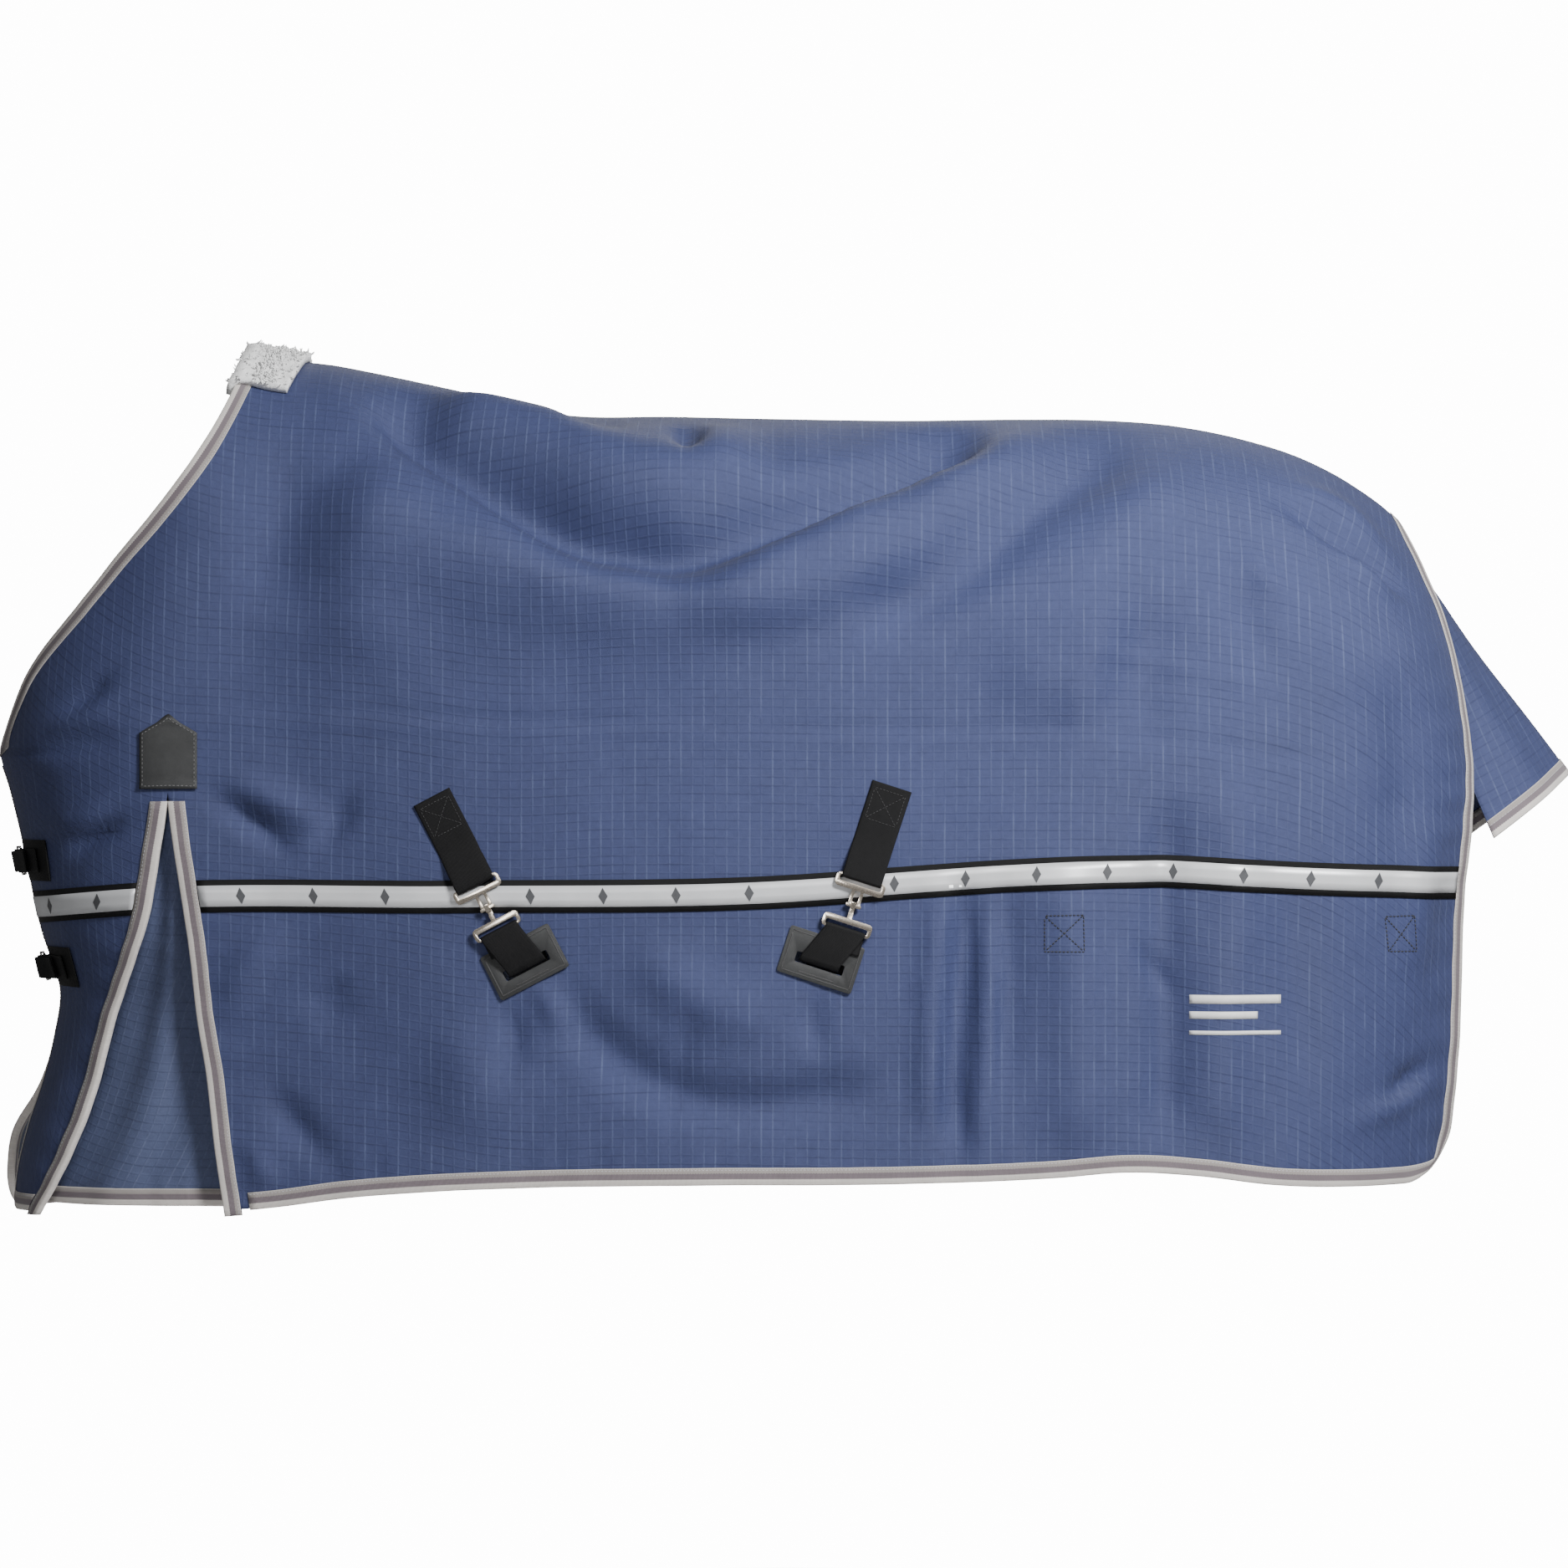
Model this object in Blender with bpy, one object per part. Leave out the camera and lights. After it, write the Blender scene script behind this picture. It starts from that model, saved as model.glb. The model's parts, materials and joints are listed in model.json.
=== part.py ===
"""Turnout rug for a horse: shell, lining, shoulder gussets, tail flap, bands, straps and metal fittings.

Metres. +X runs from the chest to the tail, -Y is the horse's near side and +Z is up.
The origin is on the middle of the horse's back, under the lining.
"""
import math

import bmesh
import bpy
from mathutils import Matrix, Vector
from mathutils.bvhtree import BVHTree

# ---------------------------------------------------------------- driving sizes
RUG_LENGTH = 1.94           # front of the chest to the tip of the tail flap
RUG_HEIGHT = 1.09           # top of the withers to the lowest hem
RUG_WIDTH = 0.55            # across the widest part of the barrel
BINDING_WIDTH = 0.020       # visible width of the edge binding
STRAP_WIDTH = 0.050         # belly strap webbing
BAND_WIDTH = 0.040          # webbing under the reflective tape
TAPE_WIDTH = 0.026
CHEST_STRAP_WIDTH = 0.030
TAIL_FLAP_LENGTH = 0.382

SHELL_THICK = 0.0050        # outer fabric with its filling
LINING_THICK = 0.0012
LAYER_GAP = 0.0004
BINDING_THICK = 0.0010
WEBBING_THICK = 0.0020
TAPE_THICK = 0.0004
PATCH_THICK = 0.0018

KX = RUG_LENGTH / 1.94
KY = RUG_WIDTH / 0.55
KZ = RUG_HEIGHT / 1.09

for stale in list(bpy.data.objects):
    bpy.data.objects.remove(stale, do_unlink=True)

rug = bpy.data.collections.new("turnout_rug")
guides = bpy.data.collections.new("guides")
bpy.context.scene.collection.children.link(rug)
bpy.context.scene.collection.children.link(guides)
guides.hide_render = True


# ---------------------------------------------------------------- smooth pattern lines
def through(*points):
    """A smooth line through (place, value) pairs, straight beyond its ends."""
    ts = [p[0] for p in points]
    vs = [p[1] for p in points]
    if ts[0] > ts[-1]:
        ts.reverse()
        vs.reverse()
    count = len(ts)
    rise = [(vs[k + 1] - vs[k]) / (ts[k + 1] - ts[k]) for k in range(count - 1)]
    slope = [rise[0]]
    for k in range(1, count - 1):
        a = ts[k] - ts[k - 1]
        b = ts[k + 1] - ts[k]
        slope.append((rise[k - 1] * b + rise[k] * a) / (a + b))
    slope.append(rise[-1])

    def value(t):
        if t <= ts[0]:
            return vs[0] + slope[0] * (t - ts[0])
        if t >= ts[-1]:
            return vs[-1] + slope[-1] * (t - ts[-1])
        k = 0
        while t > ts[k + 1]:
            k += 1
        h = ts[k + 1] - ts[k]
        u = (t - ts[k]) / h
        a = (1 + 2 * u) * (1 - u) ** 2 * vs[k] + u * (1 - u) ** 2 * h * slope[k]
        b = u * u * (3 - 2 * u) * vs[k + 1] + u * u * (u - 1) * h * slope[k + 1]
        return a + b

    return value


WITHERS_X = -0.668
DOCK_X = 0.773
SLIT_TOP = (-0.7587, -0.466)      # x, z of the top of the shoulder slit
SLIT_LINE_TOP_X = -0.600          # where the seam above the slit meets the spine
CHEST_TOP_Z = -0.4216             # where the neck edge meets the chest edge
CHEST_ROUND = 0.24
BACK_ROUND = 0.27
RUMP_ROUND = 0.24
RUMP_SPARE = 0.06

# height of the back's middle line, and its run on past the neck and the dock
crest_z = through(
    (-1.00, 0.300), (-0.85, 0.200), (-0.75, 0.140), (WITHERS_X, 0.092), (-0.56, 0.073), (-0.42, 0.044),
    (-0.28, 0.012), (-0.14, 0.0095), (0.00, 0.0066), (0.15, 0.0045), (0.30, 0.006), (0.40, 0.005),
    (0.50, -0.003), (0.58, -0.019), (0.66, -0.045), (0.72, -0.077), (DOCK_X, -0.118), (0.80, -0.150),
    (0.83, -0.200), (0.86, -0.280), (0.90, -0.420))
# front of the chest, by height
chest_x = through(
    (0.10, -0.860), (-0.17, -0.930), (-0.36, -0.985), (-0.42, -0.992), (-0.455, -0.981), (-0.51, -0.967),
    (-0.64, -0.939), (-0.72, -0.915), (-0.77, -0.922), (-0.83, -0.937), (-0.89, -0.957), (-0.94, -0.969),
    (-1.00, -0.975))
# the off side's chest corner stands further forward
chest_flare = through(
    (-0.70, 0.0), (-0.78, 0.0), (-0.844, 0.006), (-0.895, 0.019), (-0.94, 0.015), (-1.0, 0.006))
# neck opening, by height
neck_x = through(
    (CHEST_TOP_Z, -0.9915), (-0.3025, -0.935), (-0.239, -0.881), (-0.178, -0.830), (-0.125, -0.783),
    (-0.066, -0.737), (0.010, -0.694), (0.060, -0.676), (0.092, WITHERS_X))
rear_x = through(
    (-0.118, DOCK_X), (-0.190, 0.804), (-0.245, 0.825), (-0.325, 0.8425), (-0.390, 0.850), (-0.440, 0.854),
    (-0.520, 0.852), (-0.580, 0.845), (-0.690, 0.840), (-0.760, 0.838), (-0.870, 0.828), (-0.950, 0.818))
hem_z = through(
    (-0.99, -0.990), (-0.80, -0.986), (-0.69, -0.982), (-0.634, -0.977), (-0.54, -0.964), (-0.45, -0.956),
    (-0.31, -0.949), (-0.10, -0.945), (0.145, -0.943), (0.33, -0.936), (0.42, -0.929), (0.51, -0.934),
    (0.60, -0.945), (0.70, -0.948), (0.84, -0.944))
slit_front_x = through(
    (SLIT_TOP[1], SLIT_TOP[0]), (-0.543, -0.773), (-0.630, -0.790), (-0.670, -0.8045), (-0.740, -0.832),
    (-0.800, -0.849), (-0.877, -0.874), (-0.945, -0.905), (-0.990, -0.932))
slit_rear_x = through(
    (SLIT_TOP[1], SLIT_TOP[0]), (-0.521, -0.7525), (-0.584, -0.743), (-0.650, -0.733), (-0.753, -0.721),
    (-0.807, -0.712), (-0.910, -0.700), (-0.990, -0.688))
slit_line_x = through((SLIT_TOP[1], SLIT_TOP[0]), (-0.30, -0.722), (-0.10, -0.665), (0.08, SLIT_LINE_TOP_X))
band_z = through(
    (-0.96, -0.612), (-0.80, -0.598), (-0.40, -0.594), (0.00, -0.587), (0.18, -0.574), (0.27, -0.568),
    (0.47, -0.563), (0.63, -0.571), (0.84, -0.578))
body_half = through(
    (-1.00, 0.185), (-0.80, 0.200), (-0.65, 0.206), (-0.40, 0.245), (-0.10, 0.272), (0.20, 0.275),
    (0.50, 0.270), (0.70, 0.255), (0.90, 0.225))


def clamp01(v):
    return min(1.0, max(0.0, v))


def quarter(v):
    v = clamp01(v)
    return math.sqrt(max(0.0, 1.0 - (1.0 - v) ** 2))


def ease(v):
    v = clamp01(v)
    return v * v * (3 - 2 * v)


def half_width(x, z, flare=0.0):
    """Distance of the rug's outside from the horse's middle plane, in pattern units."""
    front = quarter((x - chest_x(z) + flare) / CHEST_ROUND)
    top = quarter((crest_z(x) - z) / BACK_ROUND)
    rump = quarter((rear_x(z) + RUMP_SPARE - x) / RUMP_ROUND)
    lean = 1.0 - 0.06 * ease((-0.45 - z) / 0.5)
    return body_half(x) * lean * front * top * rump


def skin(x, z, side, flare=0.0):
    return Vector((x * KX, side * half_width(x, z, flare) * KY, z * KZ))


# ---------------------------------------------------------------- the sewing grid of one side
UPPER_ROWS = (0.0, 0.034, 0.134, 0.293, 0.5, 0.741, None, 1.0)
CORNER = 0.062
FRONT_CORNER = 0.045
CHEST_EDGE_Y = 0.004
SLIT_BINDING_RISE = 0.065   # the slit's bindings start this far above the band


def row_height(kind, t, x):
    """Height of one row of the grid at x."""
    if kind == "upper":
        top = crest_z(min(max(x, WITHERS_X), DOCK_X))
        return top + (SLIT_TOP[1] - top) * t
    if kind == "band":
        return band_z(x) + t / KZ
    low_band = band_z(x) - BAND_WIDTH / 2 / KZ
    if kind == "lower":
        foot = hem_z(x) + CORNER / KZ
        return low_band + (foot - low_band) * t
    return hem_z(x) + t / KZ


def grid_rows():
    corner_t = (crest_z(WITHERS_X) - CHEST_TOP_Z) / (crest_z(WITHERS_X) - SLIT_TOP[1])
    rows = [("upper", corner_t if t is None else t) for t in UPPER_ROWS]
    rows += [("band", BAND_WIDTH / 2 + SLIT_BINDING_RISE)]
    rows += [("band", BAND_WIDTH / 2), ("band", -BAND_WIDTH / 2)]
    rows += [("lower", 0.36), ("lower", 0.70)]
    rows += [("hem", CORNER), ("hem", 0.041), ("hem", BINDING_WIDTH), ("hem", 0.0)]
    return rows


ROWS = grid_rows()
CORNER_ROW = 6
SLIT_ROW = 7
BAND_ROW = 9
HEM_ROW = len(ROWS) - 1
FRONT_SPREAD = (0.36, 0.66, 0.86)
BACK_COLUMNS = 10


class Side:
    """Points of one side's grid: front[row][column] and back[row][column], as indices of pts."""

    def __init__(self, side):
        self.side = side
        self.pts = []
        self.front = []
        self.back = []
        for j, (kind, t) in enumerate(ROWS):
            self.add_row(j, kind, t)
        self.round_corners()

    def flare(self, z):
        return chest_flare(z) if self.side > 0 and z < -0.78 else 0.0

    def place(self, x, z):
        return skin(x, z, self.side, self.flare(z))

    def put(self, x, z):
        self.pts.append([x, z])
        return len(self.pts) - 1

    def left_end(self, kind, t):
        if kind == "upper":
            z = row_height(kind, t, WITHERS_X - 0.1)
            if z > CHEST_TOP_Z + 1e-6:
                return neck_x(z)
            return self.x_at_width(CHEST_EDGE_Y, lambda x: z)
        return self.x_at_width(CHEST_EDGE_Y, lambda x: row_height(kind, t, x))

    def x_at_width(self, y, height):
        """Where the chest is y from the middle, along a row."""
        lo = -1.02
        hi = -0.76
        for _ in range(40):
            mid = (lo + hi) / 2
            z = height(mid)
            if half_width(mid, z, self.flare(z)) * KY < y:
                lo = mid
            else:
                hi = mid
        return hi

    def add_row(self, j, kind, t):
        def height(x):
            return row_height(kind, t, x)

        def point(x):
            return self.place(x, height(x))

        x_left = self.left_end(kind, t)
        x_right = DOCK_X
        for _ in range(30):
            x_right = rear_x(height(x_right))
        if j <= SLIT_ROW:
            x_mid = SLIT_LINE_TOP_X
            for _ in range(40):
                x_mid = slit_line_x(height(x_mid))
            cut = (x_mid, x_mid)
        else:
            a = -0.8
            b = -0.8
            for _ in range(30):
                a = slit_front_x(height(a))
                b = slit_rear_x(height(b))
            cut = (a, b)

        def march(x0, x1, steps=160, bunch=2.0):
            xs = [x0 + (x1 - x0) * (k / steps) ** bunch for k in range(steps + 1)]
            run = [0.0]
            for k in range(steps):
                run.append(run[-1] + (point(xs[k + 1]) - point(xs[k])).length)
            return xs, run

        def at(xs, run, s):
            k = 0
            while k < len(run) - 2 and run[k + 1] < s:
                k += 1
            u = (s - run[k]) / max(1e-9, run[k + 1] - run[k])
            return xs[k] + (xs[k + 1] - xs[k]) * min(1.0, max(0.0, u))

        lean = self.edge_lean(kind, t, x_left, height)
        xs, run = march(x_left, cut[0])
        total = run[-1]
        first = min(BINDING_WIDTH / lean, total * 0.30)
        last = total - min(BINDING_WIDTH, total * 0.28)
        stops = [0.0, first] + [first + (last - first) * f for f in FRONT_SPREAD] + [last, total]
        row = []
        for s in stops:
            x = at(xs, run, s)
            row.append(self.put(x, height(x)))
        self.front.append(row)

        xs, run = march(x_right, cut[1], 320, 1.4)
        total = run[-1]
        rear = [0.0, BINDING_WIDTH, 0.041, CORNER]
        if j == 0:
            rear = [0.0, 0.020, 0.041, CORNER]
        near_slit = total - BINDING_WIDTH
        stops = [total, near_slit]
        inside = CORNER - near_slit
        stops += [near_slit + inside * (k + 1) / (BACK_COLUMNS + 1) for k in range(BACK_COLUMNS)]
        stops += rear[::-1]
        row = []
        for k, s in enumerate(stops):
            x = at(xs, run, s)
            if k == 0 and j <= SLIT_ROW:
                row.append(self.front[-1][-1])
            else:
                row.append(self.put(x, height(x)))
        self.back.append(row)

    def edge_lean(self, kind, t, x_left, height):
        """Sine of the angle between a row and the front edge, so that the binding keeps its width."""
        if kind != "upper":
            return 1.0
        z = height(x_left)
        if z < CHEST_TOP_Z + 1e-6:
            return 1.0
        if t == 0.0:
            return 0.92
        d = 0.004
        along = self.place(neck_x(z + d), z + d) - self.place(neck_x(z - d), z - d)
        across = self.place(x_left + d, z) - self.place(x_left, z)
        return max(0.35, along.normalized().cross(across.normalized()).length)

    def round_corners(self):
        for j in range(HEM_ROW - 3, HEM_ROW + 1):
            for grid, cols in ((self.back, range(len(self.back[0]) - 4, len(self.back[0]))),):
                for i in cols:
                    x, z = self.pts[grid[j][i]]
                    zh = hem_z(x)
                    xr = rear_x(z)
                    sx = CORNER * 0.86 / KX
                    sz = CORNER / KZ
                    a = 1 - (xr - x) / sx
                    b = 1 - (z - zh) / sz
                    if a > 0 and b > 0:
                        a2 = a * math.sqrt(1 - b * b / 2)
                        b2 = b * math.sqrt(1 - a * a / 2)
                        self.pts[grid[j][i]] = [xr - sx * (1 - a2), zh + sz * (1 - b2)]
            for i in range(0, 5):
                x, z = self.pts[self.front[j][i]]
                y = half_width(x, z, self.flare(z)) * KY
                zh = hem_z(x)
                a = 1 - (y - CHEST_EDGE_Y) / FRONT_CORNER
                b = 1 - (z - zh) * KZ / FRONT_CORNER
                if a > 0 and b > 0:
                    a2 = a * math.sqrt(1 - b * b / 2)
                    b2 = b * math.sqrt(1 - a * a / 2)
                    y2 = CHEST_EDGE_Y + FRONT_CORNER * (1 - a2)
                    z2 = zh + FRONT_CORNER / KZ * (1 - b2)
                    self.pts[self.front[j][i]] = [self.x_at_width(y2, lambda _: z2), z2]


# ---------------------------------------------------------------- one net of both sides
net_pts = []
net_faces = []
lookup = {}


def build_net():
    spine = {}
    for side in (-1, 1):
        one = Side(side)
        index = {}
        for k, (x, z) in enumerate(one.pts):
            p = one.place(x, z)
            key = round(x, 5)
            on_spine = k in one.front[0] or k in one.back[0]
            if on_spine:
                p.y = 0.0
                if key in spine:
                    index[k] = spine[key]
                    continue
                spine[key] = len(net_pts)
            index[k] = len(net_pts)
            net_pts.append(p)
        front = [[index[k] for k in row] for row in one.front]
        back = [[index[k] for k in row] for row in one.back]
        lookup[side] = (front, back)
        for grid in (front, back):
            for j in range(HEM_ROW):
                for i in range(len(grid[0]) - 1):
                    quad = [grid[j][i], grid[j + 1][i], grid[j + 1][i + 1], grid[j][i + 1]]
                    if side > 0:
                        quad.reverse()
                    net_faces.append(quad)


build_net()


def net_normals():
    total = [Vector((0, 0, 0)) for _ in net_pts]
    for quad in net_faces:
        a, b, c, d = [net_pts[k] for k in quad]
        area = (c - a).cross(d - b)
        for k in quad:
            total[k] += area
    return [v.normalized() for v in total]


net_n = net_normals()


# ---------------------------------------------------------------- making nodes
def paint(ob, name, color, rough, metal=0.0):
    mat = bpy.data.materials.new(name)
    mat.use_nodes = True
    shader = mat.node_tree.nodes["Principled BSDF"]
    shader.inputs["Base Color"].default_value = (*color, 1.0)
    shader.inputs["Roughness"].default_value = rough
    shader.inputs["Metallic"].default_value = metal
    mat.diffuse_color = (*color, 1.0)
    ob.data.materials.append(mat)


FABRIC = ((0.085, 0.115, 0.215), 0.75, 0.0)
INSIDE = ((0.10, 0.12, 0.20), 0.8, 0.0)
TRIM = ((0.42, 0.38, 0.38), 0.85, 0.0)
BLACK = ((0.012, 0.012, 0.013), 0.8, 0.0)
SILVER = ((0.52, 0.53, 0.54), 0.45, 0.0)
METAL = ((0.72, 0.62, 0.50), 0.28, 1.0)
FLEECE = ((0.85, 0.85, 0.84), 0.95, 0.0)
HIDE = ((0.035, 0.036, 0.037), 0.45, 0.0)


def node(name, verts, faces, look, collection=None):
    mesh = bpy.data.meshes.new(name)
    bm = bmesh.new()
    made = [bm.verts.new(v) for v in verts]
    for face in faces:
        bm.faces.new([made[k] for k in face])
    bmesh.ops.remove_doubles(bm, verts=bm.verts, dist=1e-6)
    bmesh.ops.recalc_face_normals(bm, faces=bm.faces)
    bm.to_mesh(mesh)
    bm.free()
    ob = bpy.data.objects.new(name, mesh)
    (collection or rug).objects.link(ob)
    paint(ob, name, *look)
    return ob


def split_quad(a, b, c, d, pts, out):
    """Two triangles of a quad, folded outwards so that every layer folds the same way."""
    ridge = (pts[a] + pts[c] - pts[b] - pts[d]).dot(out)
    if ridge > 0:
        return [(0, 1, 2), (0, 2, 3)]
    return [(1, 2, 3), (1, 3, 0)]


def thick_sheet(name, pts, normals, faces, high, low, look):
    """A closed sheet between two distances from a net of points."""
    used = sorted({k for f in faces for k in f})
    local = {k: i for i, k in enumerate(used)}
    count = len(used)
    verts = [pts[k] + normals[k] * high for k in used]
    verts += [pts[k] + normals[k] * low for k in used]
    solid = []
    edges = {}
    for f in faces:
        g = [local[k] for k in f]
        out = normals[f[0]] + normals[f[1]] + normals[f[2]] + normals[f[3]]
        for tri in split_quad(*f, pts, out):
            solid.append([g[k] for k in tri])
            solid.append([g[k] + count for k in reversed(tri)])
        middle = (pts[f[0]] + pts[f[1]] + pts[f[2]] + pts[f[3]]) / 4
        for a, b in zip(g, g[1:] + g[:1]):
            edges[(a, b)] = middle
    for a, b in sorted(edges):
        if (b, a) not in edges:
            quad = [b, a, a + count, b + count]
            four = [verts[k] for k in quad]
            out = (four[0] + four[1]) / 2 - edges[(a, b)]
            for tri in split_quad(0, 1, 2, 3, four, out):
                solid.append([quad[k] for k in tri])
    return node(name, verts, solid, look)


def strip_between(name, rows, high, low, look):
    """A closed strip over rows of (point, normal) stations; every row has as many stations."""
    pts = [p for row in rows for p, n in row]
    normals = [n for row in rows for p, n in row]
    wide = len(rows[0])
    faces = []
    for j in range(len(rows) - 1):
        for i in range(wide - 1):
            a = j * wide + i
            faces.append([a, a + 1, a + wide + 1, a + wide])
    return thick_sheet(name, pts, normals, faces, high, low, look)


def station(k):
    return (net_pts[k].copy(), net_n[k].copy())


def between(a, b, t):
    return (a[0].lerp(b[0], t), a[1].lerp(b[1], t).normalized())


def trimmed(a, b, gap):
    """Station a moved towards b by a length."""
    return between(a, b, gap / (b[0] - a[0]).length)


def wrap(name, stations, high, low, gap, thick, back_thick, look):
    """A folded cover round an edge. A station runs from the edge to the cover's inner end."""
    verts = []
    faces = []
    wide = len(stations[0])
    for line in stations:
        e, ne = line[0]
        out = e - line[1][0]
        out = (out - ne * out.dot(ne)).normalized()
        outer = [p + n * (high + gap + thick) for p, n in line]
        inner = [p + n * (low - gap - back_thick) for p, n in line]
        inner_face = [p + n * (low - gap) for p, n in line]
        outer_face = [p + n * (high + gap) for p, n in line]
        outer[0] += out * (gap + thick)
        inner[0] += out * (gap + thick)
        inner_face[0] += out * gap
        outer_face[0] += out * gap
        verts += outer[::-1] + inner + inner_face[::-1] + outer_face
    ring = 4 * wide
    for k in range(len(stations) - 1):
        a = ring * k
        b = a + ring
        for c in range(ring):
            d = (c + 1) % ring
            if c % wide == wide - 1:
                quad = [a + c, a + d, b + d, b + c]
                four = [verts[v] for v in quad]
                out = stations[k][0][0] - stations[k][1][0] + stations[k + 1][0][0] - stations[k + 1][1][0]
                for tri in split_quad(0, 1, 2, 3, four, out):
                    faces.append([quad[q] for q in tri])
                continue
            turn = (c // wide) % 2 == 0
            i = c % wide
            i = wide - 1 - i if turn else i
            step = -1 if turn else 1
            four = [stations[k][i], stations[k][i + step], stations[k + 1][i + step], stations[k + 1][i]]
            pts = [p for p, n in four]
            out = sum((n for p, n in four), Vector((0, 0, 0)))
            quad = [a + c, a + d, b + d, b + c]
            for tri in split_quad(0, 1, 2, 3, pts, out):
                faces.append([quad[q] for q in tri])
    end = ring * (len(stations) - 1)
    first = 0
    for q in range(wide - 1):
        top = wide - 1 - q
        faces_of = ((top - 1, top, 3 * wide + q, 3 * wide + q + 1),
                    (wide + q, wide + q + 1, 3 * wide - 2 - q, 3 * wide - 1 - q))
        for quad in faces_of:
            faces.append([first + v for v in quad])
            faces.append([end + v for v in reversed(quad)])
    web = (wide - 1, wide, 3 * wide - 1, 3 * wide)
    faces.append([first + v for v in web])
    faces.append([end + v for v in reversed(web)])
    return node(name, verts, faces, look)


def binding(name, stations, high, low, look=TRIM):
    """A folded tape round an edge. Stations are (edge station, inner station)."""
    return wrap(name, stations, high, low, LAYER_GAP, BINDING_THICK, BINDING_THICK, look)


INNER = -(SHELL_THICK + LAYER_GAP + LINING_THICK)
shell = thick_sheet("outer_shell", net_pts, net_n, net_faces, 0.0, -SHELL_THICK, FABRIC)
lining = thick_sheet(
    "lining", net_pts, net_n, net_faces, -SHELL_THICK - LAYER_GAP, INNER, INSIDE)

END_GAP = 0.0005
SIDES = ((-1, "near"), (1, "off"))


# ---------------------------------------------------------------- edge bindings
def edge_pair(grid, j, edge_col, inner_col):
    return (station(grid[j][edge_col]), station(grid[j][inner_col]))


def mix_pair(a, b, t):
    return (between(a[0], b[0], t), between(a[1], b[1], t))


neck = []
for side, order in ((-1, range(CORNER_ROW, -1, -1)), (1, range(1, CORNER_ROW + 1))):
    front = lookup[side][0]
    neck += [edge_pair(front, j, 0, 1) for j in order]
binding("neck_binding", neck, 0.0, INNER)

for side, word in SIDES:
    front, back = lookup[side]
    last = len(front[0]) - 1
    # chest edge, round the lower corner and along the tongue's hem to the slit
    first = edge_pair(front, CORNER_ROW, 0, 1)
    chest = [mix_pair(first, edge_pair(front, SLIT_ROW, 0, 1), 0.06)]
    chest += [edge_pair(front, j, 0, 1) for j in range(SLIT_ROW, HEM_ROW)]
    chest += [(station(front[HEM_ROW][0]), station(front[HEM_ROW - 1][1]))]
    chest += [(station(front[HEM_ROW][i]), station(front[HEM_ROW - 1][i])) for i in range(1, last - 1)]
    a = (station(front[HEM_ROW][last - 1]), station(front[HEM_ROW - 1][last - 1]))
    chest += [mix_pair(a, chest[-1], 0.08)]
    binding(word + "_chest_binding", chest, 0.0, INNER)

    # the two edges of the shoulder slit
    for grid, edge, inner, part in ((front, last, last - 1, "front"), (back, 0, 1, "rear")):
        slit = [edge_pair(grid, j, edge, inner) for j in range(SLIT_ROW + 1, HEM_ROW + 1)]
        tail = []
        for one, before in zip(slit[-1], slit[-2]):
            way = (one[0] - before[0]).normalized()
            tail.append((one[0] + way * 0.008, one[1]))
        slit[-1] = (tail[0], tail[1])
        binding(word + "_slit_" + part + "_binding", slit, 0.0, INNER)

    # hem, round the rear corner and up the rear edge to the dock
    wide = len(back[0]) - 1
    first = (station(back[HEM_ROW][1]), station(back[HEM_ROW - 1][1]))
    second = (station(back[HEM_ROW][2]), station(back[HEM_ROW - 1][2]))
    hem = [mix_pair(first, second, 0.012)]
    hem += [(station(back[HEM_ROW][i]), station(back[HEM_ROW - 1][i])) for i in range(2, wide)]
    hem += [(station(back[HEM_ROW][wide]), station(back[HEM_ROW - 1][wide - 1]))]
    hem += [edge_pair(back, j, wide, wide - 1) for j in range(HEM_ROW - 1, 0, -1)]
    hem += [mix_pair(hem[-1], edge_pair(back, 0, wide, wide - 1), 0.93)]
    binding(word + "_hem_binding", hem, 0.0, INNER)

    # reflective band: webbing with tape on it, in front of the slit and behind it
    for grid, lo, hi, part in ((front, 1, last - 1, "front"), (back, 1, wide - 1, "rear")):
        top = [station(grid[BAND_ROW][i]) for i in range(lo, hi + 1)]
        low = [station(grid[BAND_ROW + 1][i]) for i in range(lo, hi + 1)]
        for line in (top, low):
            line[0] = trimmed(line[0], line[1], END_GAP)
            line[-1] = trimmed(line[-1], line[-2], END_GAP)
        web_low = LAYER_GAP
        web_high = web_low + 0.0012
        strip_between(word + "_" + part + "_band", [top, low], web_high, web_low, BLACK)
        edge = (BAND_WIDTH - TAPE_WIDTH) / 2 / BAND_WIDTH
        rows = [[between(a, b, edge) for a, b in zip(top, low)],
                [between(a, b, 1 - edge) for a, b in zip(top, low)]]
        strip_between(
            word + "_" + part + "_reflective_tape", rows, web_high + LAYER_GAP + TAPE_THICK,
            web_high + LAYER_GAP, SILVER)


# ---------------------------------------------------------------- places on the sewn shell
def shell_tree():
    tris = []
    for f in net_faces:
        out = net_n[f[0]] + net_n[f[1]] + net_n[f[2]] + net_n[f[3]]
        for tri in split_quad(*f, net_pts, out):
            tris.append([f[k] for k in tri])
    return BVHTree.FromPolygons(net_pts, tris)


tree = shell_tree()


def on_side(x, z, side):
    """The shell's outside at (x, z) in pattern units."""
    hit = tree.ray_cast(Vector((x * KX, side * 2.0, z * KZ)), Vector((0, -side, 0)))
    return hit[0], hit[1] * (1 if hit[1].y * side > 0 else -1)


def on_chest(y, z):
    """The shell's outside seen from in front, at y metres and pattern height z."""
    hit = tree.ray_cast(Vector((-2.0, y, z * KZ)), Vector((1, 0, 0)))
    return hit[0], hit[1] * (1 if hit[1].x < 0 else -1)


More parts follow.
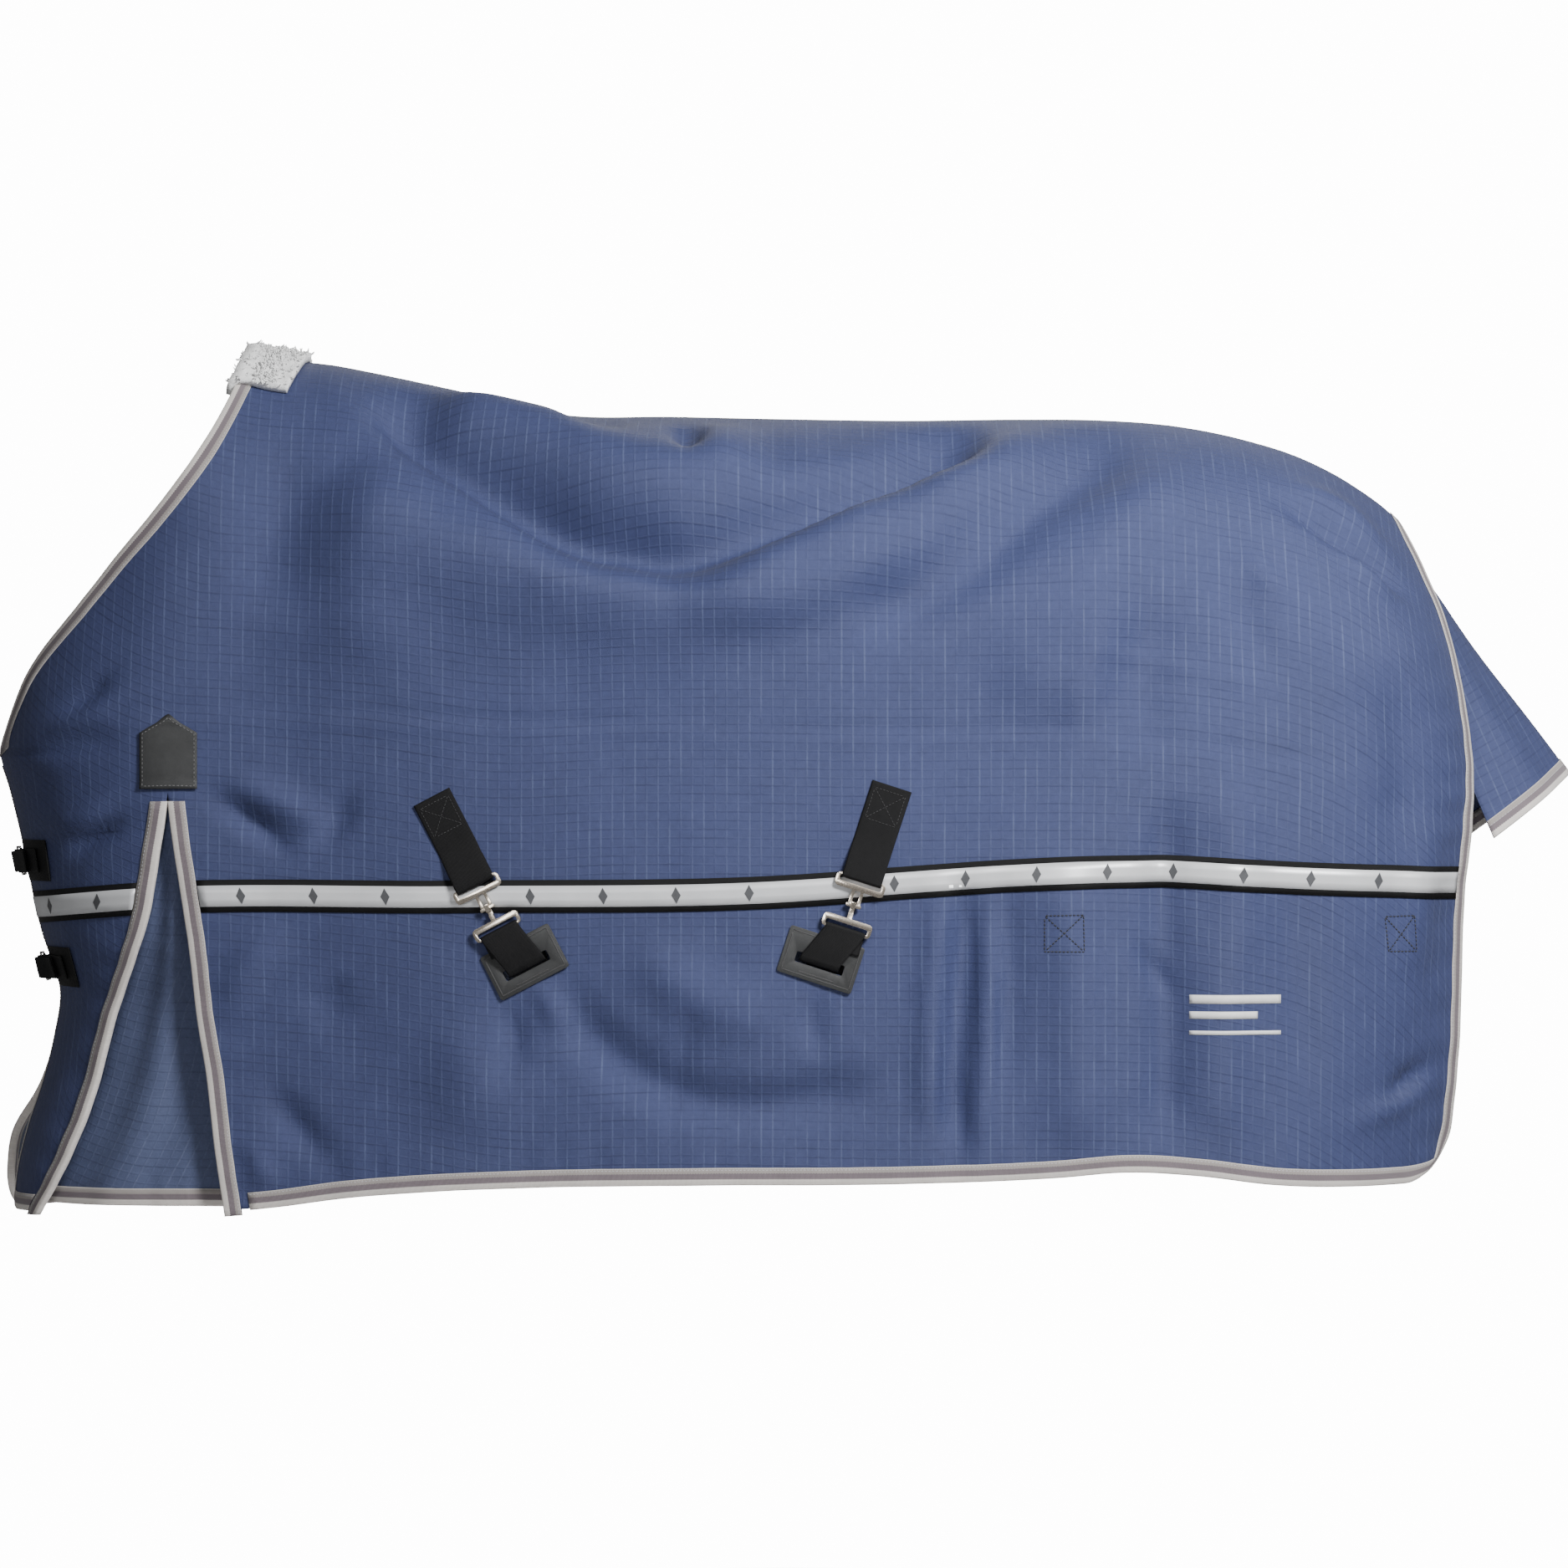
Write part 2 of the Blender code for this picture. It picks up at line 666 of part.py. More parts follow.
class Frame:
    """A flat working place on one side: u across, v down the strap, n away from the horse."""

    def __init__(self, origin, u, v, n):
        self.o = origin
        self.u = u
        self.v = v
        self.n = n

    def at(self, u, v, n):
        return self.o + self.u * u + self.v * v + self.n * n

    def matrix(self):
        m = Matrix.Identity(4)
        for row in range(3):
            m[row][0] = self.u[row]
            m[row][1] = self.v[row]
            m[row][2] = self.n[row]
            m[row][3] = self.o[row]
        return m


def side_frame(x, z, side, tilt, reach):
    """A frame at pattern place (x, z), turned by tilt degrees, levelled over the shell in its reach."""
    spots = []
    angle = math.radians(tilt)
    here, _ = on_side(x, z, side)
    normal = Vector((0, 0, 0))
    for a in (-1, -0.5, 0, 0.5, 1):
        for b in (-1, 0, 1):
            du = a * reach[0]
            dv = reach[1] + (reach[2] - reach[1]) * (b + 1) / 2
            px = here.x + du * math.cos(angle) + dv * math.sin(angle)
            pz = here.z + du * math.sin(angle) - dv * math.cos(angle)
            spot, n = on_side(px / KX, pz / KZ, side)
            spots.append(spot)
            normal += n
    normal.normalize()
    down = Vector((math.sin(angle), 0, -math.cos(angle)))
    down = (down - normal * down.dot(normal)).normalized()
    across = Vector((math.cos(angle), 0, math.sin(angle)))
    across = (across - normal * across.dot(normal) - down * across.dot(down)).normalized()
    heights = [(spot - here).dot(normal) for spot in spots]
    frame = Frame(here + normal * max(heights), across, down, normal)
    frame.low = min(heights) - max(heights)
    return frame


# ---------------------------------------------------------------- shapes from tools
def ribbon(name, path, across, width, thick, look, slanted=False):
    """Flat webbing swept along a line of points; across gives its width direction at each."""
    verts = []
    count = len(path)
    if isinstance(across, Vector):
        across = [across] * count
    for k, p in enumerate(path):
        before = (p - path[k - 1]).normalized() if k else None
        after = (path[k + 1] - p).normalized() if k < count - 1 else None
        way = (before or after) + (after or before)
        way.normalize()
        a = across[k].normalized()
        if not slanted:
            a = (a - way * a.dot(way)).normalized()
        up = a.cross(way).normalized()
        bend = 1.0
        if before is not None and after is not None:
            bend = 1.0 / max(0.5, math.sqrt(max(0.0, (1 + before.dot(after)) / 2)))
        for sa, sn in ((1, 1), (-1, 1), (-1, -1), (1, -1)):
            verts.append(p + a * (sa * width / 2) + up * (sn * thick / 2 * bend))
    faces = []
    for k in range(count - 1):       # both broad sides are split the same way, so a twist keeps the thickness
        for corner in ((0, 1, 5), (0, 5, 4), (1, 2, 6), (1, 6, 5), (2, 3, 6), (3, 7, 6), (3, 0, 4), (3, 4, 7)):
            faces.append([4 * k + c for c in corner])
    faces.append([3, 2, 1, 0])
    faces.append([4 * (count - 1) + k for k in range(4)])
    return node(name, verts, faces, look)


def take_mesh(ob):
    bpy.context.view_layer.update()
    shaped = ob.evaluated_get(bpy.context.evaluated_depsgraph_get())
    mesh = bpy.data.meshes.new_from_object(shaped)
    ob.modifiers.clear()
    old = ob.data
    ob.data = mesh
    if old.users == 0:
        bpy.data.meshes.remove(old)


def join_or_cut(ob, tool, operation):
    mod = ob.modifiers.new("shape", "BOOLEAN")
    mod.operation = operation
    mod.solver = "EXACT"
    mod.object = tool
    take_mesh(ob)
    bpy.data.objects.remove(tool, do_unlink=True)


def block(name, size, centre, look=METAL, rounding=0.0, segments=2, collection=None):
    """A box in frame axes, its upright edges rounded."""
    bpy.ops.mesh.primitive_cube_add(size=1.0)
    ob = bpy.context.object
    for home in list(ob.users_collection):
        home.objects.unlink(ob)
    (collection or guides).objects.link(ob)
    ob.name = name
    ob.data.name = name
    ob.data.transform(Matrix.Diagonal((*size, 1.0)))
    if rounding:
        bm = bmesh.new()
        bm.from_mesh(ob.data)
        upright = [e for e in bm.edges if abs(e.verts[0].co.z - e.verts[1].co.z) > 1e-6]
        bmesh.ops.bevel(bm, geom=upright, offset=rounding, segments=segments, affect="EDGES", profile=0.5)
        bm.to_mesh(ob.data)
        bm.free()
    ob.data.transform(Matrix.Translation(centre))
    return ob


def move_mesh(ob, matrix):
    """Move a mesh, turning its faces back out where the frame is left-handed."""
    ob.data.transform(matrix)
    if matrix.determinant() < 0:
        ob.data.flip_normals()


def finish_fitting(ob, name, matrix, look):
    for home in list(ob.users_collection):
        home.objects.unlink(ob)
    rug.objects.link(ob)
    ob.name = name
    ob.data.name = name
    move_mesh(ob, matrix)
    ob.data.materials.clear()
    paint(ob, name, *look)
    return ob


def bent_rod(name, path, radius, look, closed=True, sides=2):
    """A round rod bent along a line."""
    curve = bpy.data.curves.new(name, "CURVE")
    curve.dimensions = "3D"
    curve.bevel_depth = radius
    curve.bevel_resolution = sides
    curve.use_fill_caps = not closed
    line = curve.splines.new("POLY")
    line.points.add(len(path) - 1)
    for k, p in enumerate(path):
        line.points[k].co = (*p, 1.0)
    line.use_cyclic_u = closed
    tmp = bpy.data.objects.new(name, curve)
    guides.objects.link(tmp)
    bpy.context.view_layer.update()
    mesh = bpy.data.meshes.new_from_object(tmp.evaluated_get(bpy.context.evaluated_depsgraph_get()))
    bpy.data.objects.remove(tmp, do_unlink=True)
    ob = bpy.data.objects.new(name, mesh)
    guides.objects.link(ob)
    return ob


# ---------------------------------------------------------------- shoulder gussets
GUSSET_TUCK = 0.034
GUSSET_TOP_Z = -0.482
GUSSET_HEM_Z = -0.977
GUSSET_THICK = 0.0030
GUSSET_ROWS = 8
GUSSET_COLUMNS = 7


def gusset_point(side, s, t):
    z = GUSSET_TOP_Z + (GUSSET_HEM_Z - GUSSET_TOP_Z) * t
    a = slit_front_x(z)
    b = slit_rear_x(z)
    spread = ease(t * 2.5)
    tuck = 0.014 + (GUSSET_TUCK - 0.014) * spread
    wide_front = half_width(a, z) * KY
    x0 = a - tuck / KX
    if wide_front < 0.17:
        lo = -1.02
        hi = a
        aim = max(0.030, wide_front - tuck)
        for _ in range(40):
            mid = (lo + hi) / 2
            if half_width(mid, z) * KY < aim:
                lo = mid
            else:
                hi = mid
        x0 = max(hi, x0)
    x1 = b + tuck / KX
    x = x0 + (x1 - x0) * s
    d = 0.002
    p = skin(x, z, side)
    along = skin(x + d, z, side) - skin(x - d, z, side)
    up = skin(x, z + d, side) - skin(x, z - d, side)
    n = along.cross(up)
    n = n.normalized() * (1 if n.y * side > 0 else -1)
    depth = 0.0135 + 0.016 * ease(t * 1.3) * (0.55 + 0.45 * math.sin(math.pi * s))
    return p - n * depth, n


def sheet_from_rows(name, rows, high, low, look):
    return strip_between(name, rows, high, low, look)


for side, word in SIDES:
    stops = [0.0, 0.10, 0.22, 0.38, 0.54, 0.70, 0.86, 1.0 - BINDING_WIDTH / 0.495, 1.0]
    rows = [[gusset_point(side, i / GUSSET_COLUMNS, t) for i in range(GUSSET_COLUMNS + 1)] for t in stops]
    sheet_from_rows(word + "_shoulder_gusset", rows, 0.0, -GUSSET_THICK, FABRIC)
    hem = [(rows[-1][i], rows[-2][i]) for i in range(GUSSET_COLUMNS + 1)]
    binding(word + "_gusset_hem_binding", hem, 0.0, -GUSSET_THICK)

# ---------------------------------------------------------------- tail flap
FLAP_ROOT = Vector((0.765 * KX, 0.0, -0.134 * KZ))
FLAP_WAY = Vector((0.590, 0.0, -0.807)).normalized()
FLAP_IN = Vector((-0.807, 0.0, -0.590)).normalized()
FLAP_THICK = 0.0040
FLAP_HALF = (0.074, 0.136)
FLAP_DEPTH = (0.045, 0.150)


def flap_point(t, turn):
    half = FLAP_HALF[0] + (FLAP_HALF[1] - FLAP_HALF[0]) * t
    depth = FLAP_DEPTH[0] + (FLAP_DEPTH[1] - FLAP_DEPTH[0]) * t
    p = FLAP_ROOT + FLAP_WAY * (TAIL_FLAP_LENGTH * t)
    p += Vector((0, half * KY * math.sin(turn), 0)) + FLAP_IN * (depth * (1 - math.cos(turn)))
    n = -FLAP_IN * math.cos(turn) * half + Vector((0, depth * math.sin(turn), 0))
    return p, n.normalized()


stops = [0.0, 0.33, 0.66, 1.0 - BINDING_WIDTH / TAIL_FLAP_LENGTH, 1.0]
turns = [math.radians(a) for a in (-84, -66, -46, -23, 0, 23, 46, 66, 84)]
rows = [[flap_point(t, a) for a in turns] for t in stops]
sheet_from_rows("tail_flap", rows, 0.0, -FLAP_THICK, FABRIC)
binding("tail_flap_binding", [(rows[-1][i], rows[-2][i]) for i in range(len(turns))], 0.0, -FLAP_THICK)

# ---------------------------------------------------------------- fleece over the withers
FLEECE_THICK = 0.009


def fleece_line(side, j):
    front = lookup[side][0]
    return [station(front[j][i]) for i in range(0, 7)]


def mix_line(a, b, t):
    return [between(p, q, t) for p, q in zip(a, b)]


fleece = [mix_line(fleece_line(-1, 1), fleece_line(-1, 2), 0.72), fleece_line(-1, 1), fleece_line(-1, 0),
          fleece_line(1, 1), mix_line(fleece_line(1, 1), fleece_line(1, 2), 0.72)]
wrap("wither_fleece", fleece, 0.0, INNER, LAYER_GAP + BINDING_THICK + 0.0006, FLEECE_THICK, 0.006, FLEECE)

# ---------------------------------------------------------------- patch over the top of each slit
PATCH_WIDTH = 0.071
PATCH_BODY = 0.066
PATCH_POINT = 0.022

for side, word in SIDES:
    low_z = SLIT_TOP[1] + 0.004 / KZ
    rows = []
    for v in (0.0, 0.5, 1.0, 1.5):
        row = []
        for k in range(7):
            s = (k - 3) / 3
            x = SLIT_TOP[0] + 0.001 + s * PATCH_WIDTH / 2 / KX
            rise = PATCH_BODY * min(v, 1.0)
            if v > 1.0:
                rise += 0.003 + PATCH_POINT * (1 - abs(s))
            spot, n = on_side(x, low_z + rise / KZ, side)
            east, _ = on_side(x + 0.012, low_z + rise / KZ, side)
            west, _ = on_side(x - 0.012, low_z + rise / KZ, side)
            up, _ = on_side(x, low_z + (rise + 0.01) / KZ, side)
            down, _ = on_side(x, low_z + (rise - 0.01) / KZ, side)
            n = (east - west).cross(up - down)
            n = n.normalized() * (1 if n.y * side > 0 else -1)
            row.append((spot, n))
        rows.append(row)
    sheet_from_rows(word + "_slit_top_patch", rows, 0.0010 + PATCH_THICK, 0.0010, HIDE)

# ---------------------------------------------------------------- belly strap fastenings
PLATE_LIFT = 0.0080
PLATE_THICK = 0.0025
PLATE_WIDTH = STRAP_WIDTH + 0.012
LOOP_R = 0.0033
PIVOT_V = 0.0340
LOWER_BAR_V = 0.0660
SLOT_SIZE = (STRAP_WIDTH + 0.011, 0.013)
LABEL_SIZE = (0.095, 0.059)


def around(v, n, start, stop, steps=6, radius=LOOP_R):
    """Points of a webbing loop round a bar; angles run from +n towards +v."""
    turns = [math.radians(start + (stop - start) * k / steps) for k in range(steps + 1)]
    return [(v + radius * math.sin(a), n + radius * math.cos(a)) for a in turns]


def eye_plate(name, frame):
    mid = PLATE_LIFT
    ob = block(name, (PLATE_WIDTH, 0.017, PLATE_THICK), (0, 0.007, mid), rounding=0.0045)
    join_or_cut(ob, block("slot", (STRAP_WIDTH + 0.003, 0.007, 0.01), (0, 0.005, mid)), "DIFFERENCE")
    for sign in (-1, 1):
        leg = block("leg", (0.004, 0.022, PLATE_THICK * 0.96), (sign * 0.0055, 0.025, mid))
        join_or_cut(ob, leg, "UNION")
    join_or_cut(ob, block("head", (0.019, 0.004, PLATE_THICK), (0, PIVOT_V, mid)), "UNION")
    return finish_fitting(ob, name, frame.matrix(), METAL)


def hook_plate(name, frame):
    mid = PLATE_LIFT
    ob = block(name, (PLATE_WIDTH, 0.017, PLATE_THICK), (0, 0.059, mid), rounding=0.0045)
    join_or_cut(ob, block("slot", (STRAP_WIDTH + 0.003, 0.007, 0.01), (0, 0.061, mid)), "DIFFERENCE")
    tongue = block("tongue", (0.006, 0.009, 0.00595), (0, 0.0475, mid - 0.001725))
    join_or_cut(ob, tongue, "UNION")
    back = block("back", (0.0058, 0.0157, 0.0019), (0, 0.03715, mid - 0.0037))
    join_or_cut(ob, back, "UNION")
    top = block("top", (0.0060, 0.0019, 0.0094), (0, 0.03025, mid))
    join_or_cut(ob, top, "UNION")
    lip = block("lip", (0.0058, 0.0090, 0.0017), (0, 0.0340, mid + 0.0037))
    join_or_cut(ob, lip, "UNION")
    return finish_fitting(ob, name, frame.matrix(), METAL)


def slot_cutter(frame, u, v, deep, high):
    cutter = block("slot_cutter", (SLOT_SIZE[0], SLOT_SIZE[1], high - deep), (u, v, (high + deep) / 2))
    move_mesh(cutter, frame.matrix())
    return cutter


def belly_fastening(word, x, z, tilt, slot_u, slot_v):
    frame = side_frame(x, z, -1, tilt, (0.032, -0.12, 0.15))
    mid = PLATE_LIFT
    path = [(-0.119, 0.0016), (-0.066, 0.0018), (-0.046, 0.0034), (-0.022, 0.0082), (-0.006, mid + 0.0031)]
    path += around(0.0, mid, 0, 180)
    path += [(-0.006, 0.0046), (-0.030, 0.0030)]
    ribbon(word + "_belly_upper_strap", [frame.at(0, v, n) for v, n in path], frame.u, STRAP_WIDTH,
           WEBBING_THICK, BLACK)
    eye_plate(word + "_eye_plate", frame)
    hook_plate(word + "_hook_plate", frame)

    shift = slot_v - 0.118
    points = [frame.at(0, 0.092, mid - 0.0041), frame.at(0, 0.074, mid - 0.0034)]
    points += [frame.at(0, v, n) for v, n in around(LOWER_BAR_V, mid, 180, 360)]
    for v, n in ((0.086 + shift, 0.0104), (0.104 + shift, 0.0078), (0.1165 + shift, 0.0048),
                 (0.1208 + shift, 0.0014), (0.1218 + shift, -0.0050), (0.1222 + shift, frame.low - 0.0100)):
        lean = clamp01((v - LOWER_BAR_V) / (slot_v - 0.004 - LOWER_BAR_V))
        points.append(frame.at(slot_u * lean, v, n))
    ribbon(word + "_hook_strap", points, frame.u, STRAP_WIDTH, WEBBING_THICK, BLACK, slanted=True)

    label = block("label", (LABEL_SIZE[0], LABEL_SIZE[1], PATCH_THICK),
                  (slot_u, slot_v - 0.005, 0.0005 + PATCH_THICK / 2), rounding=0.002)
    tool = block("slot", (SLOT_SIZE[0], SLOT_SIZE[1], 0.02), (slot_u, slot_v, 0.0))
    join_or_cut(label, tool, "DIFFERENCE")
    finish_fitting(label, word + "_slot_patch", frame.matrix(), HIDE)
    for sheet in (shell, lining):
        join_or_cut(sheet, slot_cutter(frame, slot_u, slot_v, frame.low - 0.02, 0.01), "DIFFERENCE")
    return frame


FRONT_STRAP = (-0.3769, -0.5774, 27.5, 0.0095, 0.118)
REAR_STRAP = (0.0949, -0.5716, -18.0, -0.0172, 0.114)
front_frame = belly_fastening("front", *FRONT_STRAP)
rear_frame = belly_fastening("rear", *REAR_STRAP)


SAG_STEPS = 18


def belly_strap(word, frame, slot_u, slot_v, far_x, lowest):
    """The strap from the slot under the belly to its anchor inside the far side."""
    inner = INNER - 0.0024
    far = side_frame(far_x, -0.62, 1, -27.0 if far_x > 0 else 20.0, (0.030, -0.01, 0.13))
    a = frame.at(slot_u, slot_v + 0.016, frame.low + inner)
    b = frame.at(slot_u * 1.05, slot_v + 0.036, frame.low + inner - 0.001)
    c = frame.at(slot_u * 1.1, slot_v + 0.056, frame.low + inner - 0.004)
    x = far.at(0, 0.094, far.low + inner - 0.004)
    y = far.at(0, 0.074, far.low + inner - 0.001)
    z = far.at(0, 0.0, far.low + inner)
    leave = (c - b).normalized()
    reach = (y - x).normalized()
    slack = (lowest * KZ - (c.z + x.z) / 2) * 8 / (leave.z - reach.z)
    run = x - c
    level = Vector((abs(run.y), -run.x * (1 if run.y > 0 else -1), 0)).normalized()
    points = [a, b]
    wide = [frame.u, frame.u]
    for k in range(SAG_STEPS + 1):
        t = k / SAG_STEPS
        p = c * (2 * t ** 3 - 3 * t * t + 1) + x * (3 * t * t - 2 * t ** 3)
        p += leave * slack * (t ** 3 - 2 * t * t + t) + reach * slack * (t ** 3 - t * t)
        points.append(p)
        end = frame.u if t < 0.5 else far.u
        wide.append(end.lerp(level, ease(min(t, 1 - t) * 3.0)))
    points += [y, y.lerp(z, 0.5), z]
    wide += [far.u, far.u, far.u]
    ribbon(word + "_belly_strap", points, wide, STRAP_WIDTH, WEBBING_THICK, BLACK)


belly_strap("front", front_frame, FRONT_STRAP[3], FRONT_STRAP[4], 0.090, -0.878)
belly_strap("rear", rear_frame, REAR_STRAP[3], REAR_STRAP[4], -0.360, -0.892)

# ---------------------------------------------------------------- chest buckles
BUCKLE_LIFT = 0.0085
BUCKLE_BAR_Y = -0.0220
CHEST_PATCH_HEIGHT = 0.052


def chest_place(y, z, h):
    """A point h above the chest, with its upward direction along the chest."""
    d = 0.010
    east, _ = on_chest(y + d, z)
    west, _ = on_chest(y - d, z)
    up, _ = on_chest(y, z + 0.02)
    down, _ = on_chest(y, z - 0.02)
    here, _ = on_chest(y, z)
    rise = (up - down).normalized()
    n = rise.cross(east - west)
    n = n.normalized() * (1 if n.x < 0 else -1)
    return here + n * h, rise


def chest_frame(z):
    d = 0.016
    a, _ = on_chest(-d, z)
    b, _ = on_chest(d, z)
    up, _ = on_chest(-d, z + 0.03)
    down, _ = on_chest(-d, z - 0.03)
    fall = (down - up).normalized()
    across = Vector((0, 1, 0))
    n = fall.cross(across)
    n = n.normalized() * (1 if n.x < 0 else -1)
    here = (a + b) / 2
    here.y = 0.0
    here += n * max(0.0, (a - here).dot(n), (b - here).dot(n))
    return Frame(here, across, fall, n)


def chest_ribbon(name, steps, frame, z, width, thick, look):
    """Steps are ("on", y, height over the chest) or ("flat", y, height over the buckle's plane)."""
    points = []
    wide = []
    for kind, y, h in steps:
        if kind == "on":
            p, rise = chest_place(y, z, h)
            wide.append(-rise)
        else:
            p = frame.at(y, 0, h)
            wide.append(frame.v)
        points.append(p)
    return ribbon(name, points, wide, width, thick, look)


def chest_buckle(word, z):
    frame = chest_frame(z)
    steps = [("on", -0.106, 0.0034), ("on", -0.086, 0.0028)]
    steps += [("on", y, 0.0022) for y in (-0.066, -0.048, -0.034)]
    chest_ribbon(word + "_chest_patch", steps, frame, z, CHEST_PATCH_HEIGHT, 0.0016, BLACK)

    mid = BUCKLE_LIFT
    steps = [("on", -0.088, 0.0056), ("on", -0.066, 0.0050), ("on", -0.048, 0.0048), ("flat", -0.031, 0.0036)]
    steps += [("flat", y, n) for y, n in around(BUCKLE_BAR_Y, mid, 180, 0)]
    steps += [("flat", -0.031, 0.0104), ("on", -0.048, 0.0080), ("on", -0.061, 0.0074)]
    tab = chest_ribbon(word + "_buckle_tab", steps, frame, z, CHEST_STRAP_WIDTH, WEBBING_THICK, BLACK)
    notch = block("notch", (0.0115, 0.0046, 0.014), (BUCKLE_BAR_Y + 0.0002, 0, mid))
    move_mesh(notch, frame.matrix())
    join_or_cut(tab, notch, "DIFFERENCE")

    ring = block("ring", (0.0350, 0.0380, 0.0025), (-0.0060, 0, mid), rounding=0.003)
    hole = block("hole", (0.0285, 0.0316, 0.01), (-0.00625, 0, mid))
    join_or_cut(ring, hole, "DIFFERENCE")
    finish_fitting(ring, word + "_buckle_frame", frame.matrix(), METAL)

    bpy.ops.mesh.primitive_cylinder_add(vertices=16, radius=0.0037, depth=0.0034)
    eye = bpy.context.object
    bpy.ops.mesh.primitive_cylinder_add(vertices=16, radius=0.0024, depth=0.01)
    bore = bpy.context.object
    join_or_cut(eye, bore, "DIFFERENCE")
    eye.data.transform(Matrix.Rotation(math.radians(90), 4, "X"))
    eye.data.transform(Matrix.Translation((BUCKLE_BAR_Y, 0, mid)))
    rod = block("rod", (0.0330, 0.0020, 0.0020), (-0.0045, 0, mid + 0.0027))
    join_or_cut(eye, rod, "UNION")
    finish_fitting(eye, word + "_buckle_prong", frame.matrix(), METAL)

    steps = [("on", 0.118, 0.0038), ("on", 0.095, 0.0036), ("on", 0.072, 0.0030), ("on", 0.052, 0.0026)]
    steps += [("on", 0.036, 0.0030), ("flat", 0.022, 0.0038)]
    steps += [("flat", 0.0130, 0.0052), ("flat", 0.0060, 0.0058)]
    steps += [("flat", -0.0170, 0.0148), ("flat", -0.0300, 0.0148)]
    steps += [("on", -0.048, 0.0112), ("on", -0.064, 0.0102)]
    billet = chest_ribbon(
        word + "_chest_strap", steps, frame, z, CHEST_STRAP_WIDTH * 0.9, WEBBING_THICK, BLACK)
    hole = block("hole", (0.0240, 0.0044, 0.02), (-0.0080, 0, 0.0115))
    move_mesh(hole, frame.matrix())
    join_or_cut(billet, hole, "DIFFERENCE")
    return frame


upper_chest = chest_buckle("upper", -0.551)
lower_chest = chest_buckle("lower", -0.684)

# ---------------------------------------------------------------- leg strap rings inside the lining
RING_WIRE = 0.0018
RING_HALF = 0.0210
RING_BAR_V = 0.0270
ring_frames = {}

for side, word in SIDES:
    for part, x, z in (("front", 0.341, -0.638), ("rear", 0.755, -0.641)):
        frame = side_frame(x, z, side, 0.0, (0.022, -0.024, 0.06))
        base = frame.low + INNER - 0.0018
        bar = base - LOOP_R
        path = [(-0.022, base), (0.016, base)]
        path += around(RING_BAR_V, bar, 0, 180)
        path += [(0.016, base - 0.0050), (-0.006, base - 0.0028)]
        ribbon(word + "_" + part + "_ring_tab", [frame.at(0, v, n) for v, n in path], frame.u, 0.036,
               WEBBING_THICK, BLACK)
        line = [(-RING_HALF, RING_BAR_V), (RING_HALF, RING_BAR_V)]
        for k in range(9):
            a = math.pi * k / 8
            line.append((RING_HALF * math.cos(a), 0.034 + RING_HALF * math.sin(a)))
        ring = bent_rod("ring", [(u, v, bar) for u, v in line], RING_WIRE, METAL)
        finish_fitting(ring, word + "_" + part + "_leg_ring", frame.matrix(), METAL)
        ring_frames[word + "_" + part] = (frame, bar)


# ---------------------------------------------------------------- origins on the joints
def turn_about(point, *names):
    """Give moving pieces their origin on the line they turn about."""
    for name in names:
        ob = bpy.data.objects[name]
        ob.data.transform(Matrix.Translation(-point))
        ob.location = point


turn_about(FLAP_ROOT, "tail_flap", "tail_flap_binding")
for word, frame in (("front", front_frame), ("rear", rear_frame)):
    turn_about(frame.at(0, 0, PLATE_LIFT), word + "_eye_plate")
    turn_about(frame.at(0, PIVOT_V, PLATE_LIFT), word + "_hook_plate")
    turn_about(frame.at(0, LOWER_BAR_V, PLATE_LIFT), word + "_hook_strap")
for word, frame in (("upper", upper_chest), ("lower", lower_chest)):
    turn_about(frame.at(BUCKLE_BAR_Y, 0, BUCKLE_LIFT), word + "_buckle_prong")
for place, (frame, bar) in ring_frames.items():
    turn_about(frame.at(0, RING_BAR_V, bar), place + "_leg_ring")
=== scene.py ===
"""The turnout rug in its studio: sewn cloth, woven bindings, webbing, fleece and metal fittings."""
import json
import math

import bmesh
import bpy
import numpy as np
from mathutils import Matrix, Vector, noise
from mathutils.bvhtree import BVHTree


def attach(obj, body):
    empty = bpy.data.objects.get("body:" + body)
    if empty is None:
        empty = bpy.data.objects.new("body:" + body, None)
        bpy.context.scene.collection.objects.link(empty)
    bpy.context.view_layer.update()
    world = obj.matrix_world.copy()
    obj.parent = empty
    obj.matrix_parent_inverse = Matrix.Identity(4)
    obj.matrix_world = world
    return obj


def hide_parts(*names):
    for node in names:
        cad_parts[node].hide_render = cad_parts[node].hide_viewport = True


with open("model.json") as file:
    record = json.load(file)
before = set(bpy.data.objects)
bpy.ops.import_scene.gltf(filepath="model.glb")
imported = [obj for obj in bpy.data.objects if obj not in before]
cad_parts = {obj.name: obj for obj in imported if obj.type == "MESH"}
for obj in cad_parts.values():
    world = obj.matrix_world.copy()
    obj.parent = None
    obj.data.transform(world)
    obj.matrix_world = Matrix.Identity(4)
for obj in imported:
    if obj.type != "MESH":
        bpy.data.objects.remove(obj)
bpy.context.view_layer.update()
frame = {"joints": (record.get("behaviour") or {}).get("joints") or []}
JOINTS = {joint["name"]: joint for joint in frame["joints"]}
SIDES = ((-1, "near"), (1, "off"))

# ---------------------------------------------------------------- sizes of the sewn pieces, in metres
BINDING_WIDTH = 0.020
BAND_WIDTH = 0.040
TAPE_WIDTH = 0.026
STRAP_WIDTH = 0.050
CHEST_STRAP_WIDTH = 0.030
TAIL_FLAP_LENGTH = 0.382
SHELL_THICK = 0.0050
LAYER_GAP = 0.0004
LINING_THICK = 0.0012
INNER = -(SHELL_THICK + LAYER_GAP + LINING_THICK)
PLATE_LIFT = 0.0080
PIVOT_V = 0.0340
LOWER_BAR_V = 0.0660
BUCKLE_LIFT = 0.0085
BUCKLE_BAR_Y = -0.0220


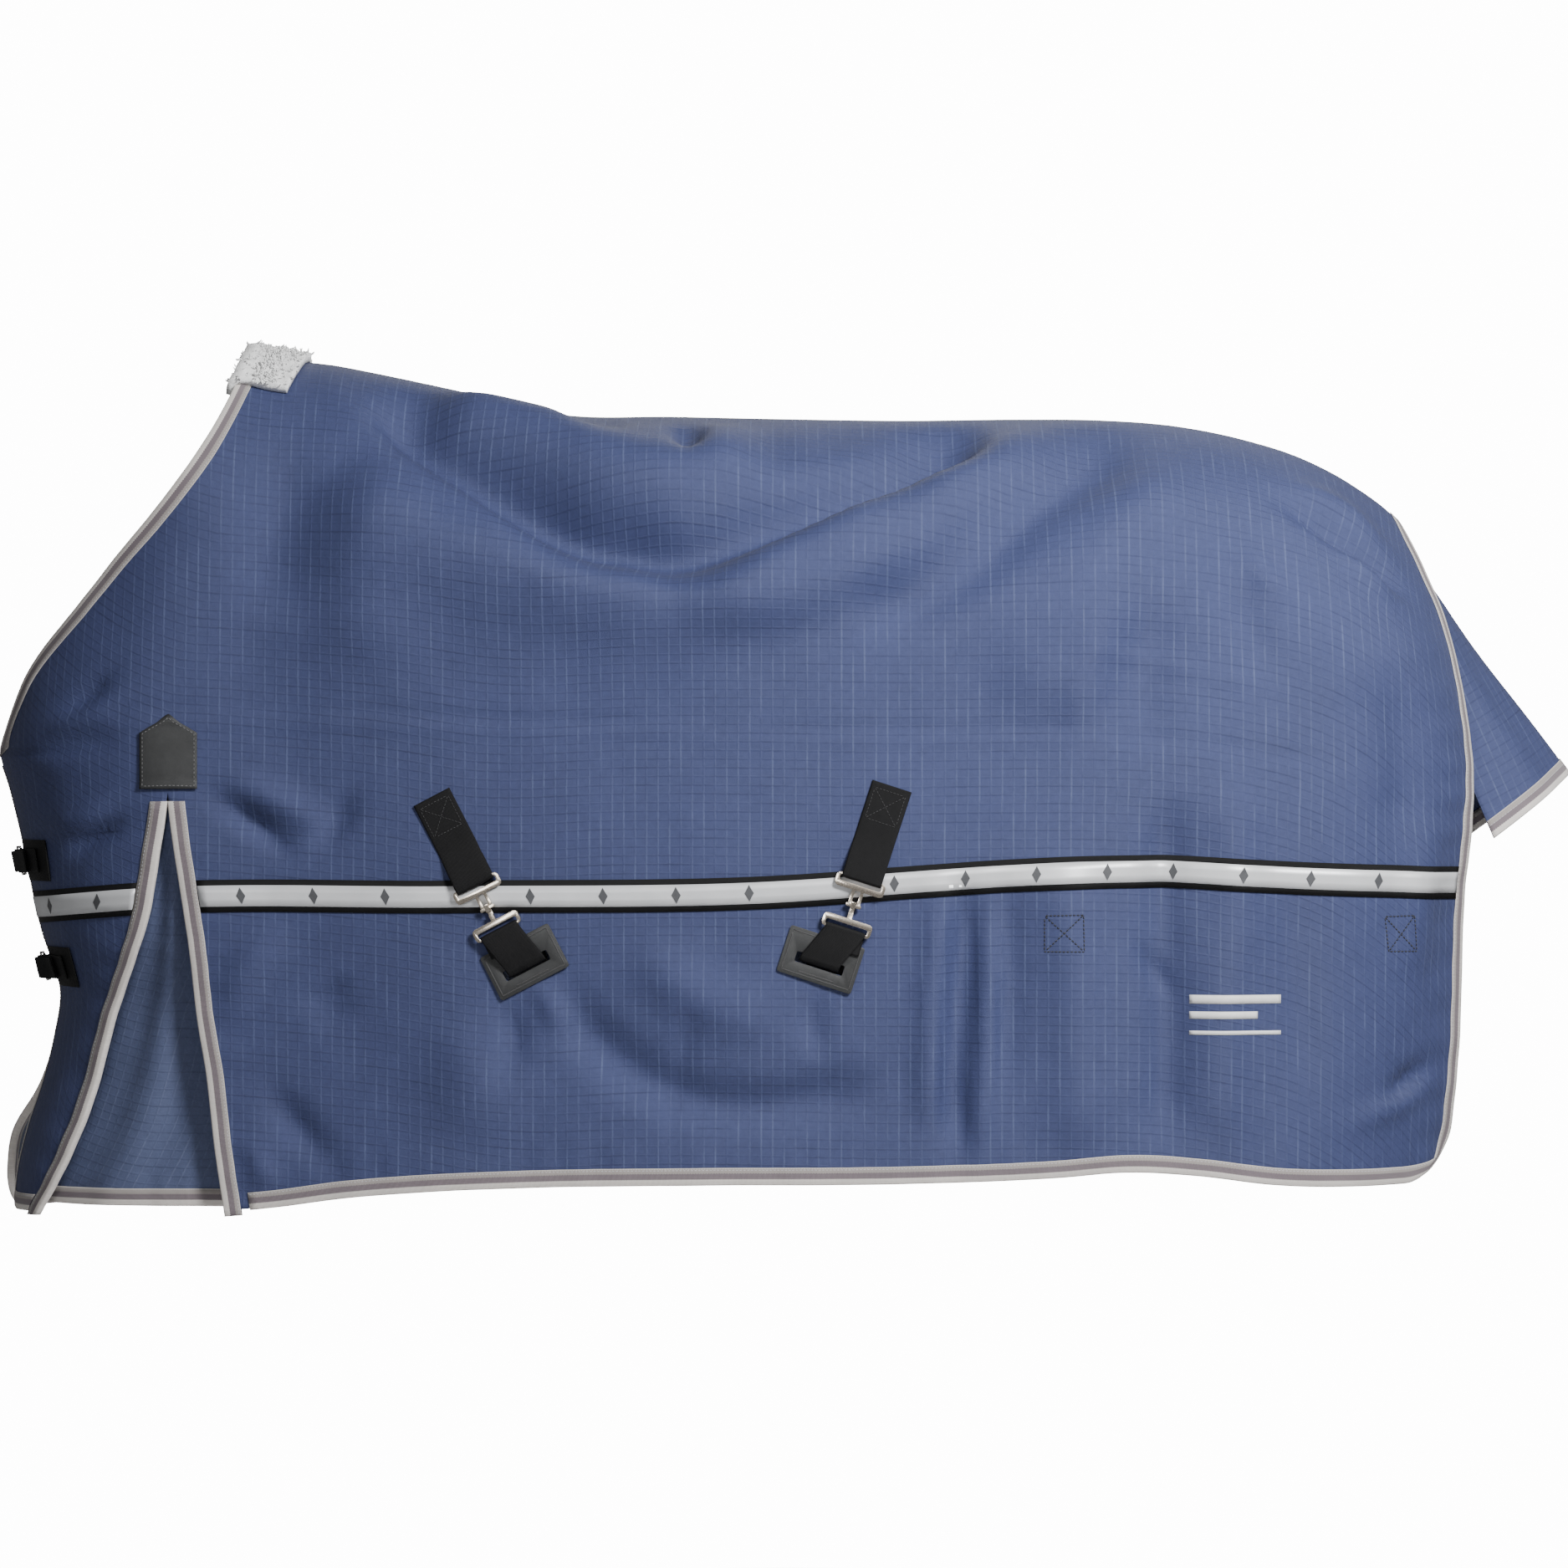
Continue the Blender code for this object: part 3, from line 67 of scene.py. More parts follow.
# ---------------------------------------------------------------- smooth pattern lines
def through(*points):
    """A smooth line through (place, value) pairs, straight beyond its ends."""
    ts = np.array([p[0] for p in points], float)
    vs = np.array([p[1] for p in points], float)
    if ts[0] > ts[-1]:
        ts = ts[::-1]
        vs = vs[::-1]
    step = np.diff(ts)
    rise = np.diff(vs) / step
    slope = np.empty(len(ts))
    slope[0] = rise[0]
    slope[-1] = rise[-1]
    slope[1:-1] = (rise[:-1] * step[1:] + rise[1:] * step[:-1]) / (step[1:] + step[:-1])

    def value(t):
        t = np.asarray(t, float)
        k = np.clip(np.searchsorted(ts, t, side="right") - 1, 0, len(ts) - 2)
        h = step[k]
        u = np.clip((t - ts[k]) / h, 0, 1)
        inside = (1 + 2 * u) * (1 - u) ** 2 * vs[k] + u * (1 - u) ** 2 * h * slope[k]
        inside = inside + u * u * (3 - 2 * u) * vs[k + 1] + u * u * (u - 1) * h * slope[k + 1]
        inside = inside + np.where(t < ts[0], slope[0] * (t - ts[0]), 0)
        return inside + np.where(t > ts[-1], slope[-1] * (t - ts[-1]), 0)

    return value


WITHERS_X = -0.668
DOCK_X = 0.773
SLIT_TOP = (-0.7587, -0.466)
SLIT_LINE_TOP_X = -0.600
CHEST_TOP_Z = -0.4216
CHEST_ROUND = 0.24
BACK_ROUND = 0.27
RUMP_ROUND = 0.24
RUMP_SPARE = 0.06

crest_z = through(
    (-1.00, 0.300), (-0.85, 0.200), (-0.75, 0.140), (WITHERS_X, 0.092), (-0.56, 0.073), (-0.42, 0.044),
    (-0.28, 0.012), (-0.14, 0.0095), (0.00, 0.0066), (0.15, 0.0045), (0.30, 0.006), (0.40, 0.005),
    (0.50, -0.003), (0.58, -0.019), (0.66, -0.045), (0.72, -0.077), (DOCK_X, -0.118), (0.80, -0.150),
    (0.83, -0.200), (0.86, -0.280), (0.90, -0.420))
chest_x = through(
    (0.10, -0.860), (-0.17, -0.930), (-0.36, -0.985), (-0.42, -0.992), (-0.455, -0.981), (-0.51, -0.967),
    (-0.64, -0.939), (-0.72, -0.915), (-0.77, -0.922), (-0.83, -0.937), (-0.89, -0.957), (-0.94, -0.969),
    (-1.00, -0.975))
chest_flare = through(
    (-0.70, 0.0), (-0.78, 0.0), (-0.844, 0.006), (-0.895, 0.019), (-0.94, 0.015), (-1.0, 0.006))
neck_x = through(
    (CHEST_TOP_Z, -0.9915), (-0.3025, -0.935), (-0.239, -0.881), (-0.178, -0.830), (-0.125, -0.783),
    (-0.066, -0.737), (0.010, -0.694), (0.060, -0.676), (0.092, WITHERS_X))
rear_x = through(
    (-0.118, DOCK_X), (-0.190, 0.804), (-0.245, 0.825), (-0.325, 0.8425), (-0.390, 0.850), (-0.440, 0.854),
    (-0.520, 0.852), (-0.580, 0.845), (-0.690, 0.840), (-0.760, 0.838), (-0.870, 0.828), (-0.950, 0.818))
hem_z = through(
    (-0.99, -0.990), (-0.80, -0.986), (-0.69, -0.982), (-0.634, -0.977), (-0.54, -0.964), (-0.45, -0.956),
    (-0.31, -0.949), (-0.10, -0.945), (0.145, -0.943), (0.33, -0.936), (0.42, -0.929), (0.51, -0.934),
    (0.60, -0.945), (0.70, -0.948), (0.84, -0.944))
slit_front_x = through(
    (SLIT_TOP[1], SLIT_TOP[0]), (-0.543, -0.773), (-0.630, -0.790), (-0.670, -0.8045),
    (-0.740, -0.832), (-0.800, -0.849), (-0.877, -0.874), (-0.945, -0.905), (-0.990, -0.932))
slit_rear_x = through(
    (SLIT_TOP[1], SLIT_TOP[0]), (-0.521, -0.7525), (-0.584, -0.743), (-0.650, -0.733),
    (-0.753, -0.721), (-0.807, -0.712), (-0.910, -0.700), (-0.990, -0.688))
slit_line_x = through((SLIT_TOP[1], SLIT_TOP[0]), (-0.30, -0.722), (-0.10, -0.665),
                      (0.08, SLIT_LINE_TOP_X))
band_z = through(
    (-0.96, -0.612), (-0.80, -0.598), (-0.40, -0.594), (0.00, -0.587), (0.18, -0.574), (0.27, -0.568),
    (0.47, -0.563), (0.63, -0.571), (0.84, -0.578))
body_half = through(
    (-1.00, 0.185), (-0.80, 0.200), (-0.65, 0.206), (-0.40, 0.245), (-0.10, 0.272), (0.20, 0.275),
    (0.50, 0.270), (0.70, 0.255), (0.90, 0.225))


def ease(v):
    v = np.clip(v, 0, 1)
    return v * v * (3 - 2 * v)


def quarter(v):
    return np.sqrt(np.maximum(0, 1 - (1 - np.clip(v, 0, 1)) ** 2))


def flare_at(z, side):
    return np.where((side > 0) & (np.asarray(z) < -0.78), chest_flare(z), 0.0)


def half_width(x, z, flare=0.0):
    """Distance of the rug's outside from the horse's middle plane."""
    front = quarter((x - chest_x(z) + flare) / CHEST_ROUND)
    top = quarter((crest_z(x) - z) / BACK_ROUND)
    rump = quarter((rear_x(z) + RUMP_SPARE - x) / RUMP_ROUND)
    lean = 1.0 - 0.06 * ease((-0.45 - np.asarray(z)) / 0.5)
    return body_half(x) * lean * front * top * rump


def skin(x, z, side):
    """Points of the smooth body shape; x, z are arrays."""
    x, z = np.broadcast_arrays(np.asarray(x, float), np.asarray(z, float))
    return np.stack([x, side * half_width(x, z, flare_at(z, side)), z], -1)


def unit(v):
    return v / np.maximum(1e-12, np.linalg.norm(v, axis=-1, keepdims=True))


# ---------------------------------------------------------------- folds of the cloth
# Each fold: its line of (x, z), depth in metres (a valley below zero), reach above and below
FOLDS = [
    # the deep swag from the withers down and up again to the loins
    (((-0.53, 0.03), (-0.40, -0.06), (-0.27, -0.150), (-0.19, -0.172), (-0.11, -0.178), (0.02, -0.125),
      (0.13, -0.076), (0.27, -0.012)), -0.0210, 0.038, 0.022),
    (((-0.11, -0.197), (0.02, -0.147), (0.13, -0.100), (0.26, -0.037)), 0.0066, 0.009, 0.045),
    (((-0.42, -0.085), (-0.27, -0.180), (-0.19, -0.203), (-0.12, -0.207)), 0.0055, 0.010, 0.050),
    (((-0.46, 0.055), (-0.34, 0.0), (-0.24, -0.052), (-0.13, -0.075), (0.0, -0.040)), 0.0170, 0.045, 0.042),
    (((-0.56, -0.06), (-0.42, -0.150), (-0.27, -0.215), (-0.11, -0.228), (0.04, -0.165), (0.16, -0.10)),
     0.0080, 0.034, 0.070),
    (((-0.125, -0.010), (-0.120, -0.036), (-0.10, -0.060)), -0.0100, 0.016, 0.018),
    (((-0.30, 0.010), (-0.235, -0.010), (-0.18, -0.030)), -0.0060, 0.016, 0.020),
    (((0.18, -0.030), (0.07, -0.068), (-0.07, -0.110)), 0.0060, 0.022, 0.018),
    # soft swags across the loins
    (((0.46, -0.025), (0.33, -0.095), (0.20, -0.21), (0.07, -0.27)), -0.0110, 0.045, 0.034),
    (((0.36, -0.020), (0.26, -0.070), (0.14, -0.165), (0.0, -0.225), (-0.14, -0.245)), 0.0080, 0.038, 0.034),
    (((0.52, -0.06), (0.42, -0.15), (0.33, -0.28), (0.30, -0.40)), 0.0070, 0.050, 0.050),
    (((0.47, -0.20), (0.44, -0.32), (0.45, -0.44)), -0.0060, 0.030, 0.035),
    (((0.40, -0.21), (0.37, -0.32), (0.36, -0.42)), 0.0045, 0.022, 0.026),
    # the neck and shoulder
    (((-0.60, -0.02), (-0.62, -0.14), (-0.66, -0.26)), -0.0065, 0.040, 0.060),
    (((-0.50, -0.05), (-0.52, -0.20), (-0.50, -0.34)), 0.0055, 0.070, 0.070),
    (((-0.90, -0.375), (-0.86, -0.345), (-0.82, -0.315)), -0.0050, 0.010, 0.009),
    (((-0.93, -0.392), (-0.87, -0.372), (-0.80, -0.352)), 0.0038, 0.010, 0.010),
    (((-0.95, -0.420), (-0.88, -0.405), (-0.80, -0.400)), -0.0042, 0.010, 0.010),
    (((-0.80, -0.500), (-0.85, -0.520), (-0.90, -0.548)), -0.0062, 0.013, 0.010),
    (((-0.82, -0.475), (-0.87, -0.500), (-0.93, -0.515)), 0.0048, 0.013, 0.012),
    (((-0.715, -0.470), (-0.66, -0.500), (-0.60, -0.545)), -0.0070, 0.013, 0.012),
    (((-0.70, -0.445), (-0.62, -0.480), (-0.55, -0.520)), 0.0045, 0.016, 0.014),
    (((-0.52, -0.460), (-0.555, -0.505), (-0.575, -0.545)), -0.0055, 0.011, 0.014),
    (((-0.60, -0.625), (-0.66, -0.680), (-0.69, -0.760)), 0.0050, 0.022, 0.020),
    (((-0.53, -0.690), (-0.57, -0.720), (-0.60, -0.730)), -0.0042, 0.009, 0.009),
    (((-0.52, -0.720), (-0.56, -0.745), (-0.58, -0.765)), -0.0034, 0.009, 0.008),
    (((-0.64, -0.820), (-0.60, -0.880), (-0.55, -0.930)), -0.0055, 0.018, 0.018),
    (((-0.66, -0.890), (-0.645, -0.930), (-0.64, -0.965)), 0.0045, 0.014, 0.014),
    # the lower flank
    (((-0.28, -0.700), (-0.22, -0.780), (-0.12, -0.840), (0.0, -0.850), (0.13, -0.815)), -0.0080, 0.030, 0.026),
    (((-0.20, -0.640), (-0.10, -0.720), (0.02, -0.745)), 0.0060, 0.034, 0.034),
    (((-0.42, -0.720), (-0.38, -0.820), (-0.40, -0.910)), 0.0060, 0.045, 0.045),
    (((-0.11, -0.700), (-0.13, -0.820), (-0.125, -0.94)), -0.0026, 0.006, 0.010),
    (((0.222, -0.560), (0.218, -0.680), (0.208, -0.800), (0.216, -0.935)), -0.0085, 0.013, 0.015),
    (((0.252, -0.600), (0.250, -0.720), (0.242, -0.850), (0.240, -0.935)), 0.0062, 0.010, 0.010),
    (((0.190, -0.560), (0.182, -0.700), (0.176, -0.900)), 0.0060, 0.016, 0.014),
    (((0.272, -0.560), (0.275, -0.700), (0.268, -0.850)), -0.0040, 0.012, 0.016),
    (((0.345, -0.520), (0.350, -0.650), (0.360, -0.800), (0.355, -0.930)), 0.0070, 0.036, 0.036),
    (((0.470, -0.450), (0.462, -0.600), (0.468, -0.760), (0.462, -0.925)), -0.0080, 0.024, 0.024),
    (((0.425, -0.640), (0.455, -0.690), (0.475, -0.722)), -0.0052, 0.008, 0.010),
    (((0.545, -0.420), (0.550, -0.600), (0.535, -0.800), (0.540, -0.930)), 0.0055, 0.030, 0.030),
    (((0.610, -0.560), (0.625, -0.700), (0.640, -0.840)), -0.0035, 0.020, 0.022),
    (((0.735, -0.855), (0.770, -0.820), (0.805, -0.795)), -0.0060, 0.012, 0.010),
    (((0.690, -0.880), (0.740, -0.855), (0.80, -0.830)), 0.0040, 0.012, 0.012),
    (((0.800, -0.480), (0.780, -0.600), (0.770, -0.720)), 0.0045, 0.022, 0.022),
    (((0.740, -0.300), (0.760, -0.420), (0.745, -0.560)), -0.0040, 0.026, 0.026),
    # pulls under the fastenings
    (((-0.31, -0.690), (-0.28, -0.735), (-0.27, -0.780)), 0.0045, 0.014, 0.014),
    (((-0.345, -0.715), (-0.33, -0.770), (-0.35, -0.830)), -0.0045, 0.013, 0.013),
    (((0.045, -0.700), (0.035, -0.750), (0.05, -0.800)), -0.0040, 0.013, 0.013),
    # the rump and the dock
    (((0.60, -0.105), (0.68, -0.148), (0.785, -0.232)), -0.0110, 0.012, 0.009),
    (((0.555, -0.160), (0.585, -0.200), (0.62, -0.235)), 0.0050, 0.014, 0.013),
    (((0.60, -0.078), (0.69, -0.118), (0.76, -0.178)), 0.0060, 0.014, 0.012),
    (((0.545, -0.185), (0.565, -0.260), (0.60, -0.335)), -0.0050, 0.022, 0.022),
    (((0.680, -0.160), (0.715, -0.200), (0.765, -0.240)), 0.0060, 0.012, 0.012),
    # straight creases from the packing
    (((-0.88, -0.366), (-0.60, -0.372), (-0.30, -0.378), (0.05, -0.390), (0.40, -0.392)), -0.0013, 0.003, 0.004),
    (((-0.86, -0.374), (-0.60, -0.380), (-0.30, -0.386), (0.05, -0.398), (0.40, -0.400)), 0.0010, 0.003, 0.004),
    (((0.34, -0.284), (0.50, -0.318), (0.64, -0.346)), 0.0016, 0.004, 0.005),
    (((0.35, -0.388), (0.55, -0.412), (0.70, -0.432)), -0.0015, 0.004, 0.005),
    (((0.345, -0.268), (0.348, -0.420), (0.342, -0.560)), 0.0010, 0.004, 0.004),
    (((-0.125, -0.740), (-0.124, -0.850), (-0.124, -0.945)), 0.0013, 0.004, 0.004),
]
# How deep the folds of FOLDS are drawn on each side
NEAR_FOLD_GAIN = 2.15
FAR_FOLD_GAIN = 1.4
# Where a fitting holds the cloth flat: x, z, reach
HELD_FLAT = [(-0.352, -0.625, 0.085), (0.075, -0.625, 0.085), (SLIT_TOP[0], -0.43, 0.050)]


def line_fold(x, z, line, depth, above, below):
    """Height of one fold at points; it fades out at both ends of its line."""
    line = np.array(line, float)
    fine = []
    for k in range(len(line) - 1):
        before = line[max(0, k - 1)]
        after = line[min(len(line) - 1, k + 2)]
        for t in np.linspace(0, 1, 6, endpoint=False):
            a = 2 * line[k] + (line[k + 1] - before) * t
            a = a + (2 * before - 5 * line[k] + 4 * line[k + 1] - after) * t * t
            a = a + (3 * line[k] - before - 3 * line[k + 1] + after) * t ** 3
            fine.append(a / 2)
    fine.append(line[-1])
    fine = np.array(fine)
    span = fine[1:] - fine[:-1]
    size = np.linalg.norm(span, axis=1)
    start = np.concatenate([[0], np.cumsum(size)])
    best = np.full(x.shape, 1e9)
    side = np.zeros(x.shape)
    along = np.zeros(x.shape)
    for k in range(len(span)):
        way = span[k] / size[k]
        dx = x - fine[k][0]
        dz = z - fine[k][1]
        t = np.clip(dx * way[0] + dz * way[1], 0, size[k])
        ox = dx - t * way[0]
        oz = dz - t * way[1]
        dist = np.hypot(ox, oz)
        nearer = dist < best
        best = np.where(nearer, dist, best)
        up = way[0] * oz - way[1] * ox
        if way[0] < 0:
            up = -up
        side = np.where(nearer, up, side)
        along = np.where(nearer, start[k] + t, along)
    reach = np.where(side > 0, above, below)
    total = start[-1]
    end = min(0.45 * total, 0.09)
    fade = ease(along / end) * ease((total - along) / end) * 0.92 + 0.08
    return depth * fade * np.exp(-(best / reach) ** 2 * 0.9)


def rolling(x, z, seed, size):
    """Slow uneven waves, from a few sines that don't repeat."""
    total = np.zeros(x.shape)
    for k in range(5):
        a = seed * 1.7 + k * 2.399
        f = (1.0 + 0.37 * k) / size
        total += np.sin((x * math.cos(a) + z * math.sin(a)) * f * 6.283 + a * 3.1) / (1 + 0.5 * k)
    return total / 2.6


def fold_height(x, z, side):
    """How far the cloth stands off the smooth shape."""
    x = np.asarray(x, float)
    z = np.asarray(z, float)
    far = side > 0
    px = x + 0.030 * np.sin(z * 9 + 1.3) + 0.02 if far else x
    pz = z + 0.018 * np.sin(x * 7 + 0.4) if far else z
    total = np.zeros(x.shape)
    gain = FAR_FOLD_GAIN if far else NEAR_FOLD_GAIN
    for line, depth, above, below in FOLDS:
        total += line_fold(px, pz, line, depth * gain, above, below)
    total += 0.0016 * rolling(x, z, 2.0 + side, 0.34) + 0.0007 * rolling(x, z, 5.0 + side, 0.11)
    # small puckers that the bindings and the seams draw into the cloth
    to_hem = z - hem_z(x)
    gather = np.exp(-((to_hem - 0.030) / 0.028) ** 2)
    uneven = 0.55 + 0.45 * np.sin(x * 23 + 1.0)
    total += 0.0013 * gather * np.sin(x * 150 + 2.2 * np.sin(x * 17)) * uneven
    to_slit = np.minimum(np.abs(x - slit_rear_x(z)), np.abs(x - slit_front_x(z)))
    gather = np.exp(-((to_slit - 0.026) / 0.020) ** 2) * (z < SLIT_TOP[1] + 0.02)
    total += 0.0010 * gather * np.sin(z * 140 + 1.9 * np.sin(z * 19))
    to_rear = rear_x(z) - x
    gather = np.exp(-((to_rear - 0.028) / 0.022) ** 2)
    total += 0.0009 * gather * np.sin(z * 130 + 2.0 * np.sin(z * 13))
    calm = np.ones(x.shape)
    if not far:
        for hx, hz, reach in HELD_FLAT:
            calm *= 1 - 0.88 * np.exp(-(((x - hx) ** 2 + (z - hz) ** 2) / reach ** 2) ** 2)
    # the folds die out towards the back's ridge and the chest's edge, which keep their line
    ridge = ease((crest_z(x) - z) / 0.035)
    chest = ease((x - chest_x(z)) / 0.05)
    return total * calm * ridge * chest


def cloth(x, z, side, lift=0.0):
    """Point and outward direction of the folded cloth at (x, z)."""
    x = np.asarray(x, float)
    z = np.asarray(z, float)

    def bare(a, b):
        return skin(a, b, side)

    def way(at, d):
        east = at(x + d, z) - at(x - d, z)
        up = at(x, z + d) - at(x, z - d)
        n = unit(np.cross(east, up))
        return n * np.where(n[..., 1:2] * side > 0, 1, -1)

    n0 = way(bare, 0.002)

    def folded(a, b):
        return skin(a, b, side) + n0 * fold_height(a, b, side)[..., None]

    n = way(folded, 0.003)
    return folded(x, z) + n * np.asarray(lift)[..., None], n


# ---------------------------------------------------------------- the sewing net, fine
UPPER_ROWS = (0.0, 0.034, 0.134, 0.293, 0.5, 0.741, None, 1.0)
CORNER = 0.062
FRONT_CORNER = 0.045
CHEST_EDGE_Y = 0.004
SLIT_BINDING_RISE = 0.065
ROW_SPLIT = (3, 5, 8, 10, 11, 9, 4, 4, 8, 5, 11, 10, 9, 3, 3, 3)
FRONT_SPLIT = (3, 7, 6, 5, 4, 3)
BACK_COLUMNS = 10
BACK_SPLIT = (3,) + (12,) * (BACK_COLUMNS + 1) + (3, 3, 3)


def coarse_rows():
    corner_t = (crest_z(WITHERS_X) - CHEST_TOP_Z) / (crest_z(WITHERS_X) - SLIT_TOP[1])
    rows = [("upper", corner_t if t is None else t) for t in UPPER_ROWS]
    rows += [("band", BAND_WIDTH / 2 + SLIT_BINDING_RISE), ("band", BAND_WIDTH / 2),
             ("band", -BAND_WIDTH / 2)]
    rows += [("lower", 0.36), ("lower", 0.70)]
    rows += [("hem", CORNER), ("hem", 0.041), ("hem", BINDING_WIDTH), ("hem", 0.0)]
    return rows


def row_height(kind, t, x):
    if kind == "upper":
        top = crest_z(np.clip(x, WITHERS_X, DOCK_X))
        return top + (SLIT_TOP[1] - top) * t
    if kind == "band":
        return band_z(x) + t
    low_band = band_z(x) - BAND_WIDTH / 2
    if kind == "lower":
        return low_band + (hem_z(x) + CORNER - low_band) * t
    return hem_z(x) + t


COARSE = coarse_rows()
ROWS = []
AT_ROW = []                      # fine row of each coarse row
for k, split in enumerate(ROW_SPLIT):
    AT_ROW.append(len(ROWS))
    for q in range(split):
        ROWS.append((COARSE[k], COARSE[k + 1], q / split))
AT_ROW.append(len(ROWS))
ROWS.append((COARSE[-1], COARSE[-1], 0.0))
CORNER_ROW = AT_ROW[6]
SLIT_ROW = AT_ROW[7]
BAND_ROW = AT_ROW[9]
BAND_END = AT_ROW[10]
HEM_ROW = AT_ROW[16]


def split_stops(stops, split):
    fine = []
    for k, count in enumerate(split):
        fine += [stops[k] + (stops[k + 1] - stops[k]) * q / count for q in range(count)]
    return fine + [stops[-1]]


def solve(value, aim, lo, hi, rounds=46):
    for _ in range(rounds):
        mid = (lo + hi) / 2
        if value(mid) < aim:
            lo = mid
        else:
            hi = mid
    return hi


def draw_in(a, b):
    """A unit square's corner drawn in to a quarter circle."""
    return a * math.sqrt(max(0, 1 - b * b / 2)), b * math.sqrt(max(0, 1 - a * a / 2))


def round_corner(x, z):
    """The rear lower corner, as a rounded cut."""
    xr = rear_x(z)
    zh = hem_z(x)
    sx = CORNER * 0.86
    a = 1 - (xr - x) / sx
    b = 1 - (z - zh) / CORNER
    if a > 0 and b > 0:
        a2, b2 = draw_in(a, b)
        return xr - sx * (1 - a2), zh + CORNER * (1 - b2)
    return x, z


def round_front(x, z, side):
    """The front lower corner, rounded along the chest's curve."""
    y = float(half_width(x, z, flare_at(z, side)))
    zh = float(hem_z(x))
    a = 1 - (y - CHEST_EDGE_Y) / FRONT_CORNER
    b = 1 - (z - zh) / FRONT_CORNER
    if a > 0 and b > 0:
        a2, b2 = draw_in(a, b)
        y2 = CHEST_EDGE_Y + FRONT_CORNER * (1 - a2)
        z2 = zh + FRONT_CORNER * (1 - b2)
        flare = flare_at(z2, side)
        return solve(lambda v: float(half_width(v, z2, flare)), y2, -1.02, -0.76), z2
    return x, z


def net_side(side):
    """(x, z) of one side's front and back panels, and each point's place along its row."""
    front = []
    back = []
    for j, (a, b, f) in enumerate(ROWS):

        def height(x):
            low = row_height(a[0], a[1], x)
            return low if f == 0 else low + (row_height(b[0], b[1], x) - low) * f

        z_left = float(height(WITHERS_X - 0.1))
        if j < CORNER_ROW and z_left > CHEST_TOP_Z + 1e-6:
            x_left = float(neck_x(z_left))
            for _ in range(3):
                x_left = float(neck_x(height(x_left)))
        else:
            x_left = solve(
                lambda v: float(half_width(v, height(v), flare_at(height(v), side))), CHEST_EDGE_Y,
                -1.02, -0.76)
        x_right = DOCK_X
        for _ in range(30):
            x_right = float(rear_x(height(x_right)))
        cut_a = cut_b = SLIT_LINE_TOP_X if j <= SLIT_ROW else -0.8
        for _ in range(40):
            if j <= SLIT_ROW:
                cut_a = cut_b = float(slit_line_x(height(cut_a)))
            else:
                cut_a = float(slit_front_x(height(cut_a)))
                cut_b = float(slit_rear_x(height(cut_b)))

        def march(x0, x1, bunch):
            xs = x0 + (x1 - x0) * np.linspace(0, 1, 600) ** bunch
            p = skin(xs, height(xs), side)
            run = np.concatenate([[0], np.cumsum(np.linalg.norm(p[1:] - p[:-1], axis=1))])
            return xs, run

        lean = 1.0
        if j == 0:
            lean = 0.92
        elif j < CORNER_ROW:
            d = 0.004
            along = skin(neck_x(z_left + d), z_left + d, side)
            along = along - skin(neck_x(z_left - d), z_left - d, side)
            across = skin(x_left + d, z_left, side) - skin(x_left, z_left, side)
            lean = max(0.35, float(np.linalg.norm(np.cross(unit(along), unit(across)))))
        xs, run = march(x_left, cut_a, 2.0)
        total = run[-1]
        first = min(BINDING_WIDTH / lean, total * 0.30)
        last = total - min(BINDING_WIDTH, total * 0.28)
        stops = [first + (last - first) * q for q in (0.36, 0.66, 0.86)]
        stops = [0.0, first] + stops + [last, total]
        row = np.interp(split_stops(stops, FRONT_SPLIT), run, xs)
        front.append(np.stack([row, height(row)], 1))
        xs, run = march(x_right, cut_b, 1.4)
        total = run[-1]
        inside = total - BINDING_WIDTH
        stops = [total, inside]
        stops += [inside + (CORNER - inside) * (q + 1) / (BACK_COLUMNS + 1)
                  for q in range(BACK_COLUMNS)]
        stops += [CORNER, 0.041, BINDING_WIDTH, 0.0]
        row = np.interp(split_stops(stops, BACK_SPLIT), run, xs)
        back.append(np.stack([row, height(row)], 1))
    front = np.array(front)
    back = np.array(back)
    for j in range(AT_ROW[13], HEM_ROW + 1):
        for i in range(back.shape[1] - 10, back.shape[1]):
            back[j, i] = round_corner(float(back[j, i, 0]), float(back[j, i, 1]))
        for i in range(0, 18):
            front[j, i] = round_front(float(front[j, i, 0]), float(front[j, i, 1]), side)
    return front, back


def build_net():
    points = []
    place = []
    quads = []
    sides = []
    index = {}
    for side, _ in SIDES:
        front, back = net_side(side)
        fi = np.zeros(front.shape[:2], int)
        bi = np.zeros(back.shape[:2], int)
        for grid, ids, part in ((front, fi, 0), (back, bi, 1)):
            p = skin(grid[..., 0], grid[..., 1], side)
            p[0, :, 1] = 0.0
            for j in range(grid.shape[0]):
                for i in range(grid.shape[1]):
                    if j == 0 and side > 0:
                        ids[j, i] = index[-1][part][j, i]
                    elif part == 1 and i == 0 and j <= SLIT_ROW:
                        ids[j, i] = fi[j, -1]
                    else:
                        ids[j, i] = len(points)
                        points.append(p[j, i])
                        place.append(grid[j, i])
                        sides.append(side)
        index[side] = (fi, bi)
        for ids in (fi, bi):
            q = np.stack([ids[:-1, :-1], ids[1:, :-1], ids[1:, 1:], ids[:-1, 1:]],
                         -1).reshape(-1, 4)
            quads.append(q if side < 0 else q[:, ::-1])
    return np.array(points), np.array(place), np.array(sides), np.concatenate(quads), index


def quad_normals(points, quads):
    a = points[quads[:, 2]] - points[quads[:, 0]]
    b = points[quads[:, 3]] - points[quads[:, 1]]
    area = np.cross(a, b)
    total = np.zeros(points.shape)
    for k in range(4):
        np.add.at(total, quads[:, k], area)
    return unit(total)


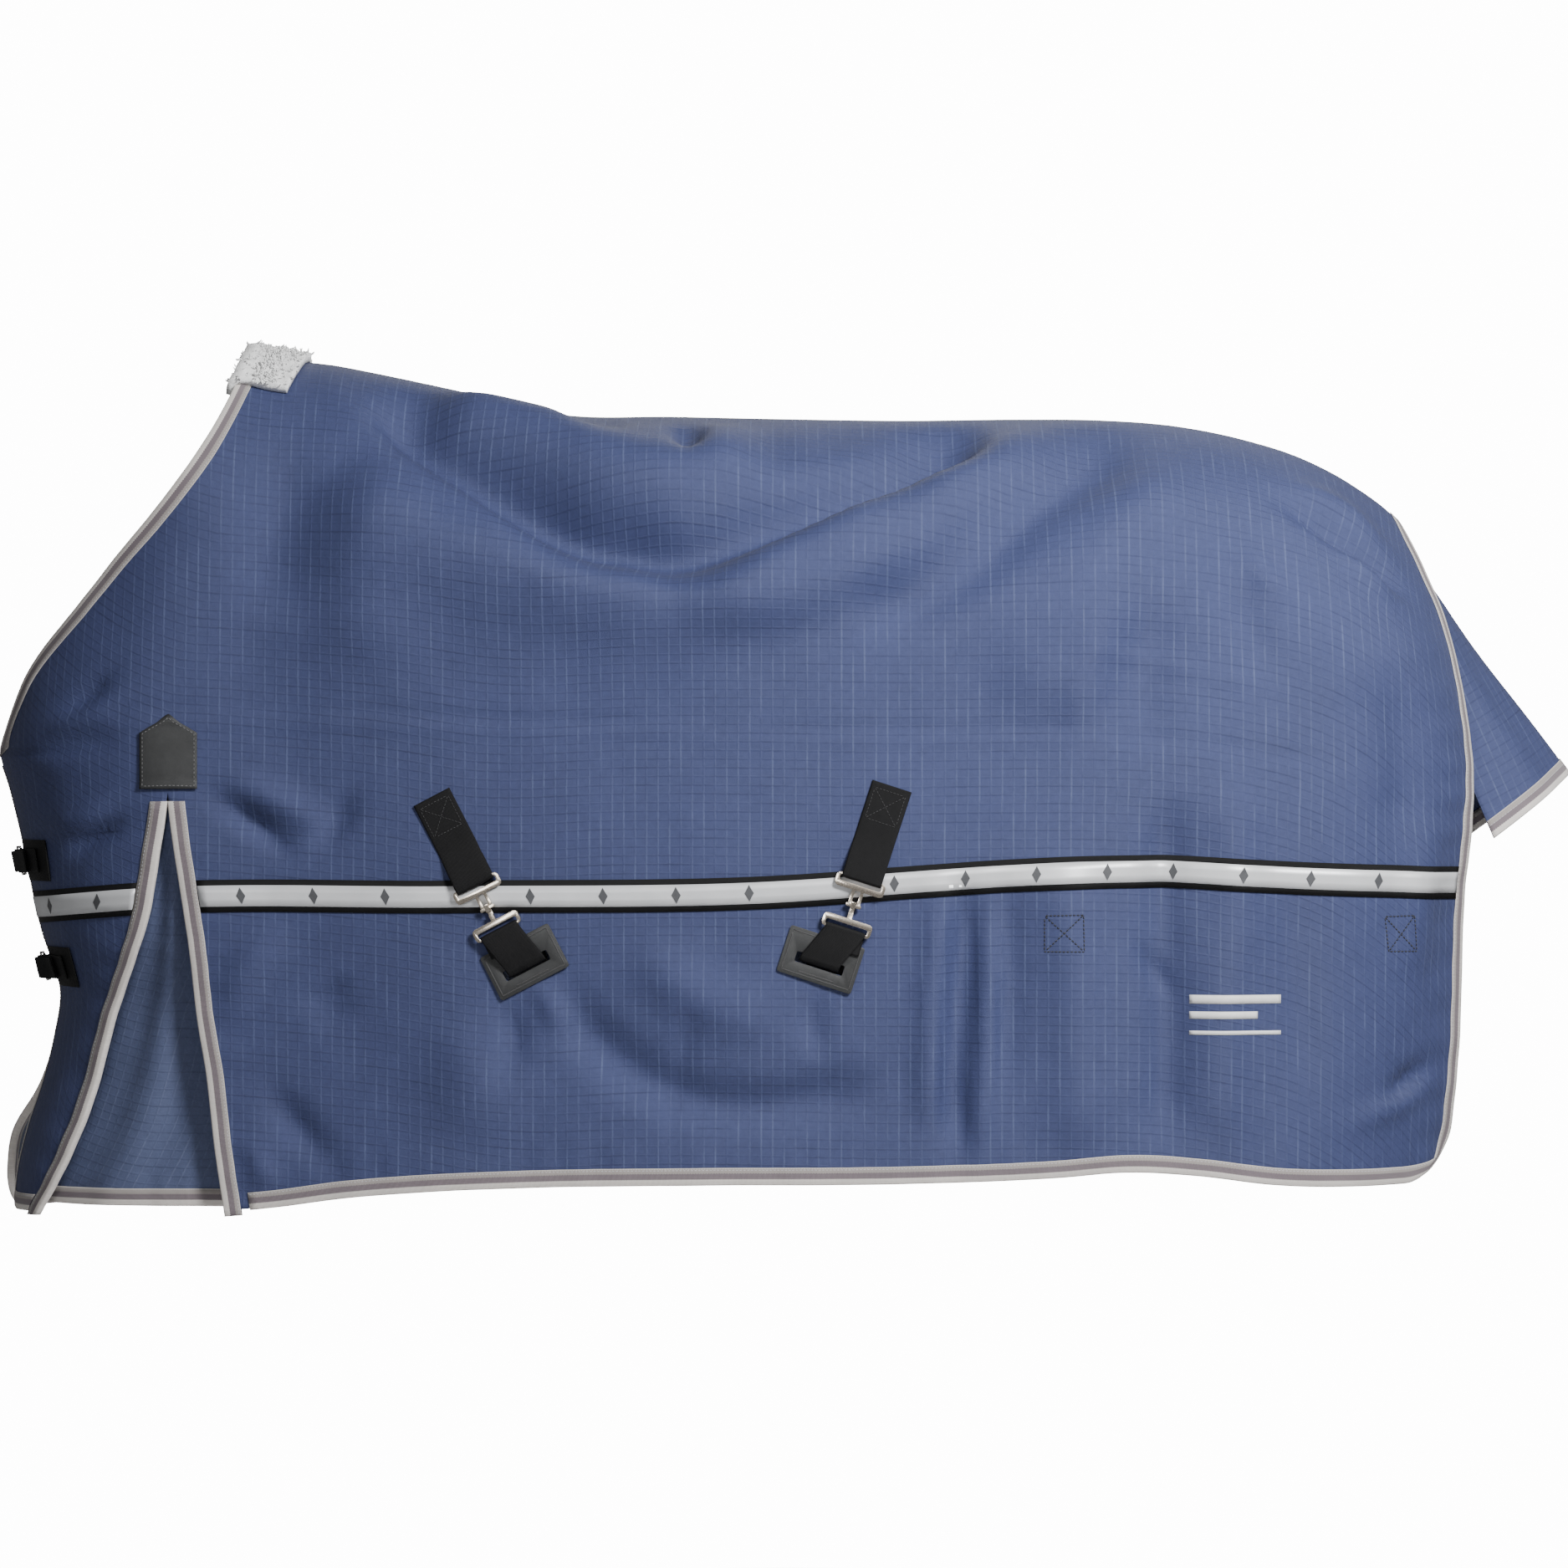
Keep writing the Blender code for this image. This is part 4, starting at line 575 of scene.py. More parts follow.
smooth_points, net_place, net_sides, net_quads, net_index = build_net()
smooth_out = quad_normals(smooth_points, net_quads)
net_height = np.where(
    net_sides < 0, fold_height(net_place[:, 0], net_place[:, 1], -1),
    fold_height(net_place[:, 0], net_place[:, 1], 1))
net_points = smooth_points + smooth_out * net_height[:, None]
net_out = quad_normals(net_points, net_quads)


def net_cloth_uv():
    """Cloth coordinates in metres: across from the barrel's middle, and down from the ridge."""
    uv = np.zeros((len(net_points), 2))
    for side, _ in SIDES:
        fi, bi = net_index[side]
        rows = np.concatenate([fi, bi], 1)
        p = smooth_points[rows]
        across = np.linalg.norm(p[:, 1:] - p[:, :-1], axis=2)
        run = np.concatenate([np.zeros((len(p), 1)), np.cumsum(across, 1)], 1)
        for j in range(len(p)):
            x = p[j, :, 0]
            order = np.argsort(x)
            run[j] -= np.interp(0.0, x[order], run[j][order])
        down = np.linalg.norm(p[1:] - p[:-1], axis=2)
        drop = side * np.concatenate([np.zeros((1, p.shape[1])), np.cumsum(down, 0)], 0)
        uv[rows.ravel(), 0] = run.ravel()
        uv[rows.ravel(), 1] = drop.ravel()
    return uv


net_uv = net_cloth_uv()


# ---------------------------------------------------------------- making pieces
def select_none():
    for ob in bpy.context.selected_objects:
        ob.select_set(False)


def mesh_piece(name, verts, faces, uv=None, smooth=True):
    mesh = bpy.data.meshes.new(name)
    if isinstance(faces, np.ndarray):
        faces = faces.tolist()
    mesh.from_pydata(np.asarray(verts, float).tolist(), [], faces)
    if uv is not None:
        layer = mesh.uv_layers.new(name="cloth")
        corner = np.zeros(len(mesh.loops), dtype=np.int32)
        mesh.loops.foreach_get("vertex_index", corner)
        layer.data.foreach_set("uv", np.asarray(uv, np.float32)[corner].ravel())
    mesh.polygons.foreach_set("use_smooth", [smooth] * len(mesh.polygons))
    mesh.update()
    ob = bpy.data.objects.new(name, mesh)
    bpy.context.scene.collection.objects.link(ob)
    return ob


def face_outward(ob):
    bm = bmesh.new()
    bm.from_mesh(ob.data)
    bmesh.ops.recalc_face_normals(bm, faces=bm.faces)
    bm.to_mesh(ob.data)
    bm.free()


def finish(ob, material, body, nodes=()):
    ob.data.materials.clear()
    ob.data.materials.append(material)
    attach(ob, body)
    if nodes:
        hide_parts(*nodes)
    return ob


def rim_edges(quads):
    """Edges that only one quad has, each in that quad's own direction."""
    edges = np.concatenate([quads[:, [k, (k + 1) % 4]] for k in range(4)])
    key = np.sort(edges, 1).astype(np.int64)
    key = key[:, 0] * (int(quads.max()) + 1) + key[:, 1]
    _, inverse, times = np.unique(key, return_inverse=True, return_counts=True)
    return edges[times[inverse] == 1]


def closed_sheet(name, points, out, quads, uv, high, low):
    """A closed sheet between two distances from a net of quads."""
    used, local = np.unique(quads, return_inverse=True)
    local = local.reshape(quads.shape)
    count = len(used)
    top = points[used] + out[used] * high
    base = points[used] + out[used] * low
    rim = rim_edges(local)
    wall = np.stack([rim[:, 1], rim[:, 0], rim[:, 0] + count, rim[:, 1] + count], 1)
    faces = np.concatenate([local, local[:, ::-1] + count, wall])
    return mesh_piece(name, np.concatenate([top, base]), faces,
                      np.concatenate([uv[used], uv[used]]))


def grid_quads(rows, columns):
    ids = np.arange(rows * columns).reshape(rows, columns)
    return np.stack([ids[:-1, :-1], ids[1:, :-1], ids[1:, 1:], ids[:-1, 1:]], -1).reshape(-1, 4)


def between(values, places, axis=0):
    """Values of a grid of points at fractional places along one axis."""
    k = np.clip(places.astype(int), 0, values.shape[axis] - 2)
    f = (places - k)[:, None, None] if axis == 0 else (places - k)[None, :, None]
    return np.take(values, k, axis) * (1 - f) + np.take(values, k + 1, axis) * f


def grid_sheet(name, points, out, uv, high, low):
    """A closed sheet over a grid of points; faces turn to agree with out."""
    rows, columns = points.shape[:2]
    quads = grid_quads(rows, columns)
    p = points.reshape(-1, 3)
    n = out.reshape(-1, 3)
    if np.sum(quad_normals(p, quads) * n) < 0:
        quads = quads[:, ::-1]
    return closed_sheet(name, p, n, quads, uv.reshape(-1, 2), high, low)


def grid_normals(points, side):
    """Outward directions of a grid, away from the middle plane."""
    rows, columns = points.shape[:2]
    n = quad_normals(points.reshape(-1, 3), grid_quads(rows, columns)).reshape(points.shape)
    if np.sum(n[..., 1]) * side < 0:
        n = -n
    return n


def run_length(points, axis):
    step = np.linalg.norm(np.diff(points, axis=axis), axis=-1)
    first = np.zeros_like(np.take(step, [0], axis=axis))
    return np.concatenate([first, np.cumsum(step, axis=axis)], axis=axis)


def metre_uv(points):
    """u along the rows and v down the columns of a grid, in metres."""
    return np.stack([run_length(points, 1), run_length(points, 0)], -1)


def binding_piece(name, points, out, high, low, material, body, node, thick=0.0010):
    """A folded woven tape round an edge: points[station][0] is on the edge, the last one inside."""
    stations, wide = points.shape[:2]
    gap = LAYER_GAP
    e = points[:, 0]
    away = e - points[:, 1]
    away = unit(away - out[:, 0] * np.sum(away * out[:, 0], -1, keepdims=True))
    side_run = run_length(points, 1)
    across = side_run / side_run[:, -1:]
    along = run_length(points[:, :1], 0)[:, 0]
    face = points + out * (high + gap + thick)
    back = points + out * (low - gap - thick)
    face_in = points + out * (high + gap)
    back_in = points + out * (low - gap)
    fold = 4
    turn = []
    turn_uv = []
    middle = (high + low) / 2
    half = (high - low) / 2 + gap + thick
    for k in range(1, fold):
        a = math.pi * k / fold
        lift = out[:, 0] * (middle + half * math.cos(a))
        turn.append(e + away * (gap + thick + 0.0006) * math.sin(a) ** 0.6 + lift)
        turn_uv.append(np.stack([along, np.full(stations, -0.01)], -1))
    ring = [face[:, i] for i in range(wide - 1, -1, -1)] + turn + [back[:, i] for i in range(wide)]
    uv = [np.stack([along, across[:, i]], -1) for i in range(wide - 1, -1, -1)] + turn_uv
    uv += [np.stack([along, across[:, i]], -1) for i in range(wide)]
    inner = [back_in[:, i] for i in range(wide - 1, -1, -1)] + [face_in[:, i] for i in range(wide)]
    inner[wide - 1] = e + away * gap + out[:, 0] * (low - gap)
    inner[wide] = e + away * gap + out[:, 0] * (high + gap)
    ring += inner
    uv += [np.stack([along, across[:, i]], -1) for i in range(wide - 1, -1, -1)]
    uv += [np.stack([along, across[:, i]], -1) for i in range(wide)]
    count = len(ring)
    verts = np.stack(ring, 1).reshape(-1, 3)
    uvs = np.stack(uv, 1).reshape(-1, 2)
    faces = []
    for s in range(stations - 1):
        for c in range(count):
            d = (c + 1) % count
            faces.append([s * count + c, s * count + d, (s + 1) * count + d, (s + 1) * count + c])
    outer = count - 2 * wide
    for s, flip in ((0, False), (stations - 1, True)):
        b = s * count
        caps = []
        for q in range(wide - 1):
            caps.append([b + q, b + q + 1, b + count - 2 - q, b + count - 1 - q])
        caps.append([b + k for k in range(wide - 1, outer - wide + 1)]
                    + [b + outer + wide - 1, b + outer + wide])
        for q in range(wide - 1):
            caps.append([b + outer - wide + q, b + outer - wide + q + 1, b + outer + wide - 2 - q,
                         b + outer + wide - 1 - q])
        faces += [c[::-1] for c in caps] if flip else caps
    ob = mesh_piece(name, verts, faces, uvs)
    face_outward(ob)
    return finish(ob, material, body, [node])


def smooth_line(points, per=6):
    """A rounded line through points of any width."""
    points = np.asarray(points, float)
    out = []
    for k in range(len(points) - 1):
        p0 = points[max(0, k - 1)]
        p1 = points[k]
        p2 = points[k + 1]
        p3 = points[min(len(points) - 1, k + 2)]
        for q in range(per):
            t = q / per
            a = 2 * p1 + (p2 - p0) * t + (2 * p0 - 5 * p1 + 4 * p2 - p3) * t * t
            out.append((a + (3 * p1 - p0 - 3 * p2 + p3) * t ** 3) / 2)
    out.append(points[-1])
    return np.array(out)


def webbing(name, path, across, width, thick, material, body, nodes, square=True, wide=9):
    """Flat webbing along a line, with soft edges; u runs along it and v across it."""
    path = np.asarray(path, float)
    across = np.asarray(across, float)
    if across.ndim == 1:
        across = np.repeat(across[None], len(path), 0)
    way = unit(np.gradient(path, axis=0))
    a = unit(across)
    if square:
        a = unit(a - way * np.sum(a * way, -1, keepdims=True))
    up = unit(np.cross(a, way))
    s = np.sin(np.linspace(-1, 1, wide) * math.pi / 2)
    along = run_length(path[:, None], 0)[:, 0]
    ring = []
    uv = []
    for sign, order in ((1, s), (-1, s[::-1])):
        for t in order:
            h = thick / 2 * (1 - 0.55 * abs(t) ** 10)
            ring.append(path + a * (t * width / 2) + up * (sign * h))
            uv.append(np.stack([along, np.full(len(path), (t + 1) / 2)], -1))
    count = len(ring)
    verts = np.stack(ring, 1).reshape(-1, 3)
    uvs = np.stack(uv, 1).reshape(-1, 2)
    faces = []
    for k in range(len(path) - 1):
        for c in range(count):
            d = (c + 1) % count
            faces.append([k * count + c, k * count + d, (k + 1) * count + d, (k + 1) * count + c])
    for base, flip in ((0, True), ((len(path) - 1) * count, False)):
        for c in range(wide - 1):
            cap = [base + c, base + c + 1, base + count - 2 - c, base + count - 1 - c]
            faces.append(cap[::-1] if flip else cap)
    ob = mesh_piece(name, verts, faces, uvs)
    face_outward(ob)
    return finish(ob, material, body, nodes)


# ---------------------------------------------------------------- shading helpers
def put(tree, node, values):
    for key, value in values.items():
        socket = node.inputs[key]
        if isinstance(value, bpy.types.NodeSocket):
            tree.links.new(value, socket)
        else:
            socket.default_value = value
    return node


def add(tree, kind, values=None, **settings):
    node = tree.nodes.new(kind)
    for key, value in settings.items():
        setattr(node, key, value)
    return put(tree, node, values or {})


def calc(tree, operation, a, b=0.0, c=None, clamp=False):
    node = tree.nodes.new("ShaderNodeMath")
    node.operation = operation
    node.use_clamp = clamp
    values = {0: a, 1: b}
    if c is not None:
        values[2] = c
    return put(tree, node, values).outputs[0]


def roughen(tree, shader, source, gain, base):
    value = calc(tree, "ADD", calc(tree, "MULTIPLY", source, gain), base)
    tree.links.new(value, shader.inputs["Roughness"])


def blend_colors(tree, factor, a, b, kind="MIX"):
    node = tree.nodes.new("ShaderNodeMix")
    node.data_type = "RGBA"
    node.blend_type = kind
    for socket, value in ((node.inputs[0], factor), (node.inputs[6], a), (node.inputs[7], b)):
        if isinstance(value, bpy.types.NodeSocket):
            tree.links.new(value, socket)
        else:
            socket.default_value = value
    return node.outputs[2]


def scaled(tree, vector, scale):
    node = add(tree, "ShaderNodeVectorMath", {0: vector, 1: scale}, operation="MULTIPLY")
    return node.outputs[0]


def noise_at(tree, vector, scale, detail=3.0, rough=0.55, dimensions="3D"):
    values = {"Vector": vector, "Scale": scale, "Detail": detail, "Roughness": rough}
    return add(tree, "ShaderNodeTexNoise", values, noise_dimensions=dimensions).outputs["Fac"]


def band_mask(tree, value, inside, outside):
    """1 where value is under inside, falling to 0 at outside."""
    values = {"Value": value, "From Min": inside, "From Max": outside, "To Min": 1.0, "To Max": 0.0}
    return add(tree, "ShaderNodeMapRange", values, clamp=True).outputs[0]


def new_group(name, inputs, outputs):
    group = bpy.data.node_groups.new(name, "ShaderNodeTree")
    for title, kind, value in inputs:
        socket = group.interface.new_socket(name=title, in_out="INPUT", socket_type=kind)
        if value is not None:
            socket.default_value = value
    for title, kind in outputs:
        group.interface.new_socket(name=title, in_out="OUTPUT", socket_type=kind)
    return group, group.nodes.new("NodeGroupInput"), group.nodes.new("NodeGroupOutput")


FLOAT = "NodeSocketFloat"
VECTOR = "NodeSocketVector"
COLOR = "NodeSocketColor"


def ripstop_group():
    """The outer cloth's checks: light upright slubs, darker level ribs, the weave between."""
    group, take, give = new_group(
        "ripstop_weave", [("Vector", VECTOR, None), ("Across", FLOAT, 0.0140),
                          ("Down", FLOAT, 0.0108)],
        [("Slub", FLOAT), ("Rib", FLOAT), ("Height", FLOAT)])
    v = take.outputs["Vector"]
    split = add(group, "ShaderNodeSeparateXYZ", {0: v}).outputs
    half_u = calc(group, "MULTIPLY", take.outputs["Across"], 0.5)
    half_v = calc(group, "MULTIPLY", take.outputs["Down"], 0.5)
    near_u = calc(group, "PINGPONG", split[0], half_u)
    near_v = calc(group, "PINGPONG", split[1], half_v)
    upright = band_mask(group, near_u, 0.0005, 0.0016)
    level = band_mask(group, near_v, 0.0005, 0.0014)
    slub = noise_at(group, scaled(group, v, (90.0, 14.0, 1.0)), 1.0, 4.0, 0.6)
    slub = calc(group, "MULTIPLY", calc(group, "SUBTRACT", slub, 0.40), 4.0, clamp=True)
    streak = noise_at(group, scaled(group, v, (16.0, 70.0, 1.0)), 1.0, 3.0, 0.6)
    streak = calc(group, "MULTIPLY", calc(group, "SUBTRACT", streak, 0.38), 3.2, clamp=True)
    group.links.new(calc(group, "MULTIPLY", upright, slub), give.inputs["Slub"])
    group.links.new(calc(group, "MULTIPLY", level, streak), give.inputs["Rib"])
    warp = calc(group, "SINE", calc(group, "MULTIPLY", split[0], 6200.0))
    weft = calc(group, "SINE", calc(group, "MULTIPLY", split[1], 6200.0))
    weave = calc(group, "MULTIPLY", warp, weft)
    lines = calc(group, "MULTIPLY", calc(group, "MAXIMUM", upright, level), 2.2)
    group.links.new(calc(group, "ADD", weave, lines), give.inputs["Height"])
    return group


def tone_group():
    """Uneven dye and a little dust: a slow cloud, a fine speckle and both together."""
    group, take, give = new_group(
        "dye_and_dust", [("Vector", VECTOR, None), ("Size", FLOAT, 0.12)],
        [("Cloud", FLOAT), ("Speckle", FLOAT)])
    v = take.outputs["Vector"]
    scale = calc(group, "DIVIDE", 1.0, take.outputs["Size"])
    group.links.new(noise_at(group, v, scale, 4.0, 0.6), give.inputs["Cloud"])
    group.links.new(noise_at(group, v, calc(group, "MULTIPLY", scale, 22.0), 2.0, 0.7),
                    give.inputs["Speckle"])
    return group


def tape_group():
    """The binding's woven stripes, edge (v 0) to inside (v 1), with a saw-toothed middle."""
    group, take, give = new_group("striped_tape", [("Vector", VECTOR, None)],
                                  [("Color", COLOR), ("Height", FLOAT)])
    split = add(group, "ShaderNodeSeparateXYZ", {0: take.outputs["Vector"]}).outputs
    tooth = calc(group, "PINGPONG", split[0], 0.0016)
    saw = calc(group, "MULTIPLY", calc(group, "SUBTRACT", tooth, 0.0008), 38.0)
    v = calc(group, "ADD", split[1], saw)
    ramp = add(group, "ShaderNodeValToRGB", {"Fac": v})
    ramp.color_ramp.interpolation = "CONSTANT"
    stripes = ((0.0, (0.66, 0.62, 0.585)), (0.30, (0.160, 0.132, 0.148)),
               (0.66, (0.295, 0.268, 0.256)), (0.945, (0.50, 0.47, 0.44)))
    while len(ramp.color_ramp.elements) < len(stripes):
        ramp.color_ramp.elements.new(1.0)
    for element, (place, color) in zip(ramp.color_ramp.elements, stripes):
        element.position = place
        element.color = (*color, 1.0)
    ribs = calc(group, "SINE", calc(group, "MULTIPLY", split[0], 5200.0))
    rows = calc(group, "SINE", calc(group, "MULTIPLY", split[1], 88.0))
    fuzz = noise_at(group, scaled(group, take.outputs["Vector"], (900.0, 60.0, 1.0)), 1.0, 2.0, 0.6)
    shade = calc(group, "ADD", calc(group, "MULTIPLY", ribs, 0.10),
                 calc(group, "MULTIPLY", fuzz, 0.5))
    shade = calc(group, "ADD", shade, 0.62)
    pale = add(group, "ShaderNodeCombineColor", {0: shade, 1: shade, 2: shade}).outputs[0]
    group.links.new(blend_colors(group, 1.0, ramp.outputs["Color"], pale, "MULTIPLY"),
                    give.inputs["Color"])
    group.links.new(calc(group, "ADD", ribs, calc(group, "MULTIPLY", rows, 0.4)),
                    give.inputs["Height"])
    return group


def webbing_group():
    """Flat woven webbing: fine ribs across and a twill over them."""
    group, take, give = new_group(
        "woven_webbing", [("Vector", VECTOR, None), ("Width", FLOAT, STRAP_WIDTH)],
        [("Tone", FLOAT), ("Height", FLOAT)])
    split = add(group, "ShaderNodeSeparateXYZ", {0: take.outputs["Vector"]}).outputs
    across = calc(group, "MULTIPLY", split[1], take.outputs["Width"])
    u = calc(group, "MULTIPLY", split[0], 3900.0)
    w = calc(group, "MULTIPLY", across, 3300.0)
    cross = calc(group, "MULTIPLY", calc(group, "SINE", u), calc(group, "SINE", w))
    twill = calc(group, "SINE", calc(group, "ADD", u, w))
    height = calc(group, "ADD", cross, calc(group, "MULTIPLY", twill, 0.5))
    group.links.new(height, give.inputs["Height"])
    dust = noise_at(group, scaled(group, take.outputs["Vector"], (60.0, 9.0, 1.0)), 1.0, 4.0, 0.65)
    group.links.new(
        calc(group, "ADD", calc(group, "MULTIPLY", height, 0.12), dust), give.inputs["Tone"])
    return group


def scuff_group():
    """Handling marks on metal and leather-look pieces: a slow cloud and fine scratches."""
    group, take, give = new_group(
        "scuffs", [("Vector", VECTOR, None), ("Size", FLOAT, 0.01)],
        [("Cloud", FLOAT), ("Scratch", FLOAT)])
    v = take.outputs["Vector"]
    scale = calc(group, "DIVIDE", 1.0, take.outputs["Size"])
    group.links.new(noise_at(group, v, scale, 4.0, 0.6), give.inputs["Cloud"])
    stretched = scaled(group, v, (1.0, 1.0, 14.0))
    group.links.new(noise_at(group, stretched, calc(group, "MULTIPLY", scale, 2.5), 3.0, 0.75),
                    give.inputs["Scratch"])
    return group


RIPSTOP = ripstop_group()
TONE = tone_group()
TAPE = tape_group()
WEAVE = webbing_group()
SCUFFS = scuff_group()


def start_material(name, **constants):
    material = bpy.data.materials.new(name)
    material.use_nodes = True
    tree = material.node_tree
    shader = tree.nodes["Principled BSDF"]
    for key, value in constants.items():
        shader.inputs[key.replace("_", " ")].default_value = value
    where = add(tree, "ShaderNodeTexCoord")
    return material, tree, shader, where


def use(tree, group, **values):
    node = tree.nodes.new("ShaderNodeGroup")
    node.node_tree = group
    return put(tree, node, values)


def bump(tree, shader, height, depth, strength=1.0):
    node = add(tree, "ShaderNodeBump", {"Height": height, "Distance": depth, "Strength": strength})
    tree.links.new(node.outputs[0], shader.inputs["Normal"])


def ripstop(name, color, pale, dark, slub_weight=0.5, rib_weight=0.45):
    material, tree, shader, where = start_material(name, Sheen_Weight=0.03, Sheen_Roughness=0.45)
    shader.inputs["Specular IOR Level"].default_value = 0.26
    uv = where.outputs["UV"]
    weave = use(tree, RIPSTOP, Vector=uv)
    tone = use(tree, TONE, Vector=where.outputs["Object"], Size=0.16)
    color = blend_colors(tree, calc(tree, "MULTIPLY", weave.outputs["Slub"], slub_weight),
                         (*color, 1), (*pale, 1))
    color = blend_colors(tree, calc(tree, "MULTIPLY", weave.outputs["Rib"], rib_weight), color,
                         (*dark, 1))
    cloud = calc(tree, "MULTIPLY", calc(tree, "SUBTRACT", tone.outputs["Cloud"], 0.5), 0.22)
    speck = calc(tree, "MULTIPLY", calc(tree, "SUBTRACT", tone.outputs["Speckle"], 0.5), 0.30)
    shade = calc(tree, "ADD", calc(tree, "ADD", cloud, speck), 1.0)
    grey = add(tree, "ShaderNodeCombineColor", {0: shade, 1: shade, 2: shade}).outputs[0]
    tree.links.new(blend_colors(tree, 1.0, color, grey, "MULTIPLY"), shader.inputs["Base Color"])
    rough = calc(tree, "ADD", calc(tree, "MULTIPLY", tone.outputs["Cloud"], 0.14), 0.50)
    tree.links.new(rough, shader.inputs["Roughness"])
    bump(tree, shader, weave.outputs["Height"], 0.00016, 0.7)
    return material


def lining_cloth():
    material, tree, shader, where = start_material("lining_nylon", Sheen_Weight=0.08)
    tone = use(tree, TONE, Vector=where.outputs["Object"], Size=0.10)
    color = blend_colors(tree, tone.outputs["Cloud"], (0.030, 0.036, 0.062, 1),
                         (0.052, 0.062, 0.105, 1))
    tree.links.new(color, shader.inputs["Base Color"])
    roughen(tree, shader, tone.outputs["Speckle"], 0.2, 0.42)
    weave = use(tree, RIPSTOP, Vector=where.outputs["UV"], Across=0.0042, Down=0.0042)
    bump(tree, shader, weave.outputs["Height"], 0.00008, 0.5)
    return material


def striped_binding():
    material, tree, shader, where = start_material("striped_binding", Sheen_Weight=0.15)
    tape = use(tree, TAPE, Vector=where.outputs["UV"])
    tone = use(tree, TONE, Vector=where.outputs["Object"], Size=0.05)
    worn = calc(tree, "ADD", calc(tree, "MULTIPLY", tone.outputs["Cloud"], 0.30), 0.85)
    grey = add(tree, "ShaderNodeCombineColor", {0: worn, 1: worn, 2: worn}).outputs[0]
    tree.links.new(blend_colors(tree, 1.0, tape.outputs["Color"], grey, "MULTIPLY"),
                   shader.inputs["Base Color"])
    roughen(tree, shader, tone.outputs["Speckle"], 0.2, 0.70)
    bump(tree, shader, tape.outputs["Height"], 0.00020, 0.8)
    return material


def black_webbing(name, width, color=(0.0022, 0.0022, 0.0025), pale=(0.0075, 0.0075, 0.0082)):
    material, tree, shader, where = start_material(name)
    shader.inputs["Specular IOR Level"].default_value = 0.16
    weave = use(tree, WEAVE, Vector=where.outputs["UV"], Width=width)
    mixed = blend_colors(tree, weave.outputs["Tone"], (*color, 1), (*pale, 1))
    tree.links.new(mixed, shader.inputs["Base Color"])
    roughen(tree, shader, weave.outputs["Tone"], 0.25, 0.42)
    bump(tree, shader, weave.outputs["Height"], 0.00022, 0.8)
    return material


def reflective():
    material, tree, shader, where = start_material("reflective_silver", Metallic=0.25)
    uv = where.outputs["UV"]
    tone = use(tree, TONE, Vector=where.outputs["Object"], Size=0.06)
    beads = noise_at(tree, scaled(tree, uv, (2600.0, 2600.0, 1.0)), 1.0, 1.0, 0.5)
    color = blend_colors(tree, tone.outputs["Cloud"], (0.43, 0.44, 0.455, 1),
                         (0.60, 0.605, 0.62, 1))
    tree.links.new(color, shader.inputs["Base Color"])
    roughen(tree, shader, tone.outputs["Speckle"], 0.2, 0.34)
    bump(tree, shader, beads, 0.00008, 0.5)
    return material


def nickel(name, color, dull):
    material, tree, shader, where = start_material(name, Metallic=1.0)
    marks = use(tree, SCUFFS, Vector=where.outputs["Object"], Size=0.012)
    tree.links.new(blend_colors(tree, marks.outputs["Cloud"], (*color, 1), (*dull, 1)),
                   shader.inputs["Base Color"])
    roughen(tree, shader, marks.outputs["Scratch"], 0.22, 0.14)
    bump(tree, shader, marks.outputs["Scratch"], 0.00006, 0.5)
    return material


def leather_look():
    material, tree, shader, where = start_material("leather_look", Coat_Roughness=0.35)
    shader.inputs["Specular IOR Level"].default_value = 0.30
    spot = where.outputs["Object"]
    grain = add(tree, "ShaderNodeTexVoronoi", {"Vector": spot, "Scale": 900.0},
                feature="DISTANCE_TO_EDGE")
    marks = use(tree, SCUFFS, Vector=spot, Size=0.02)
    color = blend_colors(tree, marks.outputs["Cloud"], (0.016, 0.0165, 0.017, 1),
                         (0.036, 0.037, 0.038, 1))
    tree.links.new(color, shader.inputs["Base Color"])
    roughen(tree, shader, marks.outputs["Scratch"], 0.25, 0.32)
    bump(tree, shader, calc(tree, "MINIMUM", grain.outputs["Distance"], 0.12), 0.0010, 0.6)
    return material


def fleece_pile():
    material, tree, shader, where = start_material("fleece_pile", Sheen_Weight=0.5,
                                                   Sheen_Roughness=0.6)
    tone = use(tree, TONE, Vector=where.outputs["Object"], Size=0.014)
    color = blend_colors(tree, tone.outputs["Cloud"], (0.93, 0.935, 0.94, 1),
                         (0.99, 0.99, 0.985, 1))
    tree.links.new(color, shader.inputs["Base Color"])
    roughen(tree, shader, tone.outputs["Cloud"], 0.1, 0.85)
    bump(tree, shader, tone.outputs["Speckle"], 0.0016, 0.9)
    return material


def thread(name, color, pale):
    material, tree, shader, where = start_material(name, Sheen_Weight=0.1)
    tone = use(tree, TONE, Vector=where.outputs["Object"], Size=0.006)
    tree.links.new(blend_colors(tree, tone.outputs["Cloud"], (*color, 1), (*pale, 1)),
                   shader.inputs["Base Color"])
    roughen(tree, shader, tone.outputs["Speckle"], 0.2, 0.45)
    bump(tree, shader, tone.outputs["Speckle"], 0.0002, 0.5)
    return material


